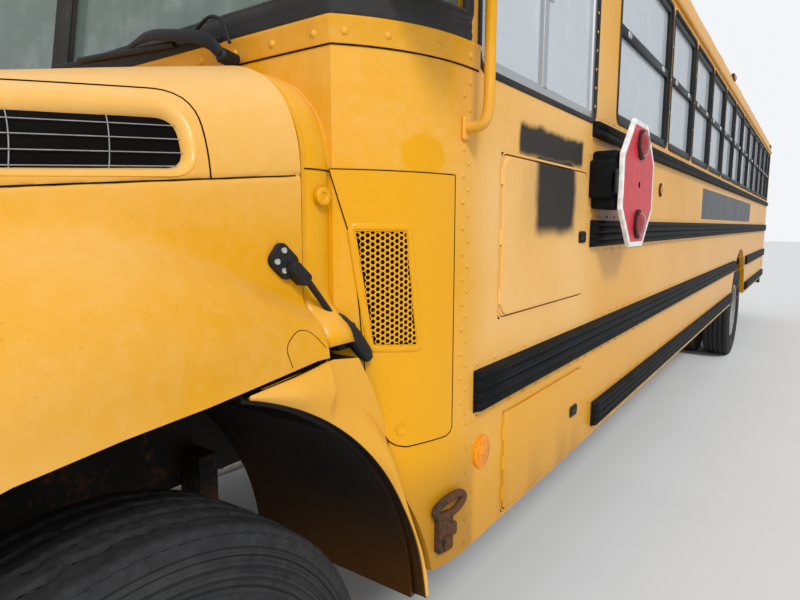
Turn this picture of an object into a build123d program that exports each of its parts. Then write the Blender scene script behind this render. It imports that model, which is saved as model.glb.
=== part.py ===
from build123d import *
from math import cos, hypot, radians, sin, sqrt
import os

# A conventional school bus. Millimetres, +X forward, +Y to the driver's side, +Z up.
# The origin is on the ground under the middle of the whole vehicle.
os.makedirs("parts", exist_ok=True)

# Driving dimensions of the whole vehicle
SIDE_Y = 1219.0  # half of the 96 in body width
WALL = 45.0  # outer skin, filler and inner panel together
WHEELBASE = 7110.0
FRONT_AXLE_X = 4905.0
REAR_AXLE_X = FRONT_AXLE_X - WHEELBASE
REAR_X = -5755.0
WALL_FRONT_X = 4064.0
COWL_FRONT_X = 4405.0
HALF_LENGTH = 5855.0
BUMPER_FRONT_X = HALF_LENGTH
BUMPER_WALL = 10.0
SKIRT_Z = 640.0
FLOOR_Z = 1060.0
FLOOR_THICK = 60.0
SILL_Z = 1855.0
WINDOW_TOP_Z = 2525.0
EAVE_Z = 2576.0
ROOF_Z = 3100.0
GAP = 6.0  # clearance round every moving piece

# Wheels
TYRE_R = 505.0
TYRE_HALF = 127.0
RIM_R = 286.0
FRONT_WHEEL_Y = 1040.0
REAR_OUTER_Y = 1071.0
REAR_INNER_Y = 748.0
KINGPIN_Y = 880.0
ARCH_R = 690.0

# Chassis frame
RAIL_Y = 430.0
RAIL_WIDE = 80.0
RAIL_LOW_Z = 700.0
RAIL_HIGH_Z = 950.0
RAIL_WALL = 8.0
RAIL_FRONT_X = 5560.0
RAIL_REAR_X = -5700.0

# Side windows: the rear edge of window 1, the step between windows and the post width
WINDOW_REAR_X = 1999.0
WINDOW_PITCH = 705.0
POST_WIDE = 55.0
WINDOW_COUNT = 12
FIRST_WINDOW_X = (WINDOW_REAR_X, 2909.0)
LAST_WINDOW_REAR_X = -5600.0
DRIVER_WINDOW_X = (3190.0, 4044.0)
DRIVER_WINDOW_Z = (1815.0, 2525.0)
GLASS = 6.0

# Doors in the sides and the rear: (low, high) along X, Y or Z
BATTERY_X = (3225.0, 3877.0)
BATTERY_Z = (652.0, 946.0)
ACCESS_X = (3237.0, 3923.0)
ACCESS_Z = (1206.0, 1633.0)
ENTRY_X = (3160.0, 3960.0)
ENTRY_Z = (400.0, 2480.0)
REAR_DOOR_Y = (-470.0, 470.0)
REAR_DOOR_Z = (1060.0, 2500.0)

# Roof bow: the shoulder's radius and centre, and the crown's radius, which meet in a tangent
SHOULDER_R = 420.0
SHOULDER_Y = SIDE_Y - SHOULDER_R
RISE = ROOF_Z - EAVE_Z
CROWN_R = ((RISE - SHOULDER_R) * (RISE + SHOULDER_R) + SHOULDER_Y**2) / (2 * (RISE - SHOULDER_R))

# Corner of the cowl in plan
CORNER_R = 490.0
CORNER_Y = SIDE_Y - CORNER_R

SIDES = (("left", 1), ("right", -1))


def slab(x, y, z, mode=Mode.ADD):
    """Adds a box from its (low, high) along X, Y and Z."""
    with Locations(((x[0] + x[1]) / 2, (y[0] + y[1]) / 2, (z[0] + z[1]) / 2)):
        Box(x[1] - x[0], y[1] - y[0], z[1] - z[0], mode=mode)


def span(a, b):
    """Orders two places as (low, high)."""
    return (min(a, b), max(a, b))


def at_side(side, near, far):
    """A span in Y between two distances from the middle, on one side of the vehicle."""
    return span(side * near, side * far)


def write(piece, name):
    """Labels a finished piece and writes it."""
    piece.part.label = name
    export_step(piece.part, f"parts/{name}.step")


def roof_points(inset):
    """Start, middle and end of the shoulder arc, and the top of the crown arc, in (Y, Z)."""
    shoulder = SHOULDER_R - inset
    crown = CROWN_R - inset
    crown_z = ROOF_Z - CROWN_R
    slope = sqrt(SHOULDER_Y**2 + (EAVE_Z - crown_z) ** 2)
    end = (crown * SHOULDER_Y / slope, crown_z + crown * (EAVE_Z - crown_z) / slope)
    start = (SIDE_Y - inset, EAVE_Z)
    half = radians(37.6)
    middle = (SHOULDER_Y + shoulder * cos(half), EAVE_Z + shoulder * sin(half))
    return start, middle, end, (0.0, ROOF_Z - inset)


def cowl_outline(inset, front):
    """The cowl's plan in (X, Y): a round corner on each side and a flat front."""
    radius = CORNER_R - inset
    reach = front - WALL_FRONT_X
    corner_y = CORNER_Y + sqrt(radius**2 - reach**2)
    middle_y = CORNER_Y + sqrt(radius**2 - (reach / 2) ** 2)
    middle_x = WALL_FRONT_X + reach / 2
    Line((WALL_FRONT_X, -SIDE_Y + inset), (WALL_FRONT_X, SIDE_Y - inset))
    ThreePointArc((WALL_FRONT_X, SIDE_Y - inset), (middle_x, middle_y), (front, corner_y))
    Line((front, corner_y), (front, -corner_y))
    ThreePointArc((front, -corner_y), (middle_x, -middle_y), (WALL_FRONT_X, -SIDE_Y + inset))


# Chassis frame: two channels, the cross members between them, bumper horns and hood hinges
# Cross members: middle along X, low and high Z
CROSS_MEMBERS = (
    (5510.0, 760.0, 940.0),
    (4760.0, 708.0, 752.0),
    (3300.0, 845.0, 940.0),
    (2300.0, 845.0, 940.0),
    (1300.0, 845.0, 940.0),
    (300.0, 845.0, 940.0),
    (-700.0, 845.0, 940.0),
    (-1600.0, 845.0, 940.0),
    (-2700.0, 845.0, 940.0),
    (-3700.0, 845.0, 940.0),
    (-4700.0, 845.0, 940.0),
    (-5640.0, 760.0, 940.0),
)
CROSS_WIDE = 90.0
CHANNEL_X = (RAIL_REAR_X, RAIL_FRONT_X)
# Plates on the outside of the channels that carry the bumpers: their spans along X and Z
PLATE_Y = (RAIL_Y - RAIL_WALL, RAIL_Y + 12.0)
BUMPER_PLATES = (
    ((5540.0, BUMPER_FRONT_X - BUMPER_WALL), (500.0, 740.0)),
    ((RAIL_REAR_X, RAIL_REAR_X + 100.0), (560.0, 710.0)),
    ((BUMPER_WALL - HALF_LENGTH, RAIL_REAR_X + 10.0), (560.0, 632.0)),
)
HINGE_X = (5672.0, 5708.0)
HINGE_BRACKET_X = (5672.0, 5699.0)  # short of the tilted hood's lower edge
HINGE_Z = 845.0
HINGE_Y = 560.0
HINGE_PLATE = 20.0
BRACKET_OUTER_Y = HINGE_Y - GAP
BRACKET_Z = (690.0, 730.0)  # the foot of the bracket, which stands up past the hinge line

with BuildPart() as chassis_frame:
    for name, side in SIDES:
        slab(CHANNEL_X, at_side(side, RAIL_Y - RAIL_WALL, RAIL_Y), (RAIL_LOW_Z, RAIL_HIGH_Z))
        for low in (RAIL_LOW_Z, RAIL_HIGH_Z - RAIL_WALL):
            slab(CHANNEL_X, at_side(side, RAIL_Y - RAIL_WIDE, RAIL_Y), (low, low + RAIL_WALL))
        for plate_x, plate_z in BUMPER_PLATES:
            slab(plate_x, at_side(side, *PLATE_Y), plate_z)
        slab(HINGE_BRACKET_X, at_side(side, RAIL_Y, BRACKET_OUTER_Y), BRACKET_Z)
        upright_y = at_side(side, BRACKET_OUTER_Y - HINGE_PLATE, BRACKET_OUTER_Y)
        slab(HINGE_BRACKET_X, upright_y, (BRACKET_Z[0], HINGE_Z + HINGE_PLATE))
    for middle, low, high in CROSS_MEMBERS:
        slab((middle - CROSS_WIDE / 2, middle + CROSS_WIDE / 2), (-RAIL_Y + 1, RAIL_Y - 1), (low, high))
write(chassis_frame, "chassis_frame")

# Springs: the leaf pack as a shallow bow under each frame channel, with its two hangers
SPRING_Y = (440.0, 520.0)
SPRING_THICK = 50.0
HANGER_HALF = 30.0
HANGER_TOP_Z = 800.0


def spring(middle_x, seat_z, half_length, rise, side):
    """Adds one leaf spring: a bow of even thickness and a hanger at each end, up to the frame."""
    with BuildSketch(Plane.XZ.offset(-side * (SPRING_Y[0] if side < 0 else SPRING_Y[1]))) as bow:
        with BuildLine():
            left, right = middle_x - half_length, middle_x + half_length
            ThreePointArc((left, seat_z + rise), (middle_x, seat_z), (right, seat_z + rise))
            Line((right, seat_z + rise), (right, seat_z + rise + SPRING_THICK))
            ThreePointArc(
                (right, seat_z + rise + SPRING_THICK),
                (middle_x, seat_z + SPRING_THICK),
                (left, seat_z + rise + SPRING_THICK),
            )
            Line((left, seat_z + rise + SPRING_THICK), (left, seat_z + rise))
        make_face()
    extrude(bow.sketch, amount=SPRING_Y[1] - SPRING_Y[0])
    for end in (middle_x - half_length + HANGER_HALF, middle_x + half_length - HANGER_HALF):
        hanger_z = (seat_z + rise - 10.0, HANGER_TOP_Z)
        slab((end - HANGER_HALF, end + HANGER_HALF), at_side(side, RAIL_Y, SPRING_Y[1]), hanger_z)


# Front axle: a drop forged beam with an eye for each kingpin, and the front springs
BEAM_THICK = 90.0
EYE_R = 55.0
EYE_Z = (440.0, 570.0)
KINGPIN_R = 30.0
PAD_HALF_X = 60.0  # half the length of the pads that the springs sit on
# The beam from its middle to the eye: Y, low Z, high Z
BEAM_STEPS = ((560.0, 370.0, 470.0), (700.0, 430.0, 560.0), (KINGPIN_Y, *EYE_Z))

with BuildPart() as front_axle:
    with BuildSketch(Plane.YZ.offset(FRONT_AXLE_X - BEAM_THICK / 2)):
        with BuildLine():
            Polyline(
                *[(-y, low) for y, low, high in reversed(BEAM_STEPS)],
                *[(y, low) for y, low, high in BEAM_STEPS],
                *[(y, high) for y, low, high in reversed(BEAM_STEPS)],
                *[(-y, high) for y, low, high in BEAM_STEPS],
                close=True,
            )
        make_face()
    extrude(amount=BEAM_THICK)
    for name, side in SIDES:
        with BuildSketch(Plane.XY.offset(EYE_Z[0])):
            with Locations((FRONT_AXLE_X, side * KINGPIN_Y)):
                Circle(EYE_R)
        extrude(amount=EYE_Z[1] - EYE_Z[0])
        with Locations((FRONT_AXLE_X, side * KINGPIN_Y, TYRE_R)):
            Cylinder(KINGPIN_R + 1.0, 2 * (TYRE_R - EYE_Z[0]) + 20.0, mode=Mode.SUBTRACT)
        pad_x = (FRONT_AXLE_X - PAD_HALF_X, FRONT_AXLE_X + PAD_HALF_X)
        slab(pad_x, at_side(side, *SPRING_Y), (460.0, 490.0))
        spring(FRONT_AXLE_X, 470.0, 620.0, 110.0, side)
write(front_axle, "front_axle")

# Rear axle: banjo housing with its pinion nose, tubes, stub spindles and the rear springs
AXLE_TUBE_R = 68.0
SPINDLE_R = 40.0
DRUM_Y = (632.0, 812.0)
TUBE_END_Y = DRUM_Y[0] - 12.0
HOUSING_R = 205.0
HOUSING_X = (REAR_AXLE_X - 120.0, REAR_AXLE_X + 80.0)
# The nose that holds the pinion: X, Z and radius at its root and its tip
NOSE_ROOT = (HOUSING_X[1], TYRE_R + 10.0, 160.0)
NOSE_TIP = (REAR_AXLE_X + 330.0, TYRE_R + 45.0, 75.0)

with BuildPart() as rear_axle:
    with BuildSketch(Plane.XZ.offset(-TUBE_END_Y)):
        with Locations((REAR_AXLE_X, TYRE_R)):
            Circle(AXLE_TUBE_R)
    extrude(amount=2 * TUBE_END_Y)
    with BuildSketch(Plane.XZ.offset(-DRUM_Y[1])):
        with Locations((REAR_AXLE_X, TYRE_R)):
            Circle(SPINDLE_R)
    extrude(amount=2 * DRUM_Y[1])
    with BuildSketch(Plane.YZ.offset(HOUSING_X[0])):
        with Locations((0.0, TYRE_R)):
            Circle(HOUSING_R)
    extrude(amount=HOUSING_X[1] - HOUSING_X[0])
    nose = []
    for x, z, radius in (NOSE_ROOT, NOSE_TIP):
        with BuildSketch(Plane.YZ.offset(x)) as section:
            with Locations((0.0, z)):
                Circle(radius)
        nose.append(section.sketch)
    loft(sections=nose)
    for name, side in SIDES:
        pad_x = (REAR_AXLE_X - PAD_HALF_X, REAR_AXLE_X + PAD_HALF_X)
        slab(pad_x, at_side(side, *SPRING_Y), (TYRE_R, 592.0))
        spring(REAR_AXLE_X, 585.0, 740.0, 80.0, side)
write(rear_axle, "rear_axle")

# Engine and gearbox as one plain block on its two mounts, the radiator and the drive shaft
ENGINE_X = (4440.0, 5330.0)
GEARBOX_X = (3500.0, 4440.0)
ENGINE_LOW_Z = 770.0
SHAFT_R = 45.0
SHAFT_Z = (795.0, NOSE_TIP[1])
SHAFT_X = (GEARBOX_X[0], NOSE_TIP[0])
MOUNT_HIGH = 45.0

with BuildPart() as engine_block:
    slab(ENGINE_X, (-300.0, 300.0), (ENGINE_LOW_Z, 1450.0))
    slab(GEARBOX_X, (-190.0, 190.0), (730.0, 940.0))
    slab((4780.0, 4900.0), (-420.0, 420.0), (RAIL_HIGH_Z, RAIL_HIGH_Z + MOUNT_HIGH))
write(engine_block, "engine_block")

with BuildPart() as radiator:
    slab((5430.0, 5510.0), (-430.0, 430.0), (RAIL_HIGH_Z, 1420.0))
    slab((5380.0, 5430.0), (-350.0, 350.0), (1000.0, 1380.0))
write(radiator, "radiator")

with BuildPart() as driveshaft:
    with BuildSketch(Plane.YZ.offset(SHAFT_X[0])) as shaft_end:
        with Locations((0.0, SHAFT_Z[0])):
            Circle(SHAFT_R)
    extrude(
        shaft_end.sketch,
        amount=sqrt((SHAFT_X[0] - SHAFT_X[1]) ** 2 + (SHAFT_Z[0] - SHAFT_Z[1]) ** 2),
        dir=(SHAFT_X[1] - SHAFT_X[0], 0.0, SHAFT_Z[1] - SHAFT_Z[0]),
    )
write(driveshaft, "driveshaft")

# Fuel tank on the kerb side, between two straps, with its filler
TANK_X = (250.0, 1650.0)
TANK_Y = (-1090.0, -500.0)
TANK_Z = (520.0, 930.0)
TANK_CORNER_R = 70.0
STRAPS_X = (550.0, 1350.0)
STRAP_HALF = 35.0
STRAP_Y = (-590.0, -RAIL_Y)
STRAP_Z = (760.0, 920.0)

with BuildPart() as fuel_tank:
    slab(TANK_X, TANK_Y, TANK_Z)
    fillet(fuel_tank.edges().filter_by(Axis.X), TANK_CORNER_R)
    for middle in STRAPS_X:
        slab((middle - STRAP_HALF, middle + STRAP_HALF), STRAP_Y, STRAP_Z)
write(fuel_tank, "fuel_tank")

# Exhaust: a pipe from the engine, the silencer and a tail pipe that leaves under the rear bumper
PIPE_R = 45.0
PIPE_BEND_R = 95.0
SILENCER_R = 125.0
SILENCER_LONG = 1100.0
SILENCER_FRONT = (1400.0, 640.0, 640.0)
EXHAUST_ROUTE = (
    (4500.0, 240.0, ENGINE_LOW_Z),
    (4500.0, 240.0, 640.0),
    (3200.0, 330.0, 640.0),
    (2700.0, 640.0, 640.0),
    (-800.0, 640.0, 640.0),
    (-1150.0, 566.0, 668.0),
    (-3200.0, 566.0, 668.0),
    (-3600.0, 640.0, 600.0),
    (-5700.0, 640.0, 600.0),
)
with BuildPart() as exhaust_pipe:
    with BuildLine() as route:
        FilletPolyline(*EXHAUST_ROUTE, radius=PIPE_BEND_R)
    with BuildSketch(Plane(origin=EXHAUST_ROUTE[0], z_dir=(0, 0, -1))):
        Circle(PIPE_R)
    sweep()
    with BuildSketch(Plane(origin=SILENCER_FRONT, z_dir=(-1, 0, 0))):
        Circle(SILENCER_R)
    extrude(amount=SILENCER_LONG)
write(exhaust_pipe, "exhaust_pipe")

# Bumpers: pressed channels, the front one swept back at its ends
FRONT_BUMPER_Z = (460.0, 760.0)
REAR_BUMPER_Z = (540.0, 790.0)
BUMPER_DEEP = 70.0
BUMPER_HALF = 1200.0
# The front bumper's outer edge in plan, from its end to its middle: X, Y, and the share of an inset off Y
BUMPER_EDGE = ((5690.0, 1190.0, 1 / 3), (5805.0, 1060.0, 1 / 4), (BUMPER_FRONT_X, 860.0, 0.0))


def bumper_line(inset):
    """The front bumper's edge in plan, from one end to the other, set in by inset."""
    side = [(x - inset, y - inset * share) for x, y, share in BUMPER_EDGE]
    return [(x, -y) for x, y in side] + [(x, y) for x, y in reversed(side)]


with BuildPart() as front_bumper:
    for inset, margin, mode in ((0.0, 0.0, Mode.ADD), (BUMPER_WALL, BUMPER_WALL, Mode.SUBTRACT)):
        with BuildSketch(Plane.XY.offset(FRONT_BUMPER_Z[0] + margin)):
            with BuildLine():
                Polyline(*bumper_line(inset), *reversed(bumper_line(BUMPER_DEEP + inset)), close=True)
            make_face()
        extrude(amount=FRONT_BUMPER_Z[1] - FRONT_BUMPER_Z[0] - 2 * margin, mode=mode)
write(front_bumper, "front_bumper")

with BuildPart() as rear_bumper:
    slab((-HALF_LENGTH, REAR_X), (-BUMPER_HALF, BUMPER_HALF), REAR_BUMPER_Z)
    slab(
        (-HALF_LENGTH + BUMPER_WALL, REAR_X),
        (-BUMPER_HALF + BUMPER_WALL, BUMPER_HALF - BUMPER_WALL),
        (REAR_BUMPER_Z[0] + BUMPER_WALL, REAR_BUMPER_Z[1] - BUMPER_WALL),
        mode=Mode.SUBTRACT,
    )
write(rear_bumper, "rear_bumper")

# Floor on its two sills, with the wheelhouses and the stepwell inside the entrance door
TUB_Y = (600.0, SIDE_Y - WALL)
TUB_WALL = 25.0
STEP_TOPS = ((-1168.0, 400.0), (-955.0, 620.0), (-710.0, 840.0))  # outer edge Y, tread Z
STEP_INNER_Y = -465.0
STEP_THICK = 30.0
FLOOR_LOW_Z = FLOOR_Z - FLOOR_THICK
SILL_X = (RAIL_REAR_X, WALL_FRONT_X - 20.0)
BELOW = 2000.0  # the side of a square that cuts away everything under a line
# The stepwell's side plates in (Y, Z)
STEP_CHEEK = (
    (-SIDE_Y, 370.0),
    (-SIDE_Y, SKIRT_Z),
    (WALL - SIDE_Y, SKIRT_Z),
    (WALL - SIDE_Y, FLOOR_LOW_Z),
    (-435.0, FLOOR_LOW_Z),
    (-435.0, 810.0),
    (-680.0, 590.0),
    (-925.0, 370.0),
)

with BuildPart() as body_floor:
    slab((REAR_X + WALL, WALL_FRONT_X), (WALL - SIDE_Y, SIDE_Y - WALL), (FLOOR_LOW_Z, FLOOR_Z))
    slab(ENTRY_X, (WALL - SIDE_Y, STEP_INNER_Y), (FLOOR_LOW_Z, FLOOR_Z), mode=Mode.SUBTRACT)
    for name, side in SIDES:
        slab(SILL_X, at_side(side, RAIL_Y - RAIL_WIDE, RAIL_Y), (RAIL_HIGH_Z, FLOOR_LOW_Z))
        with BuildSketch(Plane.XZ.offset(-TUB_Y[1] if side > 0 else TUB_Y[0] - TUB_WALL)):
            with Locations((REAR_AXLE_X, TYRE_R)):
                Circle(ARCH_R + TUB_WALL)
        extrude(amount=TUB_Y[1] - TUB_Y[0] + TUB_WALL, mode=Mode.SUBTRACT)
write(body_floor, "body_floor")

with BuildPart() as wheelhouses:
    for name, side in SIDES:
        with BuildSketch(Plane.XZ.offset(-TUB_Y[1] if side > 0 else TUB_Y[0])):
            with Locations((REAR_AXLE_X, TYRE_R)):
                Circle(ARCH_R + TUB_WALL)
                Circle(ARCH_R, mode=Mode.SUBTRACT)
            with Locations((REAR_AXLE_X, FLOOR_LOW_Z - BELOW / 2)):
                Rectangle(BELOW, BELOW, mode=Mode.SUBTRACT)
        extrude(amount=TUB_Y[1] - TUB_Y[0])
        with BuildSketch(Plane.XZ.offset(-TUB_Y[0] if side > 0 else TUB_Y[0] - TUB_WALL)):
            with Locations((REAR_AXLE_X, TYRE_R)):
                Circle(ARCH_R + TUB_WALL)
            with Locations((REAR_AXLE_X, FLOOR_LOW_Z - BELOW / 2)):
                Rectangle(BELOW, BELOW, mode=Mode.SUBTRACT)
        extrude(amount=TUB_WALL)
write(wheelhouses, "wheelhouses")

with BuildPart() as stepwell:
    with BuildSketch(Plane.YZ.offset(ENTRY_X[0])):
        with BuildLine():
            tops = []
            unders = []
            inner_edges = [y for y, z in STEP_TOPS[1:]] + [STEP_INNER_Y]
            for (outer, z), inner in zip(STEP_TOPS, inner_edges):
                tops += [(outer, z), (inner, z)]
                unders += [(outer + STEP_THICK, z - STEP_THICK), (inner + STEP_THICK, z - STEP_THICK)]
            unders[0] = (STEP_TOPS[0][0], STEP_TOPS[0][1] - STEP_THICK)
            tops.append((STEP_INNER_Y, FLOOR_LOW_Z))
            unders.append((STEP_INNER_Y + STEP_THICK, FLOOR_LOW_Z))
            Polyline(*tops, *reversed(unders), close=True)
        make_face()
    extrude(amount=ENTRY_X[1] - ENTRY_X[0])
    for low in (ENTRY_X[0] - STEP_THICK, ENTRY_X[1]):
        with BuildSketch(Plane.YZ.offset(low)):
            with BuildLine():
                Polyline(*STEP_CHEEK, close=True)
            make_face()
        extrude(amount=STEP_THICK)
write(stepwell, "stepwell")

# Side walls with their window, door and wheel openings
WINDOWS = [FIRST_WINDOW_X]
for index in range(1, WINDOW_COUNT):
    front = WINDOW_REAR_X - POST_WIDE - WINDOW_PITCH * (index - 1)
    rear = max(WINDOW_REAR_X - WINDOW_PITCH * index, LAST_WINDOW_REAR_X)
    WINDOWS.append((rear, front))
WINDOW_Z = (SILL_Z, WINDOW_TOP_Z)
LEFT_OPENINGS = [(x, WINDOW_Z) for x in WINDOWS]
LEFT_OPENINGS += [(DRIVER_WINDOW_X, DRIVER_WINDOW_Z), (BATTERY_X, BATTERY_Z), (ACCESS_X, ACCESS_Z)]
RIGHT_OPENINGS = [(x, WINDOW_Z) for x in WINDOWS]
RIGHT_OPENINGS += [(ENTRY_X, (SKIRT_Z - 10.0, ENTRY_Z[1]))]


def side_wall(side, openings):
    """One side of the body: a flat wall with rectangular openings and the wheel arch."""
    with BuildPart() as wall:
        with BuildSketch(Plane.XZ.offset(-SIDE_Y if side > 0 else SIDE_Y - WALL)):
            with Locations(((REAR_X + WALL + WALL_FRONT_X) / 2, (SKIRT_Z + EAVE_Z) / 2)):
                Rectangle(WALL_FRONT_X - REAR_X - WALL, EAVE_Z - SKIRT_Z)
            for x, z in openings:
                with Locations(((x[0] + x[1]) / 2, (z[0] + z[1]) / 2)):
                    Rectangle(x[1] - x[0], z[1] - z[0], mode=Mode.SUBTRACT)
            with Locations((REAR_AXLE_X, TYRE_R)):
                Circle(ARCH_R, mode=Mode.SUBTRACT)
        extrude(amount=WALL)
    return wall


left_wall = side_wall(1, LEFT_OPENINGS)
write(left_wall, "left_wall")
right_wall = side_wall(-1, RIGHT_OPENINGS)
write(right_wall, "right_wall")

# Window sashes and panes: an outer frame with a middle bar, set in the wall, and the glass in it
SASH_Y = (SIDE_Y - 38.0, SIDE_Y - 8.0)
SASH_WIDE = 30.0
SASH_POST = 18.0
SASH_BAR_Z = (2185.0, 2225.0)
GLASS_Y = (SIDE_Y - 26.0, SIDE_Y - 20.0)


def window_openings(side):
    """Each sash of one side with its panes: (X span, Z span, [(pane X span, pane Z span), ...])."""
    rows = []
    low, high = WINDOW_Z[0] + SASH_WIDE, WINDOW_Z[1] - SASH_WIDE
    for x in WINDOWS:
        inner = (x[0] + SASH_WIDE, x[1] - SASH_WIDE)
        rows.append((x, WINDOW_Z, [(inner, (low, SASH_BAR_Z[0])), (inner, (SASH_BAR_Z[1], high))]))
    if side > 0:
        x, z = DRIVER_WINDOW_X, DRIVER_WINDOW_Z
        middle = (x[0] + x[1]) / 2
        inner = (z[0] + SASH_WIDE, z[1] - SASH_WIDE)
        rear_pane = ((x[0] + SASH_WIDE, middle - SASH_POST), inner)
        front_pane = ((middle + SASH_POST, x[1] - SASH_WIDE), inner)
        rows.append((x, z, [rear_pane, front_pane]))
    return rows


with BuildPart() as window_sashes:
    for name, side in SIDES:
        for x, z, panes in window_openings(side):
            slab(x, at_side(side, *SASH_Y), z)
            for pane_x, pane_z in panes:
                slab(pane_x, at_side(side, *SASH_Y), pane_z, mode=Mode.SUBTRACT)
write(window_sashes, "window_sashes")

REAR_WINDOW_Y = (570.0, 1090.0)
REAR_WINDOW_Z = (1900.0, 2440.0)
REAR_GLASS_X = (REAR_X + 18.0, REAR_X + 18.0 + GLASS)
REAR_PANE_HALF = 370.0
with BuildPart() as window_glass:
    for name, side in SIDES:
        for x, z, panes in window_openings(side):
            for pane_x, pane_z in panes:
                slab(pane_x, at_side(side, *GLASS_Y), pane_z)
        slab(REAR_GLASS_X, at_side(side, *REAR_WINDOW_Y), REAR_WINDOW_Z)
write(window_glass, "window_glass")

# Roof, rear wall and the frame of the windshield, cut from one envelope of the cabin
NOSE_R = 400.0
NOSE_X = 4280.0
NOSE_Z = ROOF_Z - NOSE_R
COWL_TOP_Z = 1860.0
PLAN_STEP = 3.0  # the nose is this much thicker at its sides than the walls
EXTRA_WIDE = 60.0  # the sides of the nose's section stand clear, its plan cuts them


def cabin(inset, low, rear, front):
    """The cabin envelope, set in by inset, between two X: the bow section, trimmed by the nose outline."""
    with BuildPart() as body:
        with BuildSketch(Plane.YZ.offset(rear)):
            start, middle, end, top = roof_points(inset)
            with BuildLine():
                wide = start[0] + (EXTRA_WIDE if front > WALL_FRONT_X else 0.0)
                if low < EAVE_Z:
                    Polyline((-wide, EAVE_Z), (-wide, low), (wide, low), (wide, EAVE_Z))
                    if wide > start[0]:
                        Line((wide, EAVE_Z), start)
                        Line((-start[0], EAVE_Z), (-wide, EAVE_Z))
                else:
                    Line((-start[0], EAVE_Z), start)
                ThreePointArc(start, middle, end)
                ThreePointArc(end, top, (-end[0], end[1]))
                ThreePointArc((-end[0], end[1]), (-middle[0], middle[1]), (-start[0], start[1]))
            make_face()
        extrude(amount=front - rear)
        if front >= WALL_FRONT_X:
            with BuildSketch(Plane.XZ.offset(-SIDE_Y - GAP)) as nose:
                with BuildLine():
                    slope_x = COWL_FRONT_X - inset
                    Polyline((REAR_X, COWL_TOP_Z), (slope_x, COWL_TOP_Z), (NOSE_X - inset, NOSE_Z))
                    radius = NOSE_R - inset
                    ThreePointArc(
                        (NOSE_X - inset, NOSE_Z),
                        (NOSE_X - NOSE_R + radius * cos(radians(45.0)), NOSE_Z + radius * sin(radians(45.0))),
                        (NOSE_X - NOSE_R, ROOF_Z - inset),
                    )
                    Polyline(
                        (NOSE_X - NOSE_R, ROOF_Z - inset),
                        (REAR_X, ROOF_Z - inset),
                        (REAR_X, COWL_TOP_Z),
                    )
                make_face()
            extrude(nose.sketch, amount=2 * (SIDE_Y + GAP), mode=Mode.INTERSECT)
        if front > WALL_FRONT_X:
            plan_inset = inset + PLAN_STEP if inset else inset
            with BuildSketch(Plane.XY.offset(low)) as plan:
                with BuildLine():
                    cowl_outline(plan_inset, COWL_FRONT_X - plan_inset)
                make_face()
            extrude(plan.sketch, amount=ROOF_Z - low, mode=Mode.INTERSECT)
    return body.part


HATCHES = (("roof_hatch_front", 1650.0), ("roof_hatch_rear", -3290.0))
HATCH_HALF = 300.0
CURB_WALL = 30.0
CURB_TOP_Z = ROOF_Z + 25.0
CURB_LOW_Z = ROOF_Z - 55.0
LID_THICK = 30.0
LID_CORNER_R = 60.0

with BuildPart() as roof:
    add(cabin(0.0, EAVE_Z, REAR_X + WALL, WALL_FRONT_X))
    add(cabin(WALL, EAVE_Z, REAR_X + WALL, WALL_FRONT_X), mode=Mode.SUBTRACT)
    for name, middle in HATCHES:
        outer = HATCH_HALF + CURB_WALL
        slab((middle - outer, middle + outer), (-outer, outer), (CURB_LOW_Z, CURB_TOP_Z))
        hole_x = (middle - HATCH_HALF, middle + HATCH_HALF)
        slab(hole_x, (-HATCH_HALF, HATCH_HALF), (CURB_LOW_Z - 100.0, CURB_TOP_Z + 100.0), mode=Mode.SUBTRACT)
write(roof, "roof")

for name, middle in HATCHES:
    with BuildPart() as roof_hatch:
        half = HATCH_HALF + CURB_WALL
        slab((middle - half, middle + half), (-half, half), (CURB_TOP_Z + GAP, CURB_TOP_Z + GAP + LID_THICK))
        fillet(roof_hatch.edges().filter_by(Axis.Z), LID_CORNER_R)
    write(roof_hatch, name)

REAR_LOW_Z = 650.0
with BuildPart() as rear_wall:
    add(cabin(0.0, REAR_LOW_Z, REAR_X, REAR_X + WALL))
    slab((REAR_X, REAR_X + WALL), REAR_DOOR_Y, REAR_DOOR_Z, mode=Mode.SUBTRACT)
    for name, side in SIDES:
        slab((REAR_X, REAR_X + WALL), at_side(side, *REAR_WINDOW_Y), REAR_WINDOW_Z, mode=Mode.SUBTRACT)
write(rear_wall, "rear_wall")

# Windshield: two front panes and a bent quarter pane at each corner
PANE_Y = (30.0, 1000.0)
PANE_Z = (1905.0, 2560.0)
QUARTER_Z = (1905.0, 2525.0)
QUARTER_REAR_X = 4115.0
QUARTER_FRONT_X = (4325.0, 4230.0)  # at the bottom and the top of the quarter pane
QUARTER_Y = (1040.0, 1300.0)
PANE_DEPTH = 18.0
PANE_CUT_X = (4200.0, 4450.0)


def nose_x(z):
    """Where the sloping front of the cabin stands at height z."""
    return COWL_FRONT_X - (z - COWL_TOP_Z) * (COWL_FRONT_X - NOSE_X) / (NOSE_Z - COWL_TOP_Z)


def quarter_prism(side):
    """The side view of a quarter pane, carried through the corner."""
    with BuildPart() as prism:
        with BuildSketch(Plane.XZ.offset(-QUARTER_Y[1] if side > 0 else QUARTER_Y[0])):
            with BuildLine():
                Polyline(
                    (QUARTER_REAR_X, QUARTER_Z[0]),
                    (QUARTER_FRONT_X[0], QUARTER_Z[0]),
                    (QUARTER_FRONT_X[1], QUARTER_Z[1]),
                    (QUARTER_REAR_X, QUARTER_Z[1]),
                    close=True,
                )
            make_face()
        extrude(amount=QUARTER_Y[1] - QUARTER_Y[0])
    return prism.part


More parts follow.
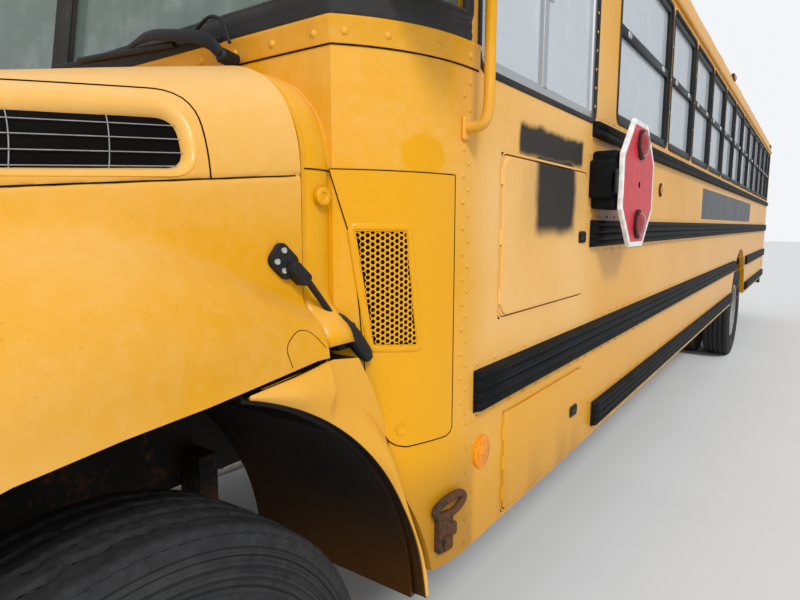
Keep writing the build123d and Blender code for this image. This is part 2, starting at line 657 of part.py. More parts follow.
def bent_pane(side):
    """One quarter pane, bent round the corner."""
    with BuildPart() as bent:
        with BuildSketch(Plane.XY.offset(QUARTER_Z[0])):
            with Locations((WALL_FRONT_X, side * CORNER_Y)):
                Circle(CORNER_R - PANE_DEPTH)
                Circle(CORNER_R - PANE_DEPTH - GLASS, mode=Mode.SUBTRACT)
        extrude(amount=QUARTER_Z[1] - QUARTER_Z[0])
        add(quarter_prism(side), mode=Mode.INTERSECT)
    return bent.part


with BuildPart() as windshield_frame:
    add(cabin(0.0, COWL_TOP_Z, WALL_FRONT_X, COWL_FRONT_X))
    add(cabin(WALL, COWL_TOP_Z, WALL_FRONT_X, COWL_FRONT_X), mode=Mode.SUBTRACT)
    for name, side in SIDES:
        slab(PANE_CUT_X, at_side(side, *PANE_Y), PANE_Z, mode=Mode.SUBTRACT)
        add(quarter_prism(side), mode=Mode.SUBTRACT)
write(windshield_frame, "windshield_frame")

with BuildPart() as windshield_glass:
    for name, side in SIDES:
        with BuildSketch(Plane.XZ.offset(-PANE_Y[1] if side > 0 else PANE_Y[0])):
            with BuildLine():
                Polyline(
                    (nose_x(PANE_Z[0]) - PANE_DEPTH, PANE_Z[0]),
                    (nose_x(PANE_Z[1]) - PANE_DEPTH, PANE_Z[1]),
                    (nose_x(PANE_Z[1]) - PANE_DEPTH - GLASS, PANE_Z[1]),
                    (nose_x(PANE_Z[0]) - PANE_DEPTH - GLASS, PANE_Z[0]),
                    close=True,
                )
            make_face()
        extrude(amount=PANE_Y[1] - PANE_Y[0])
    for name, side in SIDES:
        add(bent_pane(side))
write(windshield_glass, "windshield_glass")

# Hood stations: X, fender Y and Z, crease Y and Z, side top Y and Z, shoulder end Y and Z, the crown's Z
HOOD_STATIONS = (
    (4494.0, 1150.0, 1205.0, 1082.0, 1290.0, 1082.0, 1560.0, 896.0, 1767.0, 1820.0),
    (4800.0, 1172.0, 1215.0, 1078.0, 1425.0, 1068.0, 1500.0, 880.0, 1700.0, 1752.0),
    (5200.0, 1180.0, 1180.0, 1050.0, 1395.0, 1030.0, 1430.0, 835.0, 1605.0, 1662.0),
    (5560.0, 1130.0, 1075.0, 985.0, 1275.0, 965.0, 1310.0, 750.0, 1480.0, 1550.0),
    (5745.0, 1010.0, 985.0, 890.0, 1140.0, 880.0, 1160.0, 670.0, 1330.0, 1400.0),
)
HOOD_WALL = 25.0
HOOD_LOW_Z = 850.0
FENDER_BULGE = 0.16
SHOULDER_BULGE = 0.2


def stood_off(start, end, share, inset=0.0):
    """The middle of an arc that stands off its chord by a share of the chord's length, less an inset."""
    dy, dz = end[0] - start[0], end[1] - start[1]
    off = share - inset / hypot(dy, dz)
    return ((start[0] + end[0]) / 2 + off * dz, (start[1] + end[1]) / 2 - off * dy)


def hood_section(row):
    """One section of the hood in (Y, Z): fender, crease, side, shoulder and crown, closed below."""
    x, fender_y, fender_z, crease_y, crease_z, side_y, side_z, top_y, top_z, crown_z = row
    fender, crease, side, top = (fender_y, fender_z), (crease_y, crease_z), (side_y, side_z), (top_y, top_z)
    fender_arc = stood_off(fender, crease, FENDER_BULGE)
    shoulder_arc = stood_off(side, top, SHOULDER_BULGE)
    with BuildSketch(Plane.YZ.offset(x)) as section:
        with BuildLine():
            for sign in (1, -1):
                places = ((fender_y, HOOD_LOW_Z), fender, fender_arc, crease, side, shoulder_arc, top)
                edge = [(sign * y, z) for y, z in places]
                Line(edge[0], edge[1])
                ThreePointArc(edge[1], edge[2], edge[3])
                Line(edge[3], edge[4])
                ThreePointArc(edge[4], edge[5], edge[6])
            Line((-fender_y, HOOD_LOW_Z), (fender_y, HOOD_LOW_Z))
            ThreePointArc(top, (0.0, crown_z), (-top_y, top_z))
        make_face()
    return section.sketch


def hood_inside(row, shift):
    """The space under the hood at one section, in straight lines."""
    x, fender_y, fender_z, crease_y, crease_z, side_y, side_z, top_y, top_z, crown_z = row
    wall = HOOD_WALL
    fender, crease, side, top = (fender_y, fender_z), (crease_y, crease_z), (side_y, side_z), (top_y, top_z)
    half = [
        (fender_y - wall, HOOD_LOW_Z - 50.0),
        (fender_y - wall, fender_z - 0.4 * wall),
        stood_off(fender, crease, FENDER_BULGE, wall),
        (crease_y - wall, crease_z - 0.8 * wall),
        (side_y - wall, side_z - 0.3 * wall),
        stood_off(side, top, SHOULDER_BULGE, wall),
        (top_y - 0.5 * wall, top_z - 1.2 * wall),
        (0.45 * top_y, crown_z - 1.7 * wall),
    ]
    with BuildSketch(Plane.YZ.offset(x + shift)) as section:
        with BuildLine():
            Polyline(*half, *[(-y, z) for y, z in reversed(half)], close=True)
        make_face()
    return section.sketch


def hood_block():
    """The hood's outer form as one block."""
    with BuildPart() as block:
        loft(sections=[hood_section(row) for row in HOOD_STATIONS], ruled=True)
    return block.part


def cowl_prism(inset, low, high):
    """The cowl's plan, set in by inset, as a block from low to high."""
    with BuildPart() as prism:
        with BuildSketch(Plane.XY.offset(low)) as plan:
            with BuildLine():
                cowl_outline(inset, COWL_FRONT_X - inset)
            make_face()
        extrude(plan.sketch, amount=high - low)
    return prism.part


def arch_cylinder(radius):
    """A cylinder across the whole vehicle about the front axle."""
    with BuildPart() as arch:
        with Locations(Location((FRONT_AXLE_X, 0.0, TYRE_R), (90.0, 0.0, 0.0))):
            Cylinder(radius, 2 * SIDE_Y + 100.0)
    return arch.part


# Cowl: the shell between the hood and the cabin, its floor, and the band that the hood's rear edge meets
BAND_X = (COWL_FRONT_X, 4484.0)
BAND_LOW_Z = 1215.0
BAND_WALL = 25.0
SPLASH_WALL = 25.0
BAND_GAP = 8.0  # from the hood's rear section to the band at its sides, and a little less at its top
SPLASH_BOXES = (((4050.0, 4420.0), 900.0), ((4310.0, 4420.0), SIDE_Y))  # X span, half width


def band_section(inset, low):
    """The band behind the hood in (Y, Z), just inside the hood's rear section, set in by inset."""
    side_y, side_z, top_y, top_z, crown_z = HOOD_STATIONS[0][5:]
    near, drop = side_y - BAND_GAP - inset, 0.75 * BAND_GAP + 0.9 * inset
    arc = stood_off((side_y, side_z), (top_y, top_z), SHOULDER_BULGE, BAND_GAP + inset)
    with BuildSketch(Plane.YZ.offset(BAND_X[0])) as section:
        with BuildLine():
            Polyline((-near, side_z), (-near, low), (near, low), (near, side_z))
            ThreePointArc((near, side_z), arc, (top_y, top_z - drop))
            ThreePointArc((top_y, top_z - drop), (0.0, crown_z - drop), (-top_y, top_z - drop))
            ThreePointArc((-top_y, top_z - drop), (-arc[0], arc[1]), (-near, side_z))
        make_face()
    return section.sketch


with BuildPart() as cowl:
    add(cowl_prism(0.0, SKIRT_Z, COWL_TOP_Z))
    add(cowl_prism(WALL, FLOOR_Z, COWL_TOP_Z), mode=Mode.SUBTRACT)
    add(cowl_prism(WALL, SKIRT_Z, FLOOR_LOW_Z), mode=Mode.SUBTRACT)
    for box_x, half in SPLASH_BOXES:
        slab(box_x, (-half, half), (SKIRT_Z, FLOOR_LOW_Z), mode=Mode.SUBTRACT)
    add(arch_cylinder(ARCH_R + SPLASH_WALL), mode=Mode.SUBTRACT)
    extrude(band_section(0.0, BAND_LOW_Z), amount=BAND_X[1] - BAND_X[0])
    extrude(band_section(BAND_WALL, BAND_LOW_Z - 10.0), amount=BAND_X[1] - BAND_X[0], mode=Mode.SUBTRACT)
write(cowl, "cowl")

# Fender extensions: the flare that carries the wheel arch back onto the cowl, and the splash panel behind
# it. The outlines are in (X, Z): the flare, its tip along the arch, and the hood's edge over both.
FLARE_EDGE = (
    (4484.0, 1196.0),
    (4410.0, 1186.0),
    (4362.0, 1114.0),
    (4303.0, 976.0),
    (4281.0, 879.0),
    (4262.0, 781.0),
    (4262.0, 700.0),
    (4484.0, 700.0),
)
FLARE_Y = (1000.0, 1150.0)
FLARE_TIP = ((4484.0, 1196.0), (4705.0, 1177.0), (4705.0, 1000.0), (4484.0, 1000.0))
FLARE_TIP_Y = (1125.0, 1150.0)
HOOD_EDGE = ((4480.0, 1206.0), (4760.0, 1183.0), (4760.0, 800.0), (4480.0, 800.0))
SPLASH_Y = (620.0, 1150.0)
SPLASH_FRONT_X = 4483.5
SPLASH_LOW_Z = 560.0


def side_prism(points, side, near, far):
    """A prism across the vehicle, from near to far on one side, of an outline in (X, Z)."""
    with BuildPart() as prism:
        with BuildSketch(Plane.XZ.offset(-far if side > 0 else near)) as outline:
            with BuildLine():
                Polyline(*points, close=True)
            make_face()
        extrude(outline.sketch, amount=far - near)
    return prism.part


def flare(side):
    """One fender extension."""
    with BuildPart() as extension:
        add(side_prism(FLARE_EDGE, side, *FLARE_Y))
        add(side_prism(FLARE_TIP, side, *FLARE_TIP_Y))
        add(cowl_prism(0.0, 600.0, 1300.0), mode=Mode.SUBTRACT)
        with BuildSketch(Plane.XZ.offset(-SPLASH_Y[1] if side > 0 else SPLASH_Y[0])) as strip:
            with Locations((FRONT_AXLE_X, TYRE_R)):
                Circle(ARCH_R + SPLASH_WALL)
            with Locations((SPLASH_FRONT_X + BELOW / 2, TYRE_R)):
                Rectangle(BELOW, BELOW, mode=Mode.SUBTRACT)
            with Locations((FRONT_AXLE_X, SPLASH_LOW_Z - BELOW / 2)):
                Rectangle(BELOW, BELOW, mode=Mode.SUBTRACT)
        extrude(strip.sketch, amount=SPLASH_Y[1] - SPLASH_Y[0])
        add(arch_cylinder(ARCH_R), mode=Mode.SUBTRACT)
    return extension.part


with BuildPart() as fender_extensions:
    for name, side in SIDES:
        add(flare(side))
write(fender_extensions, "fender_extensions")

# Hood: bonnet and fenders in one shell, open below and behind, that tilts forward
VENT_SIZE = (430.0, 81.0)
VENT_CORNER = 34.0
VENT_MIDDLE = (4950.0, 1569.0)
VENT_TILT = -3.4
VENT_Y = (880.0, 1200.0)
FRONT_CUT_X = (5700.0, 5760.0)
GRILLE_Y = 500.0
GRILLE_Z = (900.0, 1340.0)
HEADLAMP_Y = (640.0, 940.0)
HEADLAMP_Z = (885.0, 1015.0)
HEADLAMP_X = (5690.0, 5750.0)
GRILLE_X = (5712.0, 5745.0)
GRILLE_EDGE = 35.0
BAR_HIGH = 20.0
# The hood's hinge plates: their spans along X and Z
HINGE_PLATES = ((HINGE_X, (HINGE_Z - 25.0, 1000.0)), ((HINGE_X[0], 5725.0), (HOOD_LOW_Z + 10.0, 1000.0)))
INSIDE_SHIFTS = (-10.0, 0.0, 0.0, 0.0, -HOOD_WALL)  # of the inner sections along X

with BuildPart() as hood:
    add(hood_block())
    inside = [hood_inside(row, shift) for row, shift in zip(HOOD_STATIONS, INSIDE_SHIFTS)]
    loft(sections=inside, ruled=True, mode=Mode.SUBTRACT)
    add(arch_cylinder(ARCH_R), mode=Mode.SUBTRACT)
    slab(FRONT_CUT_X, (-GRILLE_Y, GRILLE_Y), GRILLE_Z, mode=Mode.SUBTRACT)
    for name, side in SIDES:
        add(side_prism(HOOD_EDGE, side, SPLASH_Y[0], SIDE_Y), mode=Mode.SUBTRACT)
        slab(FRONT_CUT_X, at_side(side, *HEADLAMP_Y), HEADLAMP_Z, mode=Mode.SUBTRACT)
        for plate_x, plate_z in HINGE_PLATES:
            slab(plate_x, at_side(side, HINGE_Y, HINGE_Y + HINGE_PLATE), plate_z)
    for name, side in SIDES:
        with BuildSketch(Plane.XZ.offset(-VENT_Y[1] if side > 0 else VENT_Y[0])):
            with Locations(Location((*VENT_MIDDLE, 0.0), VENT_TILT)):
                RectangleRounded(*VENT_SIZE, VENT_CORNER)
        extrude(amount=VENT_Y[1] - VENT_Y[0], mode=Mode.SUBTRACT)
write(hood, "hood")

BARS = 7
with BuildPart() as grille:
    slab(GRILLE_X, (-GRILLE_Y, GRILLE_Y), GRILLE_Z)
    slot = (GRILLE_Z[1] - GRILLE_Z[0] - 2 * BAR_HIGH) / BARS
    for index in range(BARS):
        low = GRILLE_Z[0] + 1.5 * BAR_HIGH + slot * index
        slot_y = (GRILLE_EDGE - GRILLE_Y, GRILLE_Y - GRILLE_EDGE)
        slab(FRONT_CUT_X, slot_y, (low, low + slot - BAR_HIGH), mode=Mode.SUBTRACT)
write(grille, "grille")

with BuildPart() as headlamps:
    for name, side in SIDES:
        slab(HEADLAMP_X, at_side(side, *HEADLAMP_Y), HEADLAMP_Z)
write(headlamps, "headlamps")

# Steering knuckles: kingpin, yoke, spindle and steering arm
YOKE_Z = ((405.0, 435.0), (575.0, 605.0))
YOKE_Y = (850.0, 980.0)
STUB_R = 38.0
STUB_END_Y = 1100.0
BORE_R = 43.0
KINGPIN_LONG = 210.0
# Plates of the knuckle: their spans along X from the axle, Y and Z
KNUCKLE_PLATES = (
    ((-45.0, 45.0), YOKE_Y, YOKE_Z[0]),
    ((-45.0, 45.0), YOKE_Y, YOKE_Z[1]),
    ((-60.0, 60.0), (950.0, YOKE_Y[1]), (YOKE_Z[0][0], YOKE_Z[1][1])),
    ((-200.0, 0.0), (855.0, 890.0), YOKE_Z[0]),
)

for name, side in SIDES:
    with BuildPart() as knuckle:
        with Locations((FRONT_AXLE_X, side * KINGPIN_Y, TYRE_R)):
            Cylinder(KINGPIN_R, KINGPIN_LONG)
        for x, y, z in KNUCKLE_PLATES:
            slab((FRONT_AXLE_X + x[0], FRONT_AXLE_X + x[1]), at_side(side, *y), z)
        stub_y = side * (YOKE_Y[1] + STUB_END_Y) / 2
        with Locations(Location((FRONT_AXLE_X, stub_y, TYRE_R), (90.0, 0.0, 0.0))):
            Cylinder(STUB_R, STUB_END_Y - YOKE_Y[1])
    write(knuckle, f"knuckle_{name}")


def turned(points, centre, side):
    """A ring turned about the wheel's axis: each point is (distance outward from the centre, radius)."""
    with BuildPart() as ring:
        with BuildSketch(Plane(origin=centre, x_dir=(0.0, side, 0.0), z_dir=(side, 0.0, 0.0))) as half:
            with BuildLine():
                Polyline(*points, close=True)
            make_face()
        revolve(half.sketch, axis=Axis(centre, (0.0, 1.0, 0.0)))
    return ring.part


# Sections of the tyre and the rims: (distance outward from the wheel's centre, radius)
TYRE_SECTION = ((-TYRE_HALF, RIM_R), (-TYRE_HALF, TYRE_R), (TYRE_HALF, TYRE_R), (TYRE_HALF, RIM_R))
FRONT_RIM_SECTION = (
    (-110.0, RIM_R),
    (110.0, RIM_R),
    (110.0, 262.0),
    (62.0, 262.0),
    (62.0, 90.0),
    (128.0, 90.0),
    (128.0, 0.0),
    (66.0, 0.0),
    (66.0, BORE_R),
    (-50.0, BORE_R),
    (-50.0, 90.0),
    (44.0, 90.0),
    (44.0, 250.0),
    (-110.0, 250.0),
)
# Rear rims, from the outer wheel's centre: both barrels, the deep disc with the hub, and the drum
REAR_RIM_SECTION = (
    (-433.0, RIM_R),
    (110.0, RIM_R),
    (110.0, 262.0),
    (-120.0, 262.0),
    (-120.0, 110.0),
    (70.0, 110.0),
    (70.0, 0.0),
    (-250.0, 0.0),
    (-250.0, 46.0),
    (DRUM_Y[0] - REAR_OUTER_Y, 46.0),
    (DRUM_Y[0] - REAR_OUTER_Y, 210.0),
    (-180.0, 210.0),
    (-180.0, 250.0),
    (-433.0, 250.0),
)

for name, side in SIDES:
    front_centre = (FRONT_AXLE_X, side * FRONT_WHEEL_Y, TYRE_R)
    rear_centre = (REAR_AXLE_X, side * REAR_OUTER_Y, TYRE_R)
    inner_centre = (REAR_AXLE_X, side * REAR_INNER_Y, TYRE_R)
    with BuildPart() as front_rim:
        add(turned(FRONT_RIM_SECTION, front_centre, side))
    write(front_rim, f"front_rim_{name}")
    with BuildPart() as front_tyre:
        add(turned(TYRE_SECTION, front_centre, side))
    write(front_tyre, f"front_tyre_{name}")
    with BuildPart() as rear_rims:
        add(turned(REAR_RIM_SECTION, rear_centre, side))
    write(rear_rims, f"rear_rims_{name}")
    with BuildPart() as rear_tyres:
        add(turned(TYRE_SECTION, rear_centre, side))
        add(turned(TYRE_SECTION, inner_centre, side))
    write(rear_tyres, f"rear_tyres_{name}")

# Rub rails: low and high Z, front X; the lower two stop at the rear wheel arch and go on behind it
RUB_RAILS = (
    (673.0, 771.0, 3080.0, (-1500.0, -2910.0)),
    (986.0, 1095.0, 4050.0, (-1640.0, -2770.0)),
    (1371.0, 1469.0, 3187.0, None),
    (1757.0, 1812.0, 3205.0, None),
)
RUB_DEEP = 24.0
RIGHT_RAIL_FRONT_X = 3100.0
RAIL_TAIL_X = REAR_X + 60.0

with BuildPart() as rub_rails:
    for name, side in SIDES:
        for low, high, front, gap in RUB_RAILS:
            end = front if side > 0 else min(front, RIGHT_RAIL_FRONT_X)
            for near, far in ((RAIL_TAIL_X, gap[1]), (gap[0], end)) if gap else ((RAIL_TAIL_X, end),):
                slab((near, far), at_side(side, SIDE_Y, SIDE_Y + RUB_DEEP), (low, high))
write(rub_rails, "rub_rails")

# Doors in the side: the battery door, the access door over it, and the two leaves of the entrance
DOOR_THICK = 30.0
DOOR_CORNER_R = 25.0
for name, x, z in (("battery_door", BATTERY_X, BATTERY_Z), ("access_door", ACCESS_X, ACCESS_Z)):
    with BuildPart() as side_door:
        slab((x[0] + GAP, x[1] - GAP), (SIDE_Y - DOOR_THICK, SIDE_Y), (z[0] + GAP, z[1] - GAP))
        fillet(side_door.edges().filter_by(Axis.Y), DOOR_CORNER_R)
    write(side_door, name)

LEAF_X = ((ENTRY_X[0] + 5.0, 3554.0), (3566.0, ENTRY_X[1] - 5.0))
LEAF_Z = (ENTRY_Z[0] + 20.0, ENTRY_Z[1] - 10.0)
LEAF_BORDER = 45.0
LEAF_PANES_Z = ((500.0, 1290.0), (1370.0, 2410.0))
DOOR_GLASS_Y = (24.0 - SIDE_Y, 30.0 - SIDE_Y)

for name, x in zip(("rear", "front"), LEAF_X):
    with BuildPart() as leaf:
        slab(x, (-SIDE_Y, WALL - SIDE_Y), LEAF_Z)
        for z in LEAF_PANES_Z:
            slab((x[0] + LEAF_BORDER, x[1] - LEAF_BORDER), (-SIDE_Y, WALL - SIDE_Y), z, mode=Mode.SUBTRACT)
    write(leaf, f"entry_leaf_{name}")
    with BuildPart() as leaf_glass:
        for z in LEAF_PANES_Z:
            slab((x[0] + LEAF_BORDER, x[1] - LEAF_BORDER), DOOR_GLASS_Y, z)
    write(leaf_glass, f"entry_glass_{name}")

DOOR_PANES_Z = ((1250.0, 1640.0), (1840.0, 2400.0))
with BuildPart() as rear_door:
    door_y, door_z = [(low + GAP, high - GAP) for low, high in (REAR_DOOR_Y, REAR_DOOR_Z)]
    slab((REAR_X, REAR_X + WALL), door_y, door_z)
    for z in DOOR_PANES_Z:
        slab((REAR_X, REAR_X + WALL), (-REAR_PANE_HALF, REAR_PANE_HALF), z, mode=Mode.SUBTRACT)
write(rear_door, "rear_door")

with BuildPart() as rear_door_glass:
    for z in DOOR_PANES_Z:
        slab(REAR_GLASS_X, (-REAR_PANE_HALF, REAR_PANE_HALF), z)
write(rear_door_glass, "rear_door_glass")

# Stop arm: the housing on the wall, its hinge plate, and the eight-sided sign that swings out
SIGN_WIDE = 457.0
SIGN_X = 2975.0
SIGN_Z = 1600.0
SIGN_Y = (1314.0, 1330.0)
HOUSING_X = (2950.0, 3194.0)
HOUSING_Z = (1508.0, 1709.0)
SIGN_HINGE = ((HOUSING_X[1], 3215.0), (SIDE_Y, SIDE_Y + 60.0), (1560.0, 1640.0))

with BuildPart() as stop_arm_housing:
    slab(HOUSING_X, (SIDE_Y, SIGN_Y[0] - GAP), HOUSING_Z)
    slab(*SIGN_HINGE)
write(stop_arm_housing, "stop_arm_housing")

with BuildPart() as stop_sign:
    with BuildSketch(Plane.XZ.offset(-SIGN_Y[1])):
        with Locations((SIGN_X, SIGN_Z)):
            RegularPolygon(SIGN_WIDE / 2, 8, major_radius=False, rotation=22.5)
    extrude(amount=SIGN_Y[1] - SIGN_Y[0])
write(stop_sign, "stop_sign")

# Mirrors: on arms at the corners of the windshield, and the cross-view ones on the fenders. Each table has
# the spans along X, Y and Z: the lower arm, the post, the upper arm in its two reaches, and the two heads.
MIRROR_FRAME = (
    ((4326.0, 4350.0), (1100.0, 1360.0), (1925.0, 1949.0)),
    ((4326.0, 4350.0), (1336.0, 1360.0), (1925.0, 2564.0)),
    ((4226.0, 4350.0), (1336.0, 1360.0), (2540.0, 2564.0)),
    ((4226.0, 4250.0), (1150.0, 1360.0), (2540.0, 2564.0)),
    ((4300.0, 4376.0), (1240.0, 1440.0), (1965.0, 2115.0)),
    ((4300.0, 4376.0), (1240.0, 1440.0), (2145.0, 2515.0)),
)
CROSSVIEW_FRAME = (
    ((5380.0, 5404.0), (1040.0, 1064.0), (1120.0, 1560.0)),
    ((5340.0, 5440.0), (960.0, 1144.0), (1480.0, 1700.0)),
)
with BuildPart() as mirrors:
    for name, side in SIDES:
        for x, y, z in MIRROR_FRAME:
            slab(x, at_side(side, *y), z)
    add(cowl_prism(0.0, COWL_TOP_Z, EAVE_Z), mode=Mode.SUBTRACT)
write(mirrors, "mirrors")

with BuildPart() as crossview_mirrors:
    for name, side in SIDES:
        for x, y, z in CROSSVIEW_FRAME:
            slab(x, at_side(side, *y), z)
    add(hood_block(), mode=Mode.SUBTRACT)
write(crossview_mirrors, "crossview_mirrors")

# Lamps on the body: middle Y, Z and radius of each, at the rear and over the windshield
REAR_LAMPS = (
    (850.0, 2740.0, 89.0),
    (580.0, 2790.0, 89.0),
    (1000.0, 1480.0, 89.0),
    (780.0, 1480.0, 89.0),
    (1000.0, 1230.0, 60.0),
)
FRONT_LAMPS = ((850.0, 2750.0, 89.0), (580.0, 2790.0, 89.0))
MARKER_LAMPS = ((-742.0, 2740.0), (-5640.0, 2670.0))
LAMP_DEEP = 26.0
FRONT_LAMP_X = 4230.0
FRONT_LAMP_DEEP = 140.0
MARKER_HALF_X = 60.0
MARKER_HALF_Z = 22.0
MARKER_Y = (1150.0, 1212.0)
with BuildPart() as body_lamps:
    for name, side in SIDES:
        for y, z, radius in REAR_LAMPS:
            with Locations(Location((REAR_X - LAMP_DEEP / 2, side * y, z), (0.0, 90.0, 0.0))):
                Cylinder(radius, LAMP_DEEP)
        for y, z, radius in FRONT_LAMPS:
            with Locations(Location((FRONT_LAMP_X, side * y, z), (0.0, 90.0, 0.0))):
                Cylinder(radius, FRONT_LAMP_DEEP)
        for x, z in MARKER_LAMPS:
            lamp_x = (x - MARKER_HALF_X, x + MARKER_HALF_X)
            slab(lamp_x, at_side(side, *MARKER_Y), (z - MARKER_HALF_Z, z + MARKER_HALF_Z))
    add(cabin(0.0, EAVE_Z, REAR_X, WALL_FRONT_X), mode=Mode.SUBTRACT)
    add(cabin(0.0, COWL_TOP_Z, WALL_FRONT_X, COWL_FRONT_X), mode=Mode.SUBTRACT)
write(body_lamps, "body_lamps")

HANDLE_X = (4095.0, 4119.0)
HANDLE_Y = (SIDE_Y - 12.0, SIDE_Y + 60.0)
HANDLE_Z = (1655.0, 2079.0)
HANDLE_BAR = 24.0
with BuildPart() as grab_handle:
    for low in (HANDLE_Z[0], HANDLE_Z[1] - HANDLE_BAR):
        slab(HANDLE_X, HANDLE_Y, (low, low + HANDLE_BAR))
    slab(HANDLE_X, (HANDLE_Y[1] - HANDLE_BAR, HANDLE_Y[1]), HANDLE_Z)
    add(cowl_prism(0.0, *HANDLE_Z), mode=Mode.SUBTRACT)
write(grab_handle, "grab_handle")

# Boxes behind the two side doors: the battery tray with its batteries, and the electrical box
BOX_WALL = 6.0
BATTERIES_X = ((3300.0, 3550.0), (3570.0, 3820.0))
BATTERIES_Y = (720.0, 1090.0)
BATTERIES_Z = (647.0, 860.0)  # a millimetre clear of the tray's floor
BOXES = ((BATTERY_X, (700.0, SIDE_Y - WALL), (640.0, 952.0)), (ACCESS_X, (1024.0, SIDE_Y - WALL), ACCESS_Z))
HANGER = (BATTERY_X, (690.0, 710.0), (940.0, FLOOR_LOW_Z))
with BuildPart() as equipment_boxes:
    for x, y, z in BOXES:
        slab(x, y, z)
        slab(
            (x[0] + BOX_WALL, x[1] - BOX_WALL),
            (y[0] + BOX_WALL, y[1]),
            (z[0] + BOX_WALL, z[1] - BOX_WALL),
            mode=Mode.SUBTRACT,
        )
    for x in BATTERIES_X:
        slab(x, BATTERIES_Y, BATTERIES_Z)
    slab(*HANGER)
write(equipment_boxes, "equipment_boxes")

# Seats: benches in pairs along both sides, the driver's seat, and the dashboard with the steering wheel
SEAT_ROWS = 11
SEAT_X = 2300.0
BENCH_Y = (190.0, 1150.0)
CUSHION_Z = (1360.0, 1470.0)
CUSHION_X = (50.0, 430.0)  # from the seat back, as are the other spans along X below
BACK_PROFILE = ((-35.0, 1390.0), (50.0, 1390.0), (-15.0, 2080.0), (-85.0, 2080.0))
TRAY_X = (60.0, 400.0)
TRAY_LOW_Z = 1330.0
LEG_X = (120.0, 320.0)
LEG_Y = (230.0, 262.0)
SEAT_BACKS = [SEAT_X - WINDOW_PITCH * index for index in range(SEAT_ROWS)]

with BuildPart() as seat_cushions:
    for name, side in SIDES:
        for back in SEAT_BACKS:
            slab((back + CUSHION_X[0], back + CUSHION_X[1]), at_side(side, *BENCH_Y), CUSHION_Z)
write(seat_cushions, "seat_cushions")

with BuildPart() as seat_backs:
    for name, side in SIDES:
        with BuildSketch(Plane.XZ.offset(-BENCH_Y[1] if side > 0 else BENCH_Y[0])):
            for back in SEAT_BACKS:
                with BuildLine():
                    Polyline(*[(back + x, z) for x, z in BACK_PROFILE], close=True)
                make_face()
        extrude(amount=BENCH_Y[1] - BENCH_Y[0])
write(seat_backs, "seat_backs")

with BuildPart() as seat_frames:
    for name, side in SIDES:
        for back in SEAT_BACKS:
            tray_y = at_side(side, BENCH_Y[0] + 20.0, SIDE_Y - WALL)
            slab((back + TRAY_X[0], back + TRAY_X[1]), tray_y, (TRAY_LOW_Z, CUSHION_Z[0]))
            slab((back + LEG_X[0], back + LEG_X[1]), at_side(side, *LEG_Y), (FLOOR_Z, TRAY_LOW_Z))
write(seat_frames, "seat_frames")

# The driver's seat: the spans along X, Y and Z of its cushion, its back and its pedestal
DRIVER_SEAT = (
    ((3380.0, 3840.0), (370.0, 850.0), (1440.0, 1540.0)),
    ((3300.0, 3390.0), (370.0, 850.0), (1480.0, 2200.0)),
    ((3480.0, 3740.0), (480.0, 740.0), (FLOOR_Z, 1440.0)),
)
with BuildPart() as driver_seat:
    for x, y, z in DRIVER_SEAT:
        slab(x, y, z)
write(driver_seat, "driver_seat")

DASH_HALF = 1020.0
DASH_PROFILE = (
    (4360.0, 1200.0),
    (4360.0, 1850.0),
    (4180.0, 1850.0),
    (4100.0, 1790.0),
    (4150.0, 1500.0),
    (4260.0, 1200.0),
)
COLUMN_PLACE = Location((4030.0, 610.0, 1690.0), (0.0, -60.0, 0.0))
COLUMN_R = 30.0
COLUMN_LONG = 330.0
STEERING_PLACE = Location((3930.0, 610.0, 1755.0), (0.0, -30.0, 0.0))
STEERING_R = 228.0
STEERING_INNER_R = 200.0
STEERING_THICK = 26.0
SPOKE_SIZE = (50.0, 420.0, 24.0)
BOSS_R = 60.0
BOSS_LONG = 40.0
with BuildPart() as dashboard:
    with BuildSketch(Plane.XZ.offset(-DASH_HALF)):
        with BuildLine():
            Polyline(*DASH_PROFILE, close=True)
        make_face()
    extrude(amount=2 * DASH_HALF)
    with Locations(COLUMN_PLACE):
        Cylinder(COLUMN_R, COLUMN_LONG)
    with Locations(STEERING_PLACE):
        Cylinder(STEERING_R, STEERING_THICK)
        Cylinder(STEERING_INNER_R, STEERING_THICK, mode=Mode.SUBTRACT)
        Box(*SPOKE_SIZE)
        Cylinder(BOSS_R, BOSS_LONG)
write(dashboard, "dashboard")
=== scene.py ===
from math import cos, pi, radians, sin

import bmesh
import bpy
import numpy as np
from mathutils import Matrix, Vector


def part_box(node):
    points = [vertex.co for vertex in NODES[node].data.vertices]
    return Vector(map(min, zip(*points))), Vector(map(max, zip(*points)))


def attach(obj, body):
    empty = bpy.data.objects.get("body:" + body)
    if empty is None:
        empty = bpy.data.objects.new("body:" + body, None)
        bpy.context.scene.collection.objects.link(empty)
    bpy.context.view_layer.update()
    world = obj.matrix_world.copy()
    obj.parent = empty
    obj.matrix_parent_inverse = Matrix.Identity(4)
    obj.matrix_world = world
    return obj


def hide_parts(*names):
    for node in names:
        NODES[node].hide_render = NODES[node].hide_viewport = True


bl_info = {
    "name": "School bus finish",
    "version": (1, 0, 0),
    "blender": (4, 5, 0),
    "location": "3D View > Sidebar > School bus",
    "description": "Dresses the school bus: paint, glass, trim, rivets, tyres, seats, lamps and a stage",
    "category": "Object",
}

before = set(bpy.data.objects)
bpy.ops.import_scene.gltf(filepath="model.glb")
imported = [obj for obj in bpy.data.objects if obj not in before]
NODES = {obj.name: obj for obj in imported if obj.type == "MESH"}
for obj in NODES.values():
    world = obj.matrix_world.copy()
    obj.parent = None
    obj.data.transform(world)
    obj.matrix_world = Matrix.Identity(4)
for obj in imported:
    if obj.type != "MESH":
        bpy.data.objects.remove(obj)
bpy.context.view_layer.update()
FINISHES = {}  # the materials by their short names, filled by the first operator

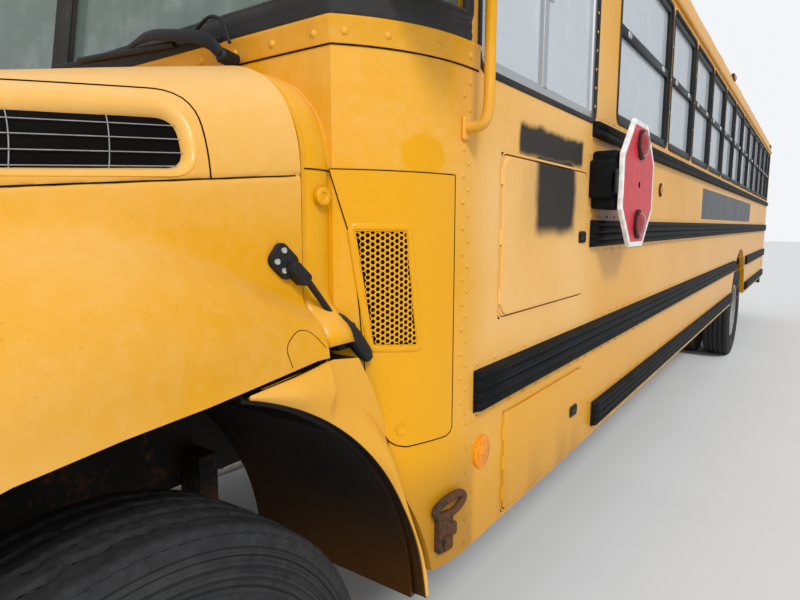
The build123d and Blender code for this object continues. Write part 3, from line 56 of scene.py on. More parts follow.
# The main places of the model, in metres, as in its source
SIDE_Y = 1.219
FRONT_AXLE = np.array([4.905, 0.0, 0.505])
REAR_AXLE = np.array([-2.205, 0.0, 0.505])
WALL_FRONT_X = 4.064
COWL_X = 4.405
CORNER_R = 0.49
CORNER_Y = SIDE_Y - CORNER_R
REAR_X = -5.755
WINDOW_REAR_X = 1.999
WINDOW_PITCH = 0.705
WINDOW_Z = (1.855, 2.525)
DRIVER_X = (3.19, 4.044)
DRIVER_Z = (1.815, 2.525)
ROOF_EDGE_Z = 2.576
ROOF_TOP_Z = 3.100
ROOF_CORNER_R = 0.420
FENDER_LIP_R = 0.697
FRONT_LAMP_X = 4.268
BENCHES = 11
BACK_BASE_Z = 1.39


# ---- shader building


class Link:
    """A socket of a material. Sums, differences, products, quotients and powers of links add Math nodes."""

    def __init__(self, tree, socket):
        self.tree = tree
        self.socket = socket

    def math(self, operation, *values):
        return self.tree.node("ShaderNodeMath", {"operation": operation}, dict(enumerate(values)))

    def __add__(self, other):
        return self.math("ADD", self, other)

    def __radd__(self, other):
        return self.math("ADD", other, self)

    def __sub__(self, other):
        return self.math("SUBTRACT", self, other)

    def __rsub__(self, other):
        return self.math("SUBTRACT", other, self)

    def __mul__(self, other):
        return self.math("MULTIPLY", self, other)

    def __rmul__(self, other):
        return self.math("MULTIPLY", other, self)

    def __truediv__(self, other):
        return self.math("DIVIDE", self, other)

    def __pow__(self, other):
        return self.math("POWER", self, other)

    def __abs__(self):
        return self.math("ABSOLUTE", self)

    def lowest(self, other):
        return self.math("MINIMUM", self, other)

    def highest(self, other):
        return self.math("MAXIMUM", self, other)

    def step(self, low, high):
        """0 under low, 1 over high and a smooth rise between them."""
        settings = {"interpolation_type": "SMOOTHSTEP"}
        return self.tree.node("ShaderNodeMapRange", settings,
                              {"Value": self, "From Min": low, "From Max": high})


class Finish:
    """A material with one Principled shader, whose nodes are added by node()."""

    def __init__(self, name, **uniform):
        self.material = bpy.data.materials.new(name)
        self.material.use_nodes = True
        self.nodes = self.material.node_tree.nodes
        self.links = self.material.node_tree.links
        self.shader = self.nodes["Principled BSDF"]
        for socket, value in uniform.items():
            self.shader.inputs[socket.replace("_", " ")].default_value = value

    def node(self, kind, settings=None, inputs=None, output=0):
        """Adds a node: its settings first, then the values or links of its
        sockets, and returns one output."""
        made = self.nodes.new(kind)
        for key, value in (settings or {}).items():
            setattr(made, key, value)
        for key, value in (inputs or {}).items():
            if isinstance(value, Link):
                self.links.new(value.socket, made.inputs[key])
            else:
                made.inputs[key].default_value = value
        return Link(self, made.outputs[output])

    def place(self, output="Object"):
        return self.node("ShaderNodeTexCoord", output=output)

    def axes(self, vector=None):
        """The X, Y and Z of a place as three links."""
        vector = vector or self.place()
        split = self.nodes.new("ShaderNodeSeparateXYZ")
        self.links.new(vector.socket, split.inputs[0])
        return [Link(self, out) for out in split.outputs]

    def normal(self, axis):
        """How far a face looks along X, Y or Z, by the axis's number."""
        return self.axes(self.node("ShaderNodeNewGeometry", output=1))[axis]

    def noise(self, scale, detail=3.0, vector=None, stretch=None, roughness=0.5):
        vector = vector or self.place()
        if stretch:
            vector = self.node("ShaderNodeMapping", None, {"Vector": vector, "Scale": stretch})
        return self.node(
            "ShaderNodeTexNoise", None,
            {"Vector": vector, "Scale": scale, "Detail": detail, "Roughness": roughness}
        )

    def mix(self, factor, first, second):
        """The second colour over the first, by factor."""
        made = self.nodes.new("ShaderNodeMix")
        made.data_type = "RGBA"
        for index, value in ((0, factor), (6, first), (7, second)):
            if isinstance(value, Link):
                self.links.new(value.socket, made.inputs[index])
            elif index:
                made.inputs[index].default_value = (*value[:3], 1.0)
            else:
                made.inputs[index].default_value = value
        return Link(self, made.outputs[2])

    def bump(self, height, strength=0.3, distance=0.002, under=None):
        inputs = {"Height": height, "Strength": strength, "Distance": distance}
        if under:
            inputs["Normal"] = under
        return self.node("ShaderNodeBump", None, inputs)

    def give(self, **links):
        """Feeds sockets of the shader and returns the material."""
        for socket, value in links.items():
            self.links.new(value.socket, self.shader.inputs[socket.replace("_", " ")])
        return self.material


# ---- shapes: each is a function of two parameters, worked out as whole arrays


def grid_faces(rows, columns, close_rows=False, close_columns=False):
    """Quads between neighbouring points of a grid, as an array of corner indexes."""
    i = np.arange(rows if close_rows else rows - 1)
    j = np.arange(columns if close_columns else columns - 1)
    a, b = np.meshgrid(i, j, indexing="ij")
    a2, b2 = (a + 1) % rows, (b + 1) % columns
    quads = [a * columns + b, a2 * columns + b, a2 * columns + b2, a * columns + b2]
    return np.stack(quads, -1).reshape(-1, 4)


def joined(shapes):
    """Several (points, faces) as one; faces may be arrays of quads or lists of loops."""
    points, faces, base = [], [], 0
    for p, f in shapes:
        p = np.asarray(p, float).reshape(-1, 3)
        points.append(p)
        faces.extend((np.asarray(loop) + base).tolist() for loop in f)
        base += len(p)
    return np.vstack(points), faces


def cleaned(mesh, merge=1e-5, turn=True):
    """Merges points closer than merge and turns the faces outward."""
    work = bmesh.new()
    work.from_mesh(mesh)
    if merge:
        bmesh.ops.remove_doubles(work, verts=work.verts, dist=merge)
    if turn:
        bmesh.ops.recalc_face_normals(work, faces=work.faces)
    work.to_mesh(mesh)
    work.free()
    return mesh


def points_of(mesh):
    """The places of a mesh's vertices, a row for each."""
    points = np.zeros(len(mesh.vertices) * 3)
    mesh.vertices.foreach_get("co", points)
    return points.reshape(-1, 3)


def piece(name, shape, key, body="body", slot=None, replaces=(), smooth=35.0, outward=False):
    """Puts (points, faces) into a new mesh object with the finish of that key, which rides on a body."""
    points, faces = shape
    mesh = bpy.data.meshes.new(name)
    mesh.from_pydata(np.asarray(points, float).reshape(-1, 3).tolist(), [], [list(f) for f in faces])
    mesh.validate()
    if outward:
        cleaned(mesh)
    obj = bpy.data.objects.new(name, mesh)
    bpy.context.scene.collection.objects.link(obj)
    mesh.materials.append(FINISHES[key])
    if smooth:
        mesh.shade_smooth()
        mesh.set_sharp_from_angle(angle=radians(smooth))
    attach(obj, body)
    if replaces:
        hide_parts(*replaces)
    return obj


def fit(body, *rows):
    """Joins and fits pieces: each row has a name, shapes, a finish, a slot and the
    CAD nodes that it stands for."""
    for name, shapes, key, slot, *nodes in rows:
        piece(name, joined(shapes), key, body, slot, tuple(nodes), outward=True)


def spread(x, y, z):
    """Points whose coordinates are arrays or single numbers."""
    return np.stack(np.broadcast_arrays(x, y, z), -1).astype(float)


def modified(obj, kind, **settings):
    """Applies a modifier at once, so that the mesh is the finished one."""
    mod = obj.modifiers.new(kind.title(), kind)
    for key, value in settings.items():
        setattr(mod, key, value)
    graph = bpy.context.evaluated_depsgraph_get()
    mesh = bpy.data.meshes.new_from_object(obj.evaluated_get(graph))
    obj.modifiers.clear()
    obj.data = mesh
    return obj


def block(low, high, r=0.004, arc=3):
    """A box with round edges: the unit sphere's points, each moved out to the box's corner of its own octant.

    point = centre + sign(n) * (half - r) + r * n, for a normal n at longitude u and latitude v; the
    samples stand twice at each quarter turn, once for the octant on each side, and the flat faces lie
    between them."""
    low, high = np.minimum(low, high), np.maximum(low, high)
    half = (high - low) / 2
    r = min(r, half.min() * 0.98)
    quarter = np.linspace(0.0, pi / 2, arc + 1)
    u = np.concatenate([quarter + k * pi / 2 for k in range(4)])
    su = np.concatenate([np.full(arc + 1, k) for k in range(4)])
    v = np.concatenate([quarter - pi / 2, quarter])
    sv = np.concatenate([np.full(arc + 1, -1.0), np.full(arc + 1, 1.0)])
    cx = np.array([1, -1, -1, 1])[su]
    cy = np.array([1, 1, -1, -1])[su]
    v, sv = v[:, None], sv[:, None]
    n = spread(np.cos(v) * np.cos(u), np.cos(v) * np.sin(u), np.sin(v))
    sign = spread(cx, cy, sv)
    points = (low + high) / 2 + sign * (half - r) + r * n
    rows, columns = points.shape[:2]
    faces = grid_faces(rows, columns, False, True)
    caps = [list(range(columns))[::-1], [(rows - 1) * columns + k for k in range(columns)]]
    return points.reshape(-1, 3), [list(f) for f in faces] + caps


def turn_about(profile, centre, axis, steps=64):
    """A profile of (distance along the axis, radius) turned about it.

    point = centre + a * axis + radius * (cos t * side + sin t * up)."""
    profile = np.asarray(profile, float)
    axis = np.asarray(axis, float) / np.linalg.norm(axis)
    side = np.cross(axis, [0.0, 0.0, 1.0]) if abs(axis[2]) < 0.9 else np.array([1.0, 0.0, 0.0])
    side /= np.linalg.norm(side)
    up = np.cross(axis, side)
    t = np.linspace(0.0, 2 * pi, steps, endpoint=False)
    ring = np.cos(t)[:, None] * side + np.sin(t)[:, None] * up
    points = np.asarray(centre, float) + profile[:, 0, None, None] * axis + profile[:, 1, None, None] * ring
    faces = [list(f) for f in grid_faces(len(profile), steps, False, True)]
    for row, order in ((0, -1), (len(profile) - 1, 1)):
        if profile[row, 1] > 1e-6:
            faces.append([row * steps + k for k in range(steps)][::order])
    return points.reshape(-1, 3), faces


def tube(path, radius, sides=10, closed=False, squash=1.0):
    """A circle carried along a path; point = path + radius * (cos t * normal + squash * sin t * binormal)."""
    path = np.asarray(path, float)
    ahead = np.roll(path, -1, 0) - np.roll(path, 1, 0)
    if not closed:
        ahead[0], ahead[-1] = path[1] - path[0], path[-1] - path[-2]
    ahead /= np.linalg.norm(ahead, axis=1)[:, None]
    normal = np.zeros_like(path)
    guide = np.array([0.0, 0.0, 1.0]) if abs(ahead[0][2]) < 0.9 else np.array([1.0, 0.0, 0.0])
    for k in range(len(path)):
        guide = guide - ahead[k] * guide.dot(ahead[k])
        guide /= np.linalg.norm(guide)
        normal[k] = guide
    across = np.cross(ahead, normal)
    t = np.linspace(0.0, 2 * pi, sides, endpoint=False)
    radius = np.broadcast_to(np.asarray(radius, float), (len(path),))
    ring = np.cos(t)[None, :, None] * normal[:, None] + squash * np.sin(t)[None, :, None] * across[:, None]
    points = path[:, None] + radius[:, None, None] * ring
    faces = [list(f) for f in grid_faces(len(path), sides, closed, True)]
    if not closed:
        faces += [list(range(sides)), [(len(path) - 1) * sides + k for k in range(sides)][::-1]]
    return points.reshape(-1, 3), faces


def bent(corners, radius, arc=6):
    """A path through corners with each one rounded by a quadratic curve that starts radius before it."""
    corners = np.asarray(corners, float)
    out = [corners[0][None]]
    t = np.linspace(0.0, 1.0, arc + 1)[:, None]
    for before, at, after in zip(corners[:-2], corners[1:-1], corners[2:]):
        reach_in = min(radius, 0.49 * np.linalg.norm(before - at))
        reach_out = min(radius, 0.49 * np.linalg.norm(after - at))
        start = at + (before - at) / np.linalg.norm(before - at) * reach_in
        end = at + (after - at) / np.linalg.norm(after - at) * reach_out
        out.append((1 - t) ** 2 * start + 2 * t * (1 - t) * at + t**2 * end)
    out.append(corners[-1][None])
    return np.vstack(out)


def ring_of(outline, offsets, place):
    """A closed outline carried through offsets (inset, height).

    point = place(outline moved in by inset, height); the outline's points are (a, b), moved along
    their inward normals, and place puts (a, b, height) into the model."""
    outline = np.asarray(outline, float)
    along = np.roll(outline, -1, 0) - np.roll(outline, 1, 0)
    along /= np.linalg.norm(along, axis=1)[:, None] + 1e-12
    inward = np.stack([-along[:, 1], along[:, 0]], -1)
    rows = [place(outline + inset * inward, height) for inset, height in offsets]
    points = np.stack(rows)
    return points, grid_faces(len(rows), len(outline), False, True)


def rounded(a, b, r, arc=6):
    """A rectangle from a to b (low and high corners in two axes) with round corners, anticlockwise."""
    r = min(r, 0.49 * abs(b[0] - a[0]), 0.49 * abs(b[1] - a[1]))
    t = np.linspace(0.0, pi / 2, arc + 1)
    corners = ((b[0] - r, b[1] - r, 0), (a[0] + r, b[1] - r, 1), (a[0] + r, a[1] + r, 2),
               (b[0] - r, a[1] + r, 3))
    arcs = [(x + r * np.cos(t + k * pi / 2), z + r * np.sin(t + k * pi / 2)) for x, z, k in corners]
    return np.hstack(arcs).T


def plate(outline, thick, place, edge=0.002):
    """A flat plate of an outline with round edges, standing thick off its back; place is as in ring_of."""
    offsets = [(0.0, 0.0), (0.0, thick - edge), (0.3 * edge, thick - 0.3 * edge), (edge, thick)]
    points, faces = ring_of(outline, offsets, place)
    n = len(outline)
    lids = [[3 * n + k for k in range(n)], list(range(n))[::-1]]
    return points.reshape(-1, 3), [list(f) for f in faces] + lids


def on_side(side, y=SIDE_Y):
    """Puts (x, z, height) on the bus's side wall, height outward."""

    def place(ab, height):
        return spread(ab[:, 0], side * (y + height), ab[:, 1])

    return place


def on_rear(ab, height):
    """Puts (y, z, height) on the rear wall, height rearward."""
    return spread(REAR_X - height, *ab.T)


def domes(places, normals, radius, height, sides=8):
    """Round heads: one dome at each place, point = place + r cos t * a + r sin t *
    b + h * normal, for two rings and a top."""
    places, normals = np.atleast_2d(places).astype(float), np.atleast_2d(normals).astype(float)
    normals = np.broadcast_to(normals, places.shape)
    normals = normals / np.linalg.norm(normals, axis=1)[:, None]
    guide = np.where(np.abs(normals[:, 2:3]) < 0.9, [[0.0, 0.0, 1.0]], [[1.0, 0.0, 0.0]])
    a = np.cross(guide, normals)
    a /= np.linalg.norm(a, axis=1)[:, None]
    b = np.cross(normals, a)
    t = np.linspace(0.0, 2 * pi, sides, endpoint=False)
    rings = []
    for share, lift in ((1.0, -0.1), (0.8, 0.65)):
        ring = np.cos(t)[None, :, None] * a[:, None] + np.sin(t)[None, :, None] * b[:, None]
        rings.append(places[:, None] + radius * share * ring + height * lift * normals[:, None])
    top = (places + height * normals)[:, None]
    points = np.concatenate([*rings, top], 1)
    quads = np.array([[k, (k + 1) % sides, sides + (k + 1) % sides, sides + k] for k in range(sides)])
    tris = np.array([[sides + k, sides + (k + 1) % sides, 2 * sides] for k in range(sides)])
    base = np.arange(len(places))[:, None, None] * (2 * sides + 1)
    faces = (quads[None] + base).reshape(-1, 4).tolist() + (tris[None] + base).reshape(-1, 3).tolist()
    return points.reshape(-1, 3), faces


def row_of(start, end, pitch):
    """Evenly spaced places from start to end, about pitch apart."""
    start, end = np.asarray(start, float), np.asarray(end, float)
    count = max(2, int(round(np.linalg.norm(end - start) / pitch)) + 1)
    return start + (end - start) * np.linspace(0.0, 1.0, count)[:, None]


def on_cowl(side, stand=0.0):
    """Puts (distance round the corner from its rear seam, z, height) on the cowl's corner."""

    def place(ab, height):
        angle = ab[:, 0] / CORNER_R
        r = CORNER_R + stand + height
        x = WALL_FRONT_X + r * np.sin(np.clip(angle, 0.0, None)) + np.minimum(ab[:, 0], 0.0)
        y = CORNER_Y + r * np.cos(np.clip(angle, 0.0, None))
        return np.stack([x, side * y, ab[:, 1]], -1)

    return place


# ---- sizes and colours that a user may change


def size(name, description, default, low=0.0, high=1.0):
    return bpy.props.FloatProperty(
        name=name, description=description, default=default, min=low, max=high, unit="LENGTH"
    )


def colour(name, description, default):
    return bpy.props.FloatVectorProperty(
        name=name, description=description, default=default, min=0.0, max=1.0, size=3, subtype="COLOR"
    )


class BusSizes(bpy.types.PropertyGroup):
    rivet: size("Rivet radius", "Radius of the round rivet heads", 0.0058, 0.002, 0.02)
    rivet_pitch: size("Rivet pitch", "Distance between the rivets of a row", 0.075, 0.02, 0.3)
    gasket: size("Gasket width", "Width of the rubber round each window", 0.016, 0.005, 0.04)
    groove: size("Tread groove", "Depth of the grooves in the tyre tread", 0.012, 0.0, 0.02)
    padding: size("Seat padding", "How far the seat cushions swell", 0.018, 0.0, 0.05)
    seam: size("Panel seam", "Depth of the seams pressed into the hood", 0.004, 0.0, 0.01)


class BusColours(bpy.types.PropertyGroup):
    paint: colour("Paint", "Body yellow", (0.71, 0.325, 0.002))
    # Also the paler yellow that paints light on faces turned up and high on the hood's side.
    faded_and_lit: colour("Faded paint", "Paint that sun and washing have made pale", (0.80, 0.475, 0.165))
    # Also the colour of the darkening low on the body and of the painted shade on the cowl's lower corner.
    dirt_and_shade: colour("Dirt", "Road film on low panels", (0.20, 0.095, 0.02))
    black: colour("Black paint", "Rub rails, frames and bumpers", (0.007, 0.008, 0.009))
    rubber: colour("Rubber", "Tyres and gaskets", (0.018, 0.018, 0.019))
    rust: colour("Rust", "Bare and rusty steel", (0.12, 0.045, 0.02))
    sign: colour("Sign red", "Face of the stop sign", (0.55, 0.02, 0.03))
    white: colour("White", "Sign border and reflective tape", (0.80, 0.80, 0.78))
    amber: colour("Amber", "Warning lamps and reflectors", (0.85, 0.30, 0.01))
    lamp: colour("Lamp red", "Tail lamps", (0.38, 0.012, 0.012))
    seat: colour("Seat vinyl", "Benches", (0.045, 0.09, 0.06))
    rim: colour("Rim", "Wheel discs", (0.36, 0.36, 0.34))
    ground: colour("Floor", "Floor of the stage", (0.72, 0.72, 0.71))


def sizes():
    """The sizes in the panel."""
    return bpy.context.scene.bus_sizes


def colours():
    """The colours in the panel."""
    return bpy.context.scene.bus_colours


def box_mask(x, y, z, low, high, soft):
    """1 inside a box in X, Y and Z, falling to 0 over soft beyond it."""
    mask = None
    for axis, a, b in zip((x, y, z), low, high):
        if a is None:
            continue
        side = axis.step(a - soft, a + soft) * (1.0 - axis.step(b - soft, b + soft))
        mask = side if mask is None else mask * side
    return mask


def paint_finish(name, marks=False, hood=False, fresh=False):
    """Yellow enamel: two yellows in broad clouds, fine mottling, painted light on faces turned up and high on
    the hood's side, runs of grime below edges, darker towards the bottom, painted shade on the cowl's lower
    corner."""
    c = colours()
    made = Finish(name, Coat_Roughness=0.12, Specular_IOR_Level=0.18)
    x, y, z = made.axes()
    clouds = made.noise(1.7, 4.0)
    fine = made.noise(38.0, 5.0, roughness=0.62)
    streaks = made.noise(9.0, 4.0, stretch=(1.0, 1.0, 0.12))
    top = made.normal(2)
    # Paler in broad clouds and fine mottling, and on faces turned up as painted light.
    paleness_and_light = clouds.step(0.35, 0.70) * 0.40 + top.step(0.3, 0.95) * 0.35 + fine.step(0.35, 0.8) * 0.18 - 0.06
    # Darker towards the bottom, in streaks, with fine dark specks.
    film = (1.0 - z.step(0.58, 0.90)) * (0.30 + streaks.step(0.42, 0.72) * 0.35)
    film = film + fine.step(0.58, 0.82) * 0.04
    if fresh:
        paleness_and_light = (paleness_and_light * 0.2).highest(0.0)
    elif hood:
        # Painted highlight: the hood's side is paler higher up, where the light falls on it.
        paleness_and_light = (paleness_and_light + 0.62 * z.step(1.36, 1.64)).highest(0.0)
    else:
        spot = ((x - 4.232) / 0.046) ** 2 + ((z - 1.597) / 0.036) ** 2 + (clouds - 0.5) * 1.6
        spot = (1.0 - (spot.highest(0.0) ** 0.5).step(0.45, 1.45)) * y.step(1.1, 1.15)
        doors = x.step(3.0, 3.4) * (1.0 - x.step(3.95, 4.12)) * z.step(0.95, 1.2)
        # Painted shade: the cowl's lower corner, ahead of the side wall, darkened low down where it turns
        # from the light.
        film = film + 0.40 * (1.0 - z.step(0.80, 0.97)) * x.step(4.02, 4.07)
        rear = 0.30 * (1.0 - x.step(-3.0, 2.0)) * z.step(1.2, 1.5)
        paleness_and_light = (paleness_and_light + 0.55 * doors + rear - 0.25 * (1.0 - z.step(0.7, 1.1)) - spot).highest(0.0)
    base = made.mix(paleness_and_light.lowest(1.0), tuple(c.paint), tuple(c.faded_and_lit))
    runs = streaks.step(0.56, 0.74) * z.step(1.0, 1.9) * 0.10
    # Runs of grime, the darkening low down and the painted shade, all in one brown.
    base = made.mix((film + runs).lowest(0.6), base, tuple(c.dirt_and_shade))
    specks = made.noise(260.0, 2.0).step(0.70, 0.74) * 0.35
    base = made.mix(specks, base, (0.22, 0.12, 0.04))
    rough = 0.30 + 0.16 * paleness_and_light + 0.22 * film + 0.05 * fine
    if marks:
        left = y.step(1.19, 1.2)
        edge = (made.noise(11.0, 3.0) - 0.5) * 0.035
        wide = box_mask(x + edge, y, z + edge, (3.29, None, 1.640), (3.815, None, 1.724), 0.012)
        low = box_mask(x + edge, y, z + edge, (3.375, None, 1.428), (3.70, None, 1.660), 0.026)
        name_bar = box_mask(x, y, z, (-2.943, None, 1.496), (0.709, None, 1.710), 0.002)
        soot = (wide.highest(low) * left).lowest(1.0)
        halo = box_mask(x + edge, y, z, (3.30, None, 1.44), (3.78, None, 1.72), 0.075) * left * 0.20
        base = made.mix(halo, base, (0.20, 0.14, 0.07))
        base = made.mix(name_bar * left, base, (0.020, 0.022, 0.026))
        base = made.mix(soot * 0.97, base, (0.013, 0.016, 0.020))
        rough = rough + soot * 0.25
        made.give(Coat_Weight=(1.0 - soot) * 0.15)
    else:
        made.shader.inputs["Coat Weight"].default_value = 0.15
    ripple = made.bump(made.noise(320.0, 1.0), 0.05, 0.0006)
    made.give(Base_Color=base, Roughness=rough, Normal=made.bump(made.noise(3.2, 2.0), 0.14, 0.02, ripple))
    return made.material


def worn_finish(name, tint, rough=0.4, grain=60.0, dust=0.12, worn=None, amount=0.0, bump=0.12,
                coat=0.0, shine=0.2):
    """A plain coat with mottled shade, dust that lies on faces turned up, and worn
    patches of another colour."""
    made = Finish(name, Coat_Weight=coat, Coat_Roughness=0.15, Specular_IOR_Level=shine)
    tint = np.array(tint[:3])
    mottle = made.noise(grain, 5.0, roughness=0.6)
    broad = made.noise(4.0, 3.0)
    base = made.mix(mottle.step(0.3, 0.75), tuple(tint * 0.82), tuple(np.minimum(tint * 1.22, 1.0)))
    up = made.normal(2)
    settled = (up.step(0.2, 0.95) * 0.7 + 0.3) * broad.step(0.3, 0.75) * dust
    base = made.mix(settled, base, (0.30, 0.27, 0.22))
    if worn is not None:
        patch = (mottle * 0.5 + broad * 0.5).step(0.60 - amount, 0.66 - amount * 0.5)
        base = made.mix(patch, base, tuple(worn[:3]))
    dull = rough * 0.85 + 0.3 * rough * mottle + 0.35 * settled
    return made.give(Base_Color=base, Roughness=dull.lowest(1.0), Normal=made.bump(mottle, bump, 0.001))


def lip_finish(name, reach):
    """The yellow of a fender lip on faces that look sideways beyond a radius from
    the front axle; elsewhere painted shade inside the arch, near black and dark orange low down."""
    c = colours()
    made = Finish(name, Specular_IOR_Level=0.2)
    across = made.normal(1)
    x, _, z = made.axes()
    out = ((x - FRONT_AXLE[0]) ** 2 + (z - FRONT_AXLE[2]) ** 2) ** 0.5
    base = made.mix(made.noise(1.7, 4.0).step(0.35, 0.7) * 0.4 + 0.2, tuple(c.paint), tuple(c.faded_and_lit))
    # Painted shade inside the arch: near black, turning dark orange low down, where the yellow lies in
    # shadow.
    orange_shade_low = 1.0 - (z + 0.3 * (made.noise(2.5, 3.0) - 0.5)).step(0.55, 1.0)
    inside = made.mix(orange_shade_low, (0.009, 0.006, 0.004), (0.060, 0.022, 0.003))
    base = made.mix(abs(across).step(0.15, 0.35) * out.step(reach, reach + 0.002), inside, base)
    return made.give(Base_Color=base, Roughness=0.35 + 0.2 * made.noise(38.0))


def glass_finish(name, tint=(0.68, 0.74, 0.79), alpha=0.64):
    """Tinted safety glass: see-through, with a faint film of dust and water marks; its colour is the glass's
    tint and partly a painted reflection.
    """
    made = Finish(name, Metallic=0.0, IOR=1.5, Specular_IOR_Level=0.85)
    film = made.noise(7.0, 5.0, roughness=0.65).step(0.42, 0.8)
    spots = made.noise(90.0, 2.0).step(0.66, 0.74)
    base = made.mix(film * 0.35 + spots * 0.15, tint, (0.45, 0.46, 0.45))
    made.give(Base_Color=base, Roughness=0.03 + 0.10 * film,
              Alpha=(alpha + 0.16 * film + 0.06 * spots).lowest(1.0))
    return made.material


def lens_finish(name, tint, dots=170.0):
    """A moulded lamp lens: clear colour over small prisms."""
    made = Finish(name, Roughness=0.12, Coat_Weight=0.8, Coat_Roughness=0.05, IOR=1.49)
    tint = np.array(tint[:3])
    prisms = made.node("ShaderNodeTexVoronoi", None,
                       {"Vector": made.place(), "Scale": dots, "Randomness": 0.15})
    base = made.mix(prisms.step(0.1, 0.7), tuple(tint * 1.15), tuple(tint * 0.45))
    return made.give(Base_Color=base, Roughness=0.10 + 0.1 * made.noise(30.0),
                     Normal=made.bump(prisms, 0.35, 0.001))


def tyre_finish(name):
    """Rubber with a greyer, brown-tinged side wall in broad patches, and painted shade: near-black groove
    floors in the tread and thin rings on the side wall.
    """
    c = colours()
    made = Finish(name, Specular_IOR_Level=0.25)
    rubber = np.array(c.rubber)
    mottle = made.noise(45.0, 6.0, roughness=0.65)
    broad = made.noise(5.0, 3.0)
    base = made.mix(mottle.step(0.25, 0.8), tuple(rubber * 0.75), tuple(rubber * 1.7))
    x, _, z = made.axes()
    axle = REAR_AXLE[0] + (FRONT_AXLE[0] - REAR_AXLE[0]) * x.step(0.9, 1.1)
    r = ((x - axle) ** 2 + (z - FRONT_AXLE[2]) ** 2) ** 0.5
    base = made.mix(broad.step(0.42, 0.75) * 0.35 * (1.0 - r.step(0.44, 0.49)), base, (0.075, 0.073, 0.070))
    # Painted shade: the floors of the tread's grooves and thin rings on the side wall, near black.
    across = made.normal(1)
    cut = (1.0 - abs(across).step(0.1, 0.3)) * (1.0 - r.step(0.4935, 0.4985))
    for ring in (0.4665, 0.4545, 0.4395, 0.4215, 0.4075):
        cut = cut.highest(0.8 * (1.0 - abs(r - ring).step(0.0008, 0.0026)))
    base = made.mix(cut, base, (0.003, 0.003, 0.003))
    made.give(Base_Color=base, Roughness=0.62 + 0.2 * mottle, Normal=made.bump(mottle, 0.3, 0.0012))
    return made.material


def vinyl_finish(name, tint):
    """Seat vinyl: fine leather grain in cells, soft sheen, and scuffs."""
    made = Finish(name, IOR=1.48)
    tint = np.array(tint[:3])
    cells = made.node("ShaderNodeTexVoronoi", {"feature": "DISTANCE_TO_EDGE"},
                      {"Vector": made.place(), "Scale": 260.0})
    broad = made.noise(6.0, 4.0)
    base = made.mix(broad.step(0.3, 0.75), tuple(tint * 0.85), tuple(tint * 1.35))
    scuff = made.noise(22.0, 4.0, stretch=(1.0, 4.0, 1.0)).step(0.64, 0.72)
    base = made.mix(scuff * 0.3, base, (0.20, 0.22, 0.19))
    grain = cells.step(0.0, 0.12)
    return made.give(Base_Color=base, Roughness=0.42 + 0.18 * broad, Normal=made.bump(grain, 0.22, 0.0006))


def steel_finish(name, tint=(0.55, 0.56, 0.57), rough=0.3, rust=0.0):
    """Bright or galvanised metal, brushed a little, with rust in patches."""
    c = colours()
    made = Finish(name)
    tint = np.array(tint)
    brushed = made.noise(70.0, 4.0, stretch=(1.0, 1.0, 14.0))
    patch = made.noise(14.0, 6.0, roughness=0.68).step(0.72 - rust, 0.80 - rust * 0.8)
    base = made.mix(brushed, tuple(tint * 0.85), tuple(np.minimum(tint * 1.1, 1.0)))
    base = made.mix(patch, base, tuple(c.rust))
    made.give(
        Base_Color=base, Metallic=1.0 - 0.95 * patch, Roughness=rough + 0.12 * brushed + 0.45 * patch,
        Normal=made.bump(brushed, 0.08, 0.0005),
    )
    return made.material


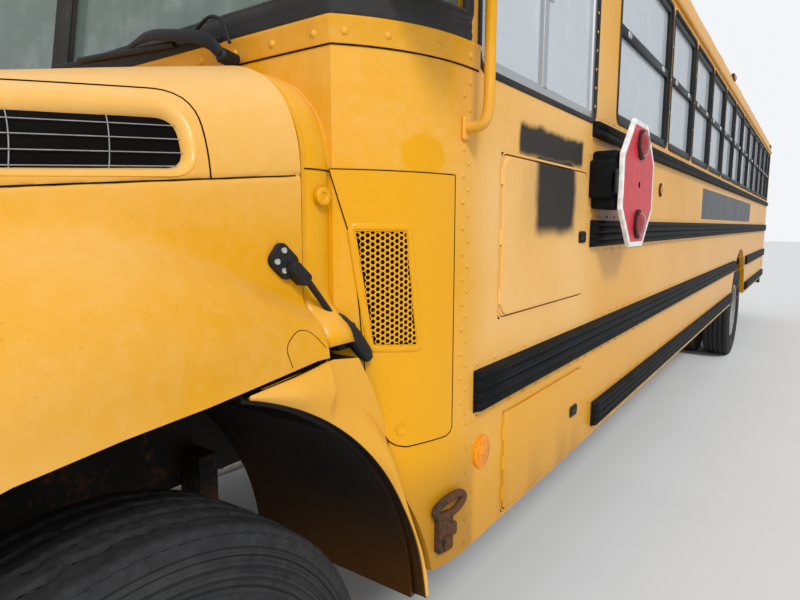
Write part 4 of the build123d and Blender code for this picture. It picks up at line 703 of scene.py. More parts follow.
class SCHOOLBUS_OT_finishes(bpy.types.Operator):
    """Make every material and give each part of the frame its own"""

    bl_idname = "schoolbus.finishes"
    bl_label = "Finishes"

    def execute(self, context):
        c = colours()
        black, rubber = tuple(c.black), tuple(c.rubber)
        FINISHES.update(
            paint=paint_finish("body_paint"),
            marked=paint_finish("body_paint_marked", marks=True),
            hood=paint_finish("hood_paint", hood=True),
            fresh=paint_finish("vent_panel_paint", fresh=True),
            black=worn_finish("black_enamel", black, 0.5, grain=50.0, dust=0.03, shine=0.04),
            chassis=worn_finish("chassis_paint", (0.010, 0.009, 0.008), 0.7, grain=30.0, dust=0.18,
                                worn=c.rust, amount=0.07),
            engine=worn_finish("engine_paint", (0.06, 0.065, 0.07), 0.5, grain=22.0, dust=0.5,
                               worn=(0.05, 0.03, 0.02), amount=0.06),
            core=steel_finish("radiator_core", (0.30, 0.31, 0.32), 0.45, 0.03),
            bumper=worn_finish("bumper_enamel", (0.012, 0.012, 0.013), 0.25, grain=40.0, dust=0.3,
                               worn=c.rust, amount=0.01, coat=0.4),
            floor=worn_finish("floor_rubber", (0.030, 0.030, 0.032), 0.75, grain=120.0, dust=0.5, bump=0.3),
            sash=worn_finish("sash_enamel", (0.010, 0.011, 0.012), 0.4, grain=80.0, dust=0.06),
            rubber=worn_finish("gasket_rubber", rubber, 0.62, grain=90.0, dust=0.25),
            plastic=worn_finish("black_plastic", (0.010, 0.010, 0.011), 0.5, grain=160.0, dust=0.08,
                                bump=0.2),
            cast=worn_finish("cast_iron", (0.045, 0.042, 0.04), 0.7, grain=60.0, dust=0.3, worn=c.rust,
                             amount=0.1, bump=0.4),
            rust=worn_finish("rusty_hook", (0.045, 0.027, 0.017), 0.85, grain=70.0, dust=0.05,
                             worn=(0.10, 0.042, 0.018), amount=0.12, bump=0.6),
            rim=worn_finish("rim_paint", c.rim, 0.42, grain=30.0, dust=0.35, worn=c.rust, amount=0.03),
            drum=worn_finish("drum_iron", (0.05, 0.04, 0.035), 0.8, grain=40.0, dust=0.4, worn=c.rust,
                             amount=0.12),
            alloy=steel_finish("window_alloy", (0.60, 0.61, 0.62), 0.34),
            chrome=steel_finish("bright_steel", (0.70, 0.70, 0.70), 0.14),
            pipe=steel_finish("exhaust_steel", (0.34, 0.31, 0.28), 0.45, 0.22),
            mirror=steel_finish("mirror_glass", (0.86, 0.88, 0.90), 0.02),
            tyre=tyre_finish("tyre_rubber"),
            # The side windows' pale blue-grey: tint and painted sky reflection.
            glass=glass_finish("window_tint_and_reflection"),
            # The windshield's green: tint and a painted reflection over the interior.
            clear=glass_finish("windshield_clear", (0.16, 0.23, 0.21), 0.55),
            sign=worn_finish("sign_red", tuple(c.sign), 0.3, grain=30.0, dust=0.1, bump=0.03),
            white=worn_finish("sign_white", tuple(c.white), 0.35, grain=30.0, dust=0.15, bump=0.03),
            lamp=lens_finish("lens_red", c.lamp),
            amber=lens_finish("lens_amber", c.amber),
            clear_lens=lens_finish("lens_clear", (0.62, 0.64, 0.66)),
            reflector=worn_finish("reflector_amber", (0.80, 0.25, 0.003), 0.3, grain=90.0, dust=0.03),
            vinyl=vinyl_finish("seat_vinyl", c.seat),
            cloth=vinyl_finish("driver_seat_cloth", (0.05, 0.05, 0.055)),
            # Near black: painted shade on the vent pockets' floors, behind the cowl vents' holes, under the
            # hood and in the wheels' hand holes; also the seam lines.
            dark=worn_finish("painted_shade_and_seams", (0.004, 0.003, 0.003), 0.9, grain=20.0, dust=0.03, shine=0.05),
            # The fender lips' faces inside the arch carry painted shade.
            lip=lip_finish("fender_lip", 0.716),
            flare=lip_finish("fender_flare", 0.6975),
            headliner=worn_finish("headliner", (0.55, 0.56, 0.53), 0.5, grain=60.0, dust=0.05),
            tube=worn_finish("seat_tube", (0.30, 0.30, 0.30), 0.5, grain=40.0, dust=0.2),
        )
        by_node = {
            "paint": "roof rear_wall windshield_frame cowl grab_handle entry_leaf_front "
            "entry_leaf_rear rear_door battery_door",
            "marked": "left_wall right_wall access_door",
            "hood": "hood",
            "chassis": "chassis_frame front_axle rear_axle fuel_tank equipment_boxes wheelhouses stepwell",
            "engine": "engine_block driveshaft",
            "core": "radiator",
            "bumper": "front_bumper rear_bumper",
            "floor": "body_floor",
            "sash": "window_sashes",
            "plastic": "roof_hatch_front roof_hatch_rear grille mirrors crossview_mirrors dashboard",
            "cast": "knuckle_left knuckle_right",
            "rim": "front_rim_left front_rim_right rear_rims_left rear_rims_right",
            "tyre": "front_tyre_left front_tyre_right rear_tyres_left rear_tyres_right",
            "black": "rub_rails stop_arm_housing",
            "lip": "fender_extensions",
            "sign": "stop_sign",
            "lamp": "body_lamps",
            "clear_lens": "headlamps",
            "vinyl": "seat_cushions seat_backs",
            "cloth": "driver_seat",
            "tube": "seat_frames",
            "glass": "window_glass rear_door_glass entry_glass_front entry_glass_rear",
            "clear": "windshield_glass",
            "pipe": "exhaust_pipe",
        }
        given = set()
        for key, names in by_node.items():
            for name in names.split():
                slots = NODES[name].data.materials
                slots.clear()
                slots.append(FINISHES[key])
                given.add(name)
        if set(NODES) - given:
            raise RuntimeError(f"no finish for {sorted(set(NODES) - given)}")
        return {"FINISHED"}


# ---- hood

# X, then Y and Z of the fender's edge, the crease, the side's top and the shoulder's end, and the crown's Z
HOOD_ROWS = np.array(
    [
        (4.494, 1.150, 1.205, 1.082, 1.290, 1.082, 1.560, 0.896, 1.767, 1.820),
        (4.800, 1.172, 1.215, 1.078, 1.425, 1.068, 1.500, 0.880, 1.700, 1.752),
        (5.200, 1.180, 1.180, 1.050, 1.395, 1.030, 1.430, 0.835, 1.605, 1.662),
        (5.560, 1.130, 1.075, 0.985, 1.275, 0.965, 1.310, 0.750, 1.480, 1.550),
        (5.745, 1.010, 0.985, 0.890, 1.140, 0.880, 1.160, 0.670, 1.330, 1.400),
    ]
)
ARCH_EDGE = np.array(
    [
        (4.494, 1.205), (4.781, 1.183), (4.919, 1.176), (5.046, 1.164), (5.200, 1.128), (5.340, 1.040),
        (5.430, 0.955), (5.485, 0.880), (5.503, 0.850), (5.745, 0.850),
    ]
)
HOOD_X = (4.494, 5.745)
VENT_MID = np.array([4.950, 1.571])
VENT_HALF = np.array([0.228, 0.046])
VENT_R = 0.034
VENT_SLOPE = -0.06
VENT_POCKET = 0.008
VENT_DEEP = 0.045
GRILLE_HALF = np.array([0.50, 0.22])
GRILLE_Z = 1.12


def through(x, xs, ys):
    """A smooth curve through the rows: cubic pieces whose slopes are those of the rows' neighbours."""
    slope = np.gradient(ys, xs, axis=0)
    k = np.clip(np.searchsorted(xs, x) - 1, 0, len(xs) - 2)
    h = (xs[k + 1] - xs[k])[:, None]
    t = (x - xs[k])[:, None] / h
    a, b = ys[k], ys[k + 1]
    return (
        (2 * t**3 - 3 * t**2 + 1) * a + (t**3 - 2 * t**2 + t) * h * slope[k]
        + (3 * t**2 - 2 * t**3) * b + (t**3 - t**2) * h * slope[k + 1]
    )


def smooth_step(value, low, high):
    """0 below low and 1 above high, with a cubic between."""
    t = np.clip((value - low) / (high - low), 0.0, 1.0)
    return t * t * (3 - 2 * t)


def hood_half(x, fine=0.0045, coarse=0.014):
    """Half of the hood's section at each X, from the arch edge over fender, side and shoulder to the crown.

    Lines and quadratic curves join the row's points; the line is then sampled by its length, closely
    where the vent and the seam are, and averaged with its neighbours, which rounds the crease."""
    c = through(x, HOOD_ROWS[:, 0], HOOD_ROWS[:, 1:])
    fender, crease, side, top = c[:, 0:2], c[:, 2:4], c[:, 4:6], c[:, 6:8]
    crown = np.stack([np.zeros_like(x), c[:, 8]], -1)
    low = np.stack([fender[:, 0], np.minimum(np.interp(x, *ARCH_EDGE.T), fender[:, 1] - 0.004)], -1)
    t = np.linspace(0.0, 1.0, 60)[None, :, None]

    def curve(a, b, share):
        chord = b - a
        control = (a + b) / 2 + 2 * share * np.stack([chord[:, 1], -chord[:, 0]], -1)
        return (1 - t) ** 2 * a[:, None] + 2 * t * (1 - t) * control[:, None] + t**2 * b[:, None]

    level = np.stack([top[:, 0] * 0.45, crown[:, 1]], -1)
    over = (1 - t) ** 2 * top[:, None] + 2 * t * (1 - t) * level[:, None] + t**2 * crown[:, None]
    line = np.concatenate(
        [curve(low, fender, 0.0)[:, :-1], curve(fender, crease, 0.16)[:, :-1],
         curve(crease, side, 0.0)[:, :-1],
         curve(side, top, 0.2)[:, :-1], over], 1
    )
    length = np.concatenate([np.zeros((len(x), 1)),
                             np.cumsum(np.linalg.norm(np.diff(line, axis=1), axis=2), 1)], 1)
    middle = len(x) // 3
    marks = [np.interp(z, line[middle, :, 1], length[middle]) / length[middle, -1] for z in (1.475, 1.69)]
    whole = length[middle, -1]
    counts = [max(6, int(part * whole / step)) for part, step in
              ((marks[0], coarse), (marks[1] - marks[0], fine), (1 - marks[1], coarse * 1.6))]
    share = np.concatenate(
        [np.linspace(0, marks[0], counts[0], endpoint=False),
         np.linspace(marks[0], marks[1], counts[1], endpoint=False),
         np.linspace(marks[1], 1.0, counts[2])]
    )
    at = share[None, :] * length[:, -1:]
    kernel = np.linspace(-0.035, 0.035, 9)
    weight = np.hanning(11)[1:-1]
    out = np.zeros((len(x), len(share), 2))
    for shift, w in zip(kernel, weight / weight.sum()):
        reach = np.minimum(np.minimum(at, length[:, -1:] - at) / 0.035, 1.0)
        place = at + shift * reach
        for axis in (0, 1):
            rows = zip(place, length, line[:, :, axis])
            out[:, :, axis] += w * np.array([np.interp(*row) for row in rows])
    return out


def seam_z(x):
    """Height of the long seam between the hood's side and its fender: a straight line in X."""
    return 1.541 - 0.092 * (x - 4.498)


def hood_depth(x, z):
    """How far the hood's side is pressed in: a narrow groove along the long seam
    and a pocket behind the vent.

    The pocket's wall lies where the distance to a sloping rectangle with round corners is nought."""
    groove = sizes().seam * np.exp(-(((z - seam_z(x)) / 0.0035) ** 2))
    reach = VENT_HALF + VENT_POCKET - VENT_R
    across = np.abs(x - VENT_MID[0]) - reach[0]
    up = np.abs(z - VENT_MID[1] - VENT_SLOPE * (x - VENT_MID[0])) - reach[1]
    edge = np.hypot(np.maximum(across, 0), np.maximum(up, 0)) + np.minimum(np.maximum(across, up), 0) - VENT_R
    return groove + VENT_DEEP * smooth_step(-edge, -0.002, 0.005)


def hood_surface(columns, insets, fine, coarse, details=True):
    """The hood from one arch edge over the crown to the other at each column; an
    inset moves it in along its normal."""
    x = np.asarray(columns)
    half = hood_half(np.clip(x, *HOOD_X), fine, coarse)
    along = np.gradient(half, axis=1)
    normal = np.stack([along[:, :, 1], -along[:, :, 0]], -1)
    normal /= np.linalg.norm(normal, axis=2)[:, :, None]
    deep = np.asarray(insets)[:, None] * np.ones(half.shape[:2])
    if details:
        near = (half[:, :, 0] > 0.8) * (half[:, :, 1] > 1.3)
        deep = deep + near * hood_depth(x[:, None], half[:, :, 1])
    half = half - deep[:, :, None] * normal
    lip = half[:, :1] + np.array([-0.022, 0.003])
    half = np.concatenate([lip, half], 1)
    deep = np.concatenate([deep[:, :1], deep], 1)
    full = np.concatenate([half, half[:, -2::-1] * np.array([-1.0, 1.0])], 1)
    deep = np.concatenate([deep, deep[:, -2::-1]], 1)
    points = np.concatenate([np.broadcast_to(x[:, None, None], (*full.shape[:2], 1)), full], 2)
    return points, deep


def hood_side(x, z, stand=0.0):
    """Points on the hood's left side at X and Z, standing a little off it, and the directions outward.

    Y is read from the section at X, between its two rows that hold Z; the normal is (-dY/dX, 1, -dY/dZ)."""
    x, z = np.asarray(x, float), np.asarray(z, float)

    def depth(x, z):
        half = hood_half(np.clip(x, *HOOD_X))
        above = np.clip((half[:, :, 1] < z[:, None]).sum(1), 1, half.shape[1] - 1)
        low, high = (np.take_along_axis(half, k[:, None, None], 1)[:, 0] for k in (above - 1, above))
        return low[:, 0] + (high[:, 0] - low[:, 0]) * (z - low[:, 1]) / (high[:, 1] - low[:, 1])

    step = 0.006
    y = depth(x, z)
    out = np.stack([(y - depth(x + step, z)) / step, np.ones_like(y), (y - depth(x, z + step)) / step], -1)
    out /= np.linalg.norm(out, axis=1)[:, None]
    return np.stack([x, y, z], -1) + stand * out, out


def evenly(path, step):
    """The same line with its points about step apart, found by its length."""
    path = np.asarray(path, float)
    length = np.concatenate([[0.0], np.cumsum(np.linalg.norm(np.diff(path, axis=0), axis=1))])
    at = np.linspace(0.0, length[-1], max(2, int(length[-1] / step) + 1))
    return np.column_stack([np.interp(at, length, axis) for axis in path.T])


class SCHOOLBUS_OT_hood(bpy.types.Operator):
    """Skin the hood: fenders, sides, shoulders and crown as one pressed shell, with vents and a front"""

    bl_idname = "schoolbus.hood"
    bl_label = "Hood"

    def execute(self, context):
        bend = np.linspace(0.0, pi / 2, 7)
        columns = np.concatenate(
            [[4.502, 4.495], np.arange(4.494, 4.66, 0.012), np.arange(4.66, 5.215, 0.0046),
             np.arange(5.22, 5.70, 0.016), 5.705 + 0.040 * np.sin(bend)]
        )
        insets = np.zeros(len(columns))
        insets[0:2] = (0.022, 0.003)
        insets[-7:] = 0.040 * (1 - np.cos(bend))
        points, deep = hood_surface(columns, insets, 0.0046, 0.014)
        deep[-7:] = deep[:2] = 0.0
        # The front runs from the last section, closed along its base, to the opening of the grille
        outline = points[-1, 1:-1]
        base = spread(outline[0, 0], np.linspace(outline[-1, 1], outline[0, 1], 40)[1:-1], outline[0, 2])
        loop = np.vstack([outline, base])
        centre = np.array([0.0, GRILLE_Z])
        ray = loop[:, 1:] - centre
        hole = centre + ray * np.min(GRILLE_HALF / np.maximum(np.abs(ray), 1e-6), axis=1)[:, None]
        rings = []
        for share in np.linspace(0.0, 1.0, 9):
            yz = loop[:, 1:] * (1 - share) + hole * share
            rings.append(spread(loop[0, 0] + 0.006 * sin(pi * share), *yz.T))
        rings += [spread(loop[0, 0] - back, *hole.T) for back in (0.006, 0.035)]
        front = grid_faces(len(rings), len(loop), False, True)[:, ::-1]
        shape = joined([(points, grid_faces(*points.shape[:2])), (np.stack(rings), front)])
        mesh = piece("hood_skin", shape, "hood", "hood", "body_yellow", ("hood",), smooth=40.0).data
        # The floor of each vent's pocket gets the near-black finish: painted shade in place of an opening.
        mesh.materials.append(FINISHES["dark"])
        pressed = deep[:-1, :-1].reshape(-1) > VENT_DEEP * 2 / 3
        index = np.zeros(len(mesh.polygons), np.int32)
        index[: len(pressed)] = pressed
        mesh.polygons.foreach_set("material_index", index)
        cleaned(mesh, turn=False)
        # A near-black sheet under the skin: painted shade for the hood's underside.
        lining, _ = hood_surface(np.linspace(4.50, 5.70, 34), np.full(34, 0.018), 0.02, 0.03, details=False)
        lining = lining[:, 2:-2]
        piece("hood_lining", (lining, grid_faces(*lining.shape[:2])[:, ::-1]), "dark", "hood", "body_yellow")
        return {"FINISHED"}


def hood_latch(turned, on_hood_at, latches, bolts, normals):
    """One hood latch: a plate with three bolts on the fender, a rod, and a lever
    over its keeper on the cowl."""
    (base,), (out,) = hood_side(*on_hood_at)
    along = np.array([-0.76, 0.0, -0.65])
    along -= out * along.dot(out)
    along /= np.linalg.norm(along)
    across = np.cross(out, along)

    def put(ab, height):
        return (base + ab[:, :1] * along + ab[:, 1:2] * across + height * out) * turned

    latches.append(plate(rounded((-0.032, -0.026), (0.032, 0.026), 0.016), 0.010, put, 0.003))
    latches.append(plate(rounded((0.010, -0.013), (0.064, 0.013), 0.010), 0.026, put, 0.004))
    spots = np.array([(-0.016, -0.013), (-0.016, 0.013), (0.008, -0.015)])
    bolts += [*put(spots, 0.010), np.array([4.420, 1.108, 1.222]) * turned]
    normals += [out * turned] * 3 + [np.array([0.6, 0.8, 0.0]) * turned]
    high, low = np.array([4.424, 1.094, 1.268]), np.array([4.362, 1.140, 1.172])
    latches.append(tube(np.linspace(base + 0.05 * along + 0.022 * out, high, 12) * turned, 0.0065, 10))
    lever = evenly(bent([high, (4.404, 1.116, 1.240), low], 0.03), 0.008)
    width = np.interp(np.linspace(0, 1, len(lever)), [0, 0.1, 0.5, 0.9, 1],
                      [0.009, 0.017, 0.019, 0.016, 0.009])
    latches.append(tube(lever * turned, width, 12, squash=0.75))
    latches.append(block((4.366, 1.078, 1.196) * turned, (4.428, 1.112, 1.250) * turned, 0.008))


class SCHOOLBUS_OT_hood_fittings(bpy.types.Operator):
    """Fit the vent frames and wires, the seams, the hood latches, the grille and the headlamps"""

    bl_idname = "schoolbus.hood_fittings"
    bl_label = "Hood fittings"

    def execute(self, context):
        frames, wires, seams, latches, bolts, normals = ([] for _ in range(6))
        corners = VENT_HALF * np.array([(-1, -1), (1, -1), (1, 1), (-1, 1)])
        opening = rounded_polygon(corners, VENT_R, 8, 20)
        funnel = [(-0.016, -0.002), (-0.014, 0.0012), (-0.009, 0.0), (-0.003, -0.006), (0.0, -0.012),
                  (0.003, -0.018), (0.005, -0.036)]
        surround = bent([(4.689, 1.524), (4.688, 1.668), (5.212, 1.620), (5.213, 1.478)], 0.055, 8)
        x = np.linspace(4.505, 5.69, 90)
        flap = bent([(4.598, 1.204), (4.616, 1.243), (4.575, 1.266), (4.535, 1.258), (4.502, 1.222)], 0.02)
        lines = ((evenly(surround, 0.012), 0.0004, 0.0014),
                 (np.column_stack([x, seam_z(x)]), -0.0024, 0.0013),
                 (evenly(flap, 0.006), 0.0002, 0.0007))
        for side in (1, -1):
            turned = np.array([1.0, side, 1.0])

            def on_hood(ab, height, turned=turned):
                return hood_side(ab[:, 0], ab[:, 1], height)[0] * turned

            def on_vent(ab, height, on_hood=on_hood):
                return on_hood(ab + VENT_MID + np.outer(ab[:, 0], (0.0, VENT_SLOPE)), height)

            frames.append(ring_of(opening, funnel, on_vent))
            for b in (0.027, 0.004, -0.019, -0.041):
                wires.append(tube(on_vent(np.linspace((-0.226, b), (0.226, b), 24), -0.014), 0.0008, 5))
            for a in (-0.120, 0.005, 0.130):
                wire = np.linspace((a - 0.006, 0.045), (a + 0.012, -0.045), 8)
                wires.append(tube(on_vent(wire, -0.0155), 0.0008, 5))
            seams += [tube(on_hood(line, height), radius, 5) for line, height, radius in lines]
            hood_latch(turned, ([4.545], [1.383]), latches, bolts, normals)
        fit("hood", ("vent_frames", frames, "hood", "body_yellow"))
        piece("vent_wires", joined(wires), "tube", "hood", "trim_black")
        piece("hood_seams", joined(seams), "dark", "hood", "trim_black")
        fit("hood", ("hood_latches", latches, "plastic", "trim_black"))
        piece("latch_bolts", domes(bolts, normals, 0.007, 0.004), "chrome", "hood", "radiator_metal")

        def on_nose(ab, height):
            return spread(5.745 + height, *ab.T)

        rows = [(0.0, 0.0), (0.0, 0.008), (0.004, 0.013), (0.028, 0.013), (0.034, 0.006), (0.036, -0.020)]
        surround = ring_of(rounded((-0.53, 0.87), (0.53, 1.37), 0.06, 8), rows, on_nose)
        slats = [tube(spread(5.729, np.linspace(-0.485, 0.485, 21), z), 0.009, 8, squash=1.6)
                 for z in np.linspace(0.935, 1.305, 9)]
        slats += [tube(spread(5.722, y, np.linspace(0.905, 1.335, 9)), 0.006, 8)
                  for y in np.linspace(-0.36, 0.36, 5)]
        fit("hood", ("grille_surround", [surround], "black", "grille_grey"))
        piece("grille_bars", joined(slats), "plastic", "hood", "grille_grey", ("grille",))
        lens = [(0.0, 0.066), (0.006, 0.066), (0.012, 0.052), (0.017, 0.028), (0.019, 0.0)]
        ring = [(-0.01, 0.080), (0.006, 0.080), (0.012, 0.076), (0.012, 0.070), (0.004, 0.067),
                (-0.01, 0.067)]
        lenses, bezels, turn_lamps = [], [], []
        for side in (1, -1):
            for y in (0.715, 0.865):
                lenses.append(turn_about(lens, (5.744, side * y, 0.95), (1, 0, 0), 40))
                bezels.append(turn_about(ring, (5.745, side * y, 0.95), (1, 0, 0), 40))
            y = side * 0.79
            bezels.append(plate(rounded((y - 0.175, 0.862), (y + 0.175, 1.038), 0.05), 0.004, on_nose, 0.002))
            turn_lamps.append(plate(rounded((y - 0.12, 1.055), (y + 0.12, 1.105), 0.02), 0.016, on_nose,
                                    0.006))
        fit("hood", ("headlamp_lenses", lenses, "clear_lens", "lamp_glass", "headlamps"),
            ("headlamp_bezels", bezels, "chrome", "radiator_metal"),
            ("turn_lamps", turn_lamps, "amber", "lamp_red"))
        return {"FINISHED"}


# ---- cowl and fender extensions


def rounded_polygon(corners, radii, per_corner=6, per_edge=10):
    """A closed outline through corners, each rounded by a quadratic curve; edges
    are divided evenly between them."""
    corners = np.asarray(corners, float)
    radii = np.broadcast_to(np.asarray(radii, float), (len(corners),))
    before, after = np.roll(corners, 1, 0), np.roll(corners, -1, 0)
    start = corners + (before - corners) / np.linalg.norm(before - corners, axis=1)[:, None] * radii[:, None]
    end = corners + (after - corners) / np.linalg.norm(after - corners, axis=1)[:, None] * radii[:, None]
    t = np.linspace(0.0, 1.0, per_corner + 1)[None, :, None]
    curve = (1 - t) ** 2 * start[:, None] + 2 * t * (1 - t) * corners[:, None] + t**2 * end[:, None]
    u = np.linspace(0.0, 1.0, per_edge + 1)[None, 1:-1, None]
    edge = (1 - u) * end[:, None] + u * np.roll(start, -1, 0)[:, None]
    return np.concatenate([curve, edge], 1).reshape(-1, 2)


def ringed(rows, place):
    """Faces between outlines of equal length: rows of (outline, height), put into the model by place."""
    points = np.stack([place(outline, height) for outline, height in rows])
    return points.reshape(-1, 3), grid_faces(len(rows), points.shape[1], False, True).tolist()


PANEL_EDGE = np.array(
    [(0.235, 0.960), (0.262, 0.985), (0.290, 1.040), (0.308, 1.096), (0.314, 1.165), (0.320, 1.232),
     (0.326, 1.300), (0.332, 1.364), (0.342, 1.425), (0.362, 1.489), (0.383, 1.558)]
)
PERFORATED = np.array([(0.188, 1.187), (0.297, 1.196), (0.336, 1.441), (0.216, 1.440)])


def hex_sheet(corners, pitch, hole, place):
    """A sheet of six-sided cells inside four corners, in columns set half a pitch off each other.

    Each cell is a ring from its border to its hole, and the hole's wall goes back through the sheet."""
    low, high = corners.min(0), corners.max(0)
    s, z = np.meshgrid(np.arange(low[0], high[0], pitch * 0.866), np.arange(low[1], high[1], pitch),
                       indexing="ij")
    centres = np.stack([s, z + pitch / 2 * (np.arange(len(s)) % 2)[:, None]], -1).reshape(-1, 2)
    edge = np.roll(corners, -1, 0) - corners
    off = centres[:, None] - corners
    reach = (edge[:, 0] * off[..., 1] - edge[:, 1] * off[..., 0]) / np.linalg.norm(edge, axis=1)
    centres = centres[reach.min(1) > pitch * 0.40]
    angle = np.arange(6) * pi / 3
    unit = np.stack([np.cos(angle), np.sin(angle)], -1)
    rings = [
        place((centres[:, None] + radius * unit).reshape(-1, 2), height).reshape(len(centres), 6, 3)
        for radius, height in ((pitch / 1.732, 0.0), (hole, 0.0), (hole * 0.97, -0.0015))
    ]
    faces = grid_faces(3, 6, False, True)[None] + (np.arange(len(centres)) * 18)[:, None, None]
    return np.concatenate(rings, 1).reshape(-1, 3), faces.reshape(-1, 4).tolist()


FLARE_OUT = np.array(
    [(4.470, 1.196, 1.093), (4.410, 1.186, 1.076), (4.392, 1.164, 1.093), (4.365, 1.114, 1.118),
     (4.338, 1.048, 1.140),
     (4.314, 0.976, 1.155), (4.290, 0.890, 1.167), (4.260, 0.790, 1.180), (4.228, 0.700, 1.188),
     (4.208, 0.630, 1.190), (4.201, 0.570, 1.190)]
)


def fender_flare(side):
    """The lip behind the wheel arch: rows blended from its outer line to the
    arch's circle, bulged by a half sine.

    The outer line follows the hood's arch edge, then falls down the cowl; the last
    rows turn in round the edge."""
    t = np.linspace(0.0, 1.0, 60)
    x, z, y = (np.interp(t, np.linspace(0.0, 1.0, len(FLARE_OUT)), column) for column in FLARE_OUT.T)
    top_x = np.linspace(4.70, 4.47, 20)
    top = np.column_stack([top_x, np.interp(top_x, (4.47, 4.494, 4.70), (1.10, 1.146, 1.166)),
                           np.interp(top_x, *ARCH_EDGE.T) - 0.009])
    outer = np.vstack([top, np.column_stack([x, y, z])[1:]])
    start, stop = np.arctan2(0.667, -0.205), np.arctan2(0.065, -0.694)
    angle = start + (stop - start) * np.linspace(0.0, 1.0, len(outer)) ** 0.95
    inner = np.column_stack([FRONT_AXLE[0] + FENDER_LIP_R * np.cos(angle),
                             np.interp(angle, (start, 2.2, 2.65, 2.857, stop),
                                       (1.163, 1.168, 1.172, 1.180, 1.186)),
                             FRONT_AXLE[2] + FENDER_LIP_R * np.sin(angle)])
    level = np.column_stack([np.interp(inner[:, 2], FLARE_OUT[::-1, 1], FLARE_OUT[::-1, k]) for k in (0, 2)])
    level = np.column_stack([level, inner[:, 2]])
    low = np.clip((1.08 - inner[:, 2]) / 0.15, 0.0, 1.0)[:, None]
    outer = outer * (1 - low) + level * low
    share = np.linspace(0.0, 1.0, 12)[:, None, None]
    rows = outer * (1 - share) + inner * share
    broad = np.clip(np.linalg.norm(outer - inner, axis=1) / 0.06, 0, 1)
    rows[:, :, 1] += 0.020 * np.sin(pi * share[:, :, 0]) * broad
    turned_in = np.stack([inner + np.outer(np.cos(angle), (out, 0, 0)) - (0, back, 0)
                          for back, out in ((0.004, 0.002), (0.014, 0.001), (0.035, 0.0))])
    rows = np.concatenate([rows, turned_in]) * np.array([1.0, side, 1.0])
    return rows.reshape(-1, 3), grid_faces(*rows.shape[:2]).tolist()


def cowl_line(reach=-0.01):
    """The cowl's plan from one side seam round both corners to the other: points and normals in X and Y."""
    angle = np.linspace(reach, 0.376, 44) / CORNER_R
    bow = np.stack([np.sin(angle), np.cos(angle)], -1)
    left = np.vstack([CORNER_R * bow + (WALL_FRONT_X, CORNER_Y),
                      np.column_stack([np.full(24, COWL_X), np.linspace(1.08, 0.02, 24)])])
    out = np.vstack([bow, np.tile((1.0, 0.0), (24, 1))])
    return np.vstack([left, left[::-1] * (1, -1)]), np.vstack([out, out[::-1] * (1, -1)])


def swept(cross, line, out):
    """A section of (z, height) carried along a plan line: point = line + height * normal, at z."""
    return np.stack([np.column_stack([line + height * out, np.full(len(line), z)]) for z, height in cross])


def scaled(outline, rows, place):
    """An outline drawn in toward its middle: rows of (share of its size, height),
    put into the model by place."""
    middle = outline.mean(0)
    return ringed([(middle + (outline - middle) * part, height) for part, height in rows], place)


def vent_panel(side):
    """The panel on the cowl's corner, its border, its frame, the sheet with holes,
    the back behind it, near black as painted shade, and a dimple.

    The panel is a grid between its straight rear edge and PANEL_EDGE, with both
    drawn in at its lower corners."""
    place = on_cowl(side)
    z = np.linspace(0.962, 1.5605, 70)
    corner = 0.020
    nip = corner - np.sqrt(corner**2 - np.clip(corner - (z - z[0]), 0, corner) ** 2)
    left = np.interp(z, *PANEL_EDGE.T[::-1]) - nip
    right = 0.080 + nip
    s = right[:, None] + (left - right)[:, None] * np.linspace(0.0, 1.0, 26)
    flat = np.stack([s, np.broadcast_to(z[:, None], s.shape)], -1)
    border = np.vstack([flat[:, 0], flat[-1], flat[::-1, -1], flat[0, ::-1]])
    hole = rounded_polygon(PERFORATED, 0.006, 5, 14)
    rim = [(-0.013, 0.001), (-0.012, 0.0030), (-0.009, 0.0045), (-0.002, 0.0050), (0.0, 0.0044),
           (0.001, 0.0030), (0.004, 0.0032)]
    dimple = [(1.0, 0.001), (1.0, 0.0042), (0.8, 0.0042), (0.45, 0.0020), (0.02, 0.0020)]
    middle = PERFORATED.mean(0)
    back = ringed([(middle + (hole - middle) * part, 0.0027) for part in (1.0, 0.75, 0.5, 0.25, 0.02)], place)
    return (
        (place(flat.reshape(-1, 2), 0.0016), grid_faces(*s.shape).tolist()),
        tube(place(evenly(border, 0.008), 0.0014), 0.0013, 5),
        [ring_of(hole, rim, place), scaled(rounded((0.214, 0.992), (0.242, 1.020), 0.014, 5), dimple, place)],
        hex_sheet(PERFORATED, 0.0124, 0.0052, on_cowl(side, 0.0048)),
        back,
    )


def tow_hook(side):
    """A tow hook on the cowl's corner: an eye, its shank, a lug and a raised boss."""
    place = on_cowl(side)
    t = np.linspace(0.0, 2 * pi, 33)[:-1]
    eye = np.column_stack([0.094 + 0.048 * np.cos(t), 0.794 - 0.006 * np.cos(t) + 0.020 * np.sin(t)])
    parts = [tube(place(eye, 0.013), 0.0095, 10, True)]
    for low, high, thick in (((0.087, 0.683), (0.134, 0.778), 0.018), ((0.068, 0.712), (0.092, 0.745), 0.013),
                             ((0.098, 0.692), (0.124, 0.724), 0.026)):
        rows = ((1.0, 0.0), (1.0, thick - 0.003), (0.92, thick), (0.02, thick))
        parts.append(scaled(rounded(low, high, 0.006, 4), rows, place))
    return parts


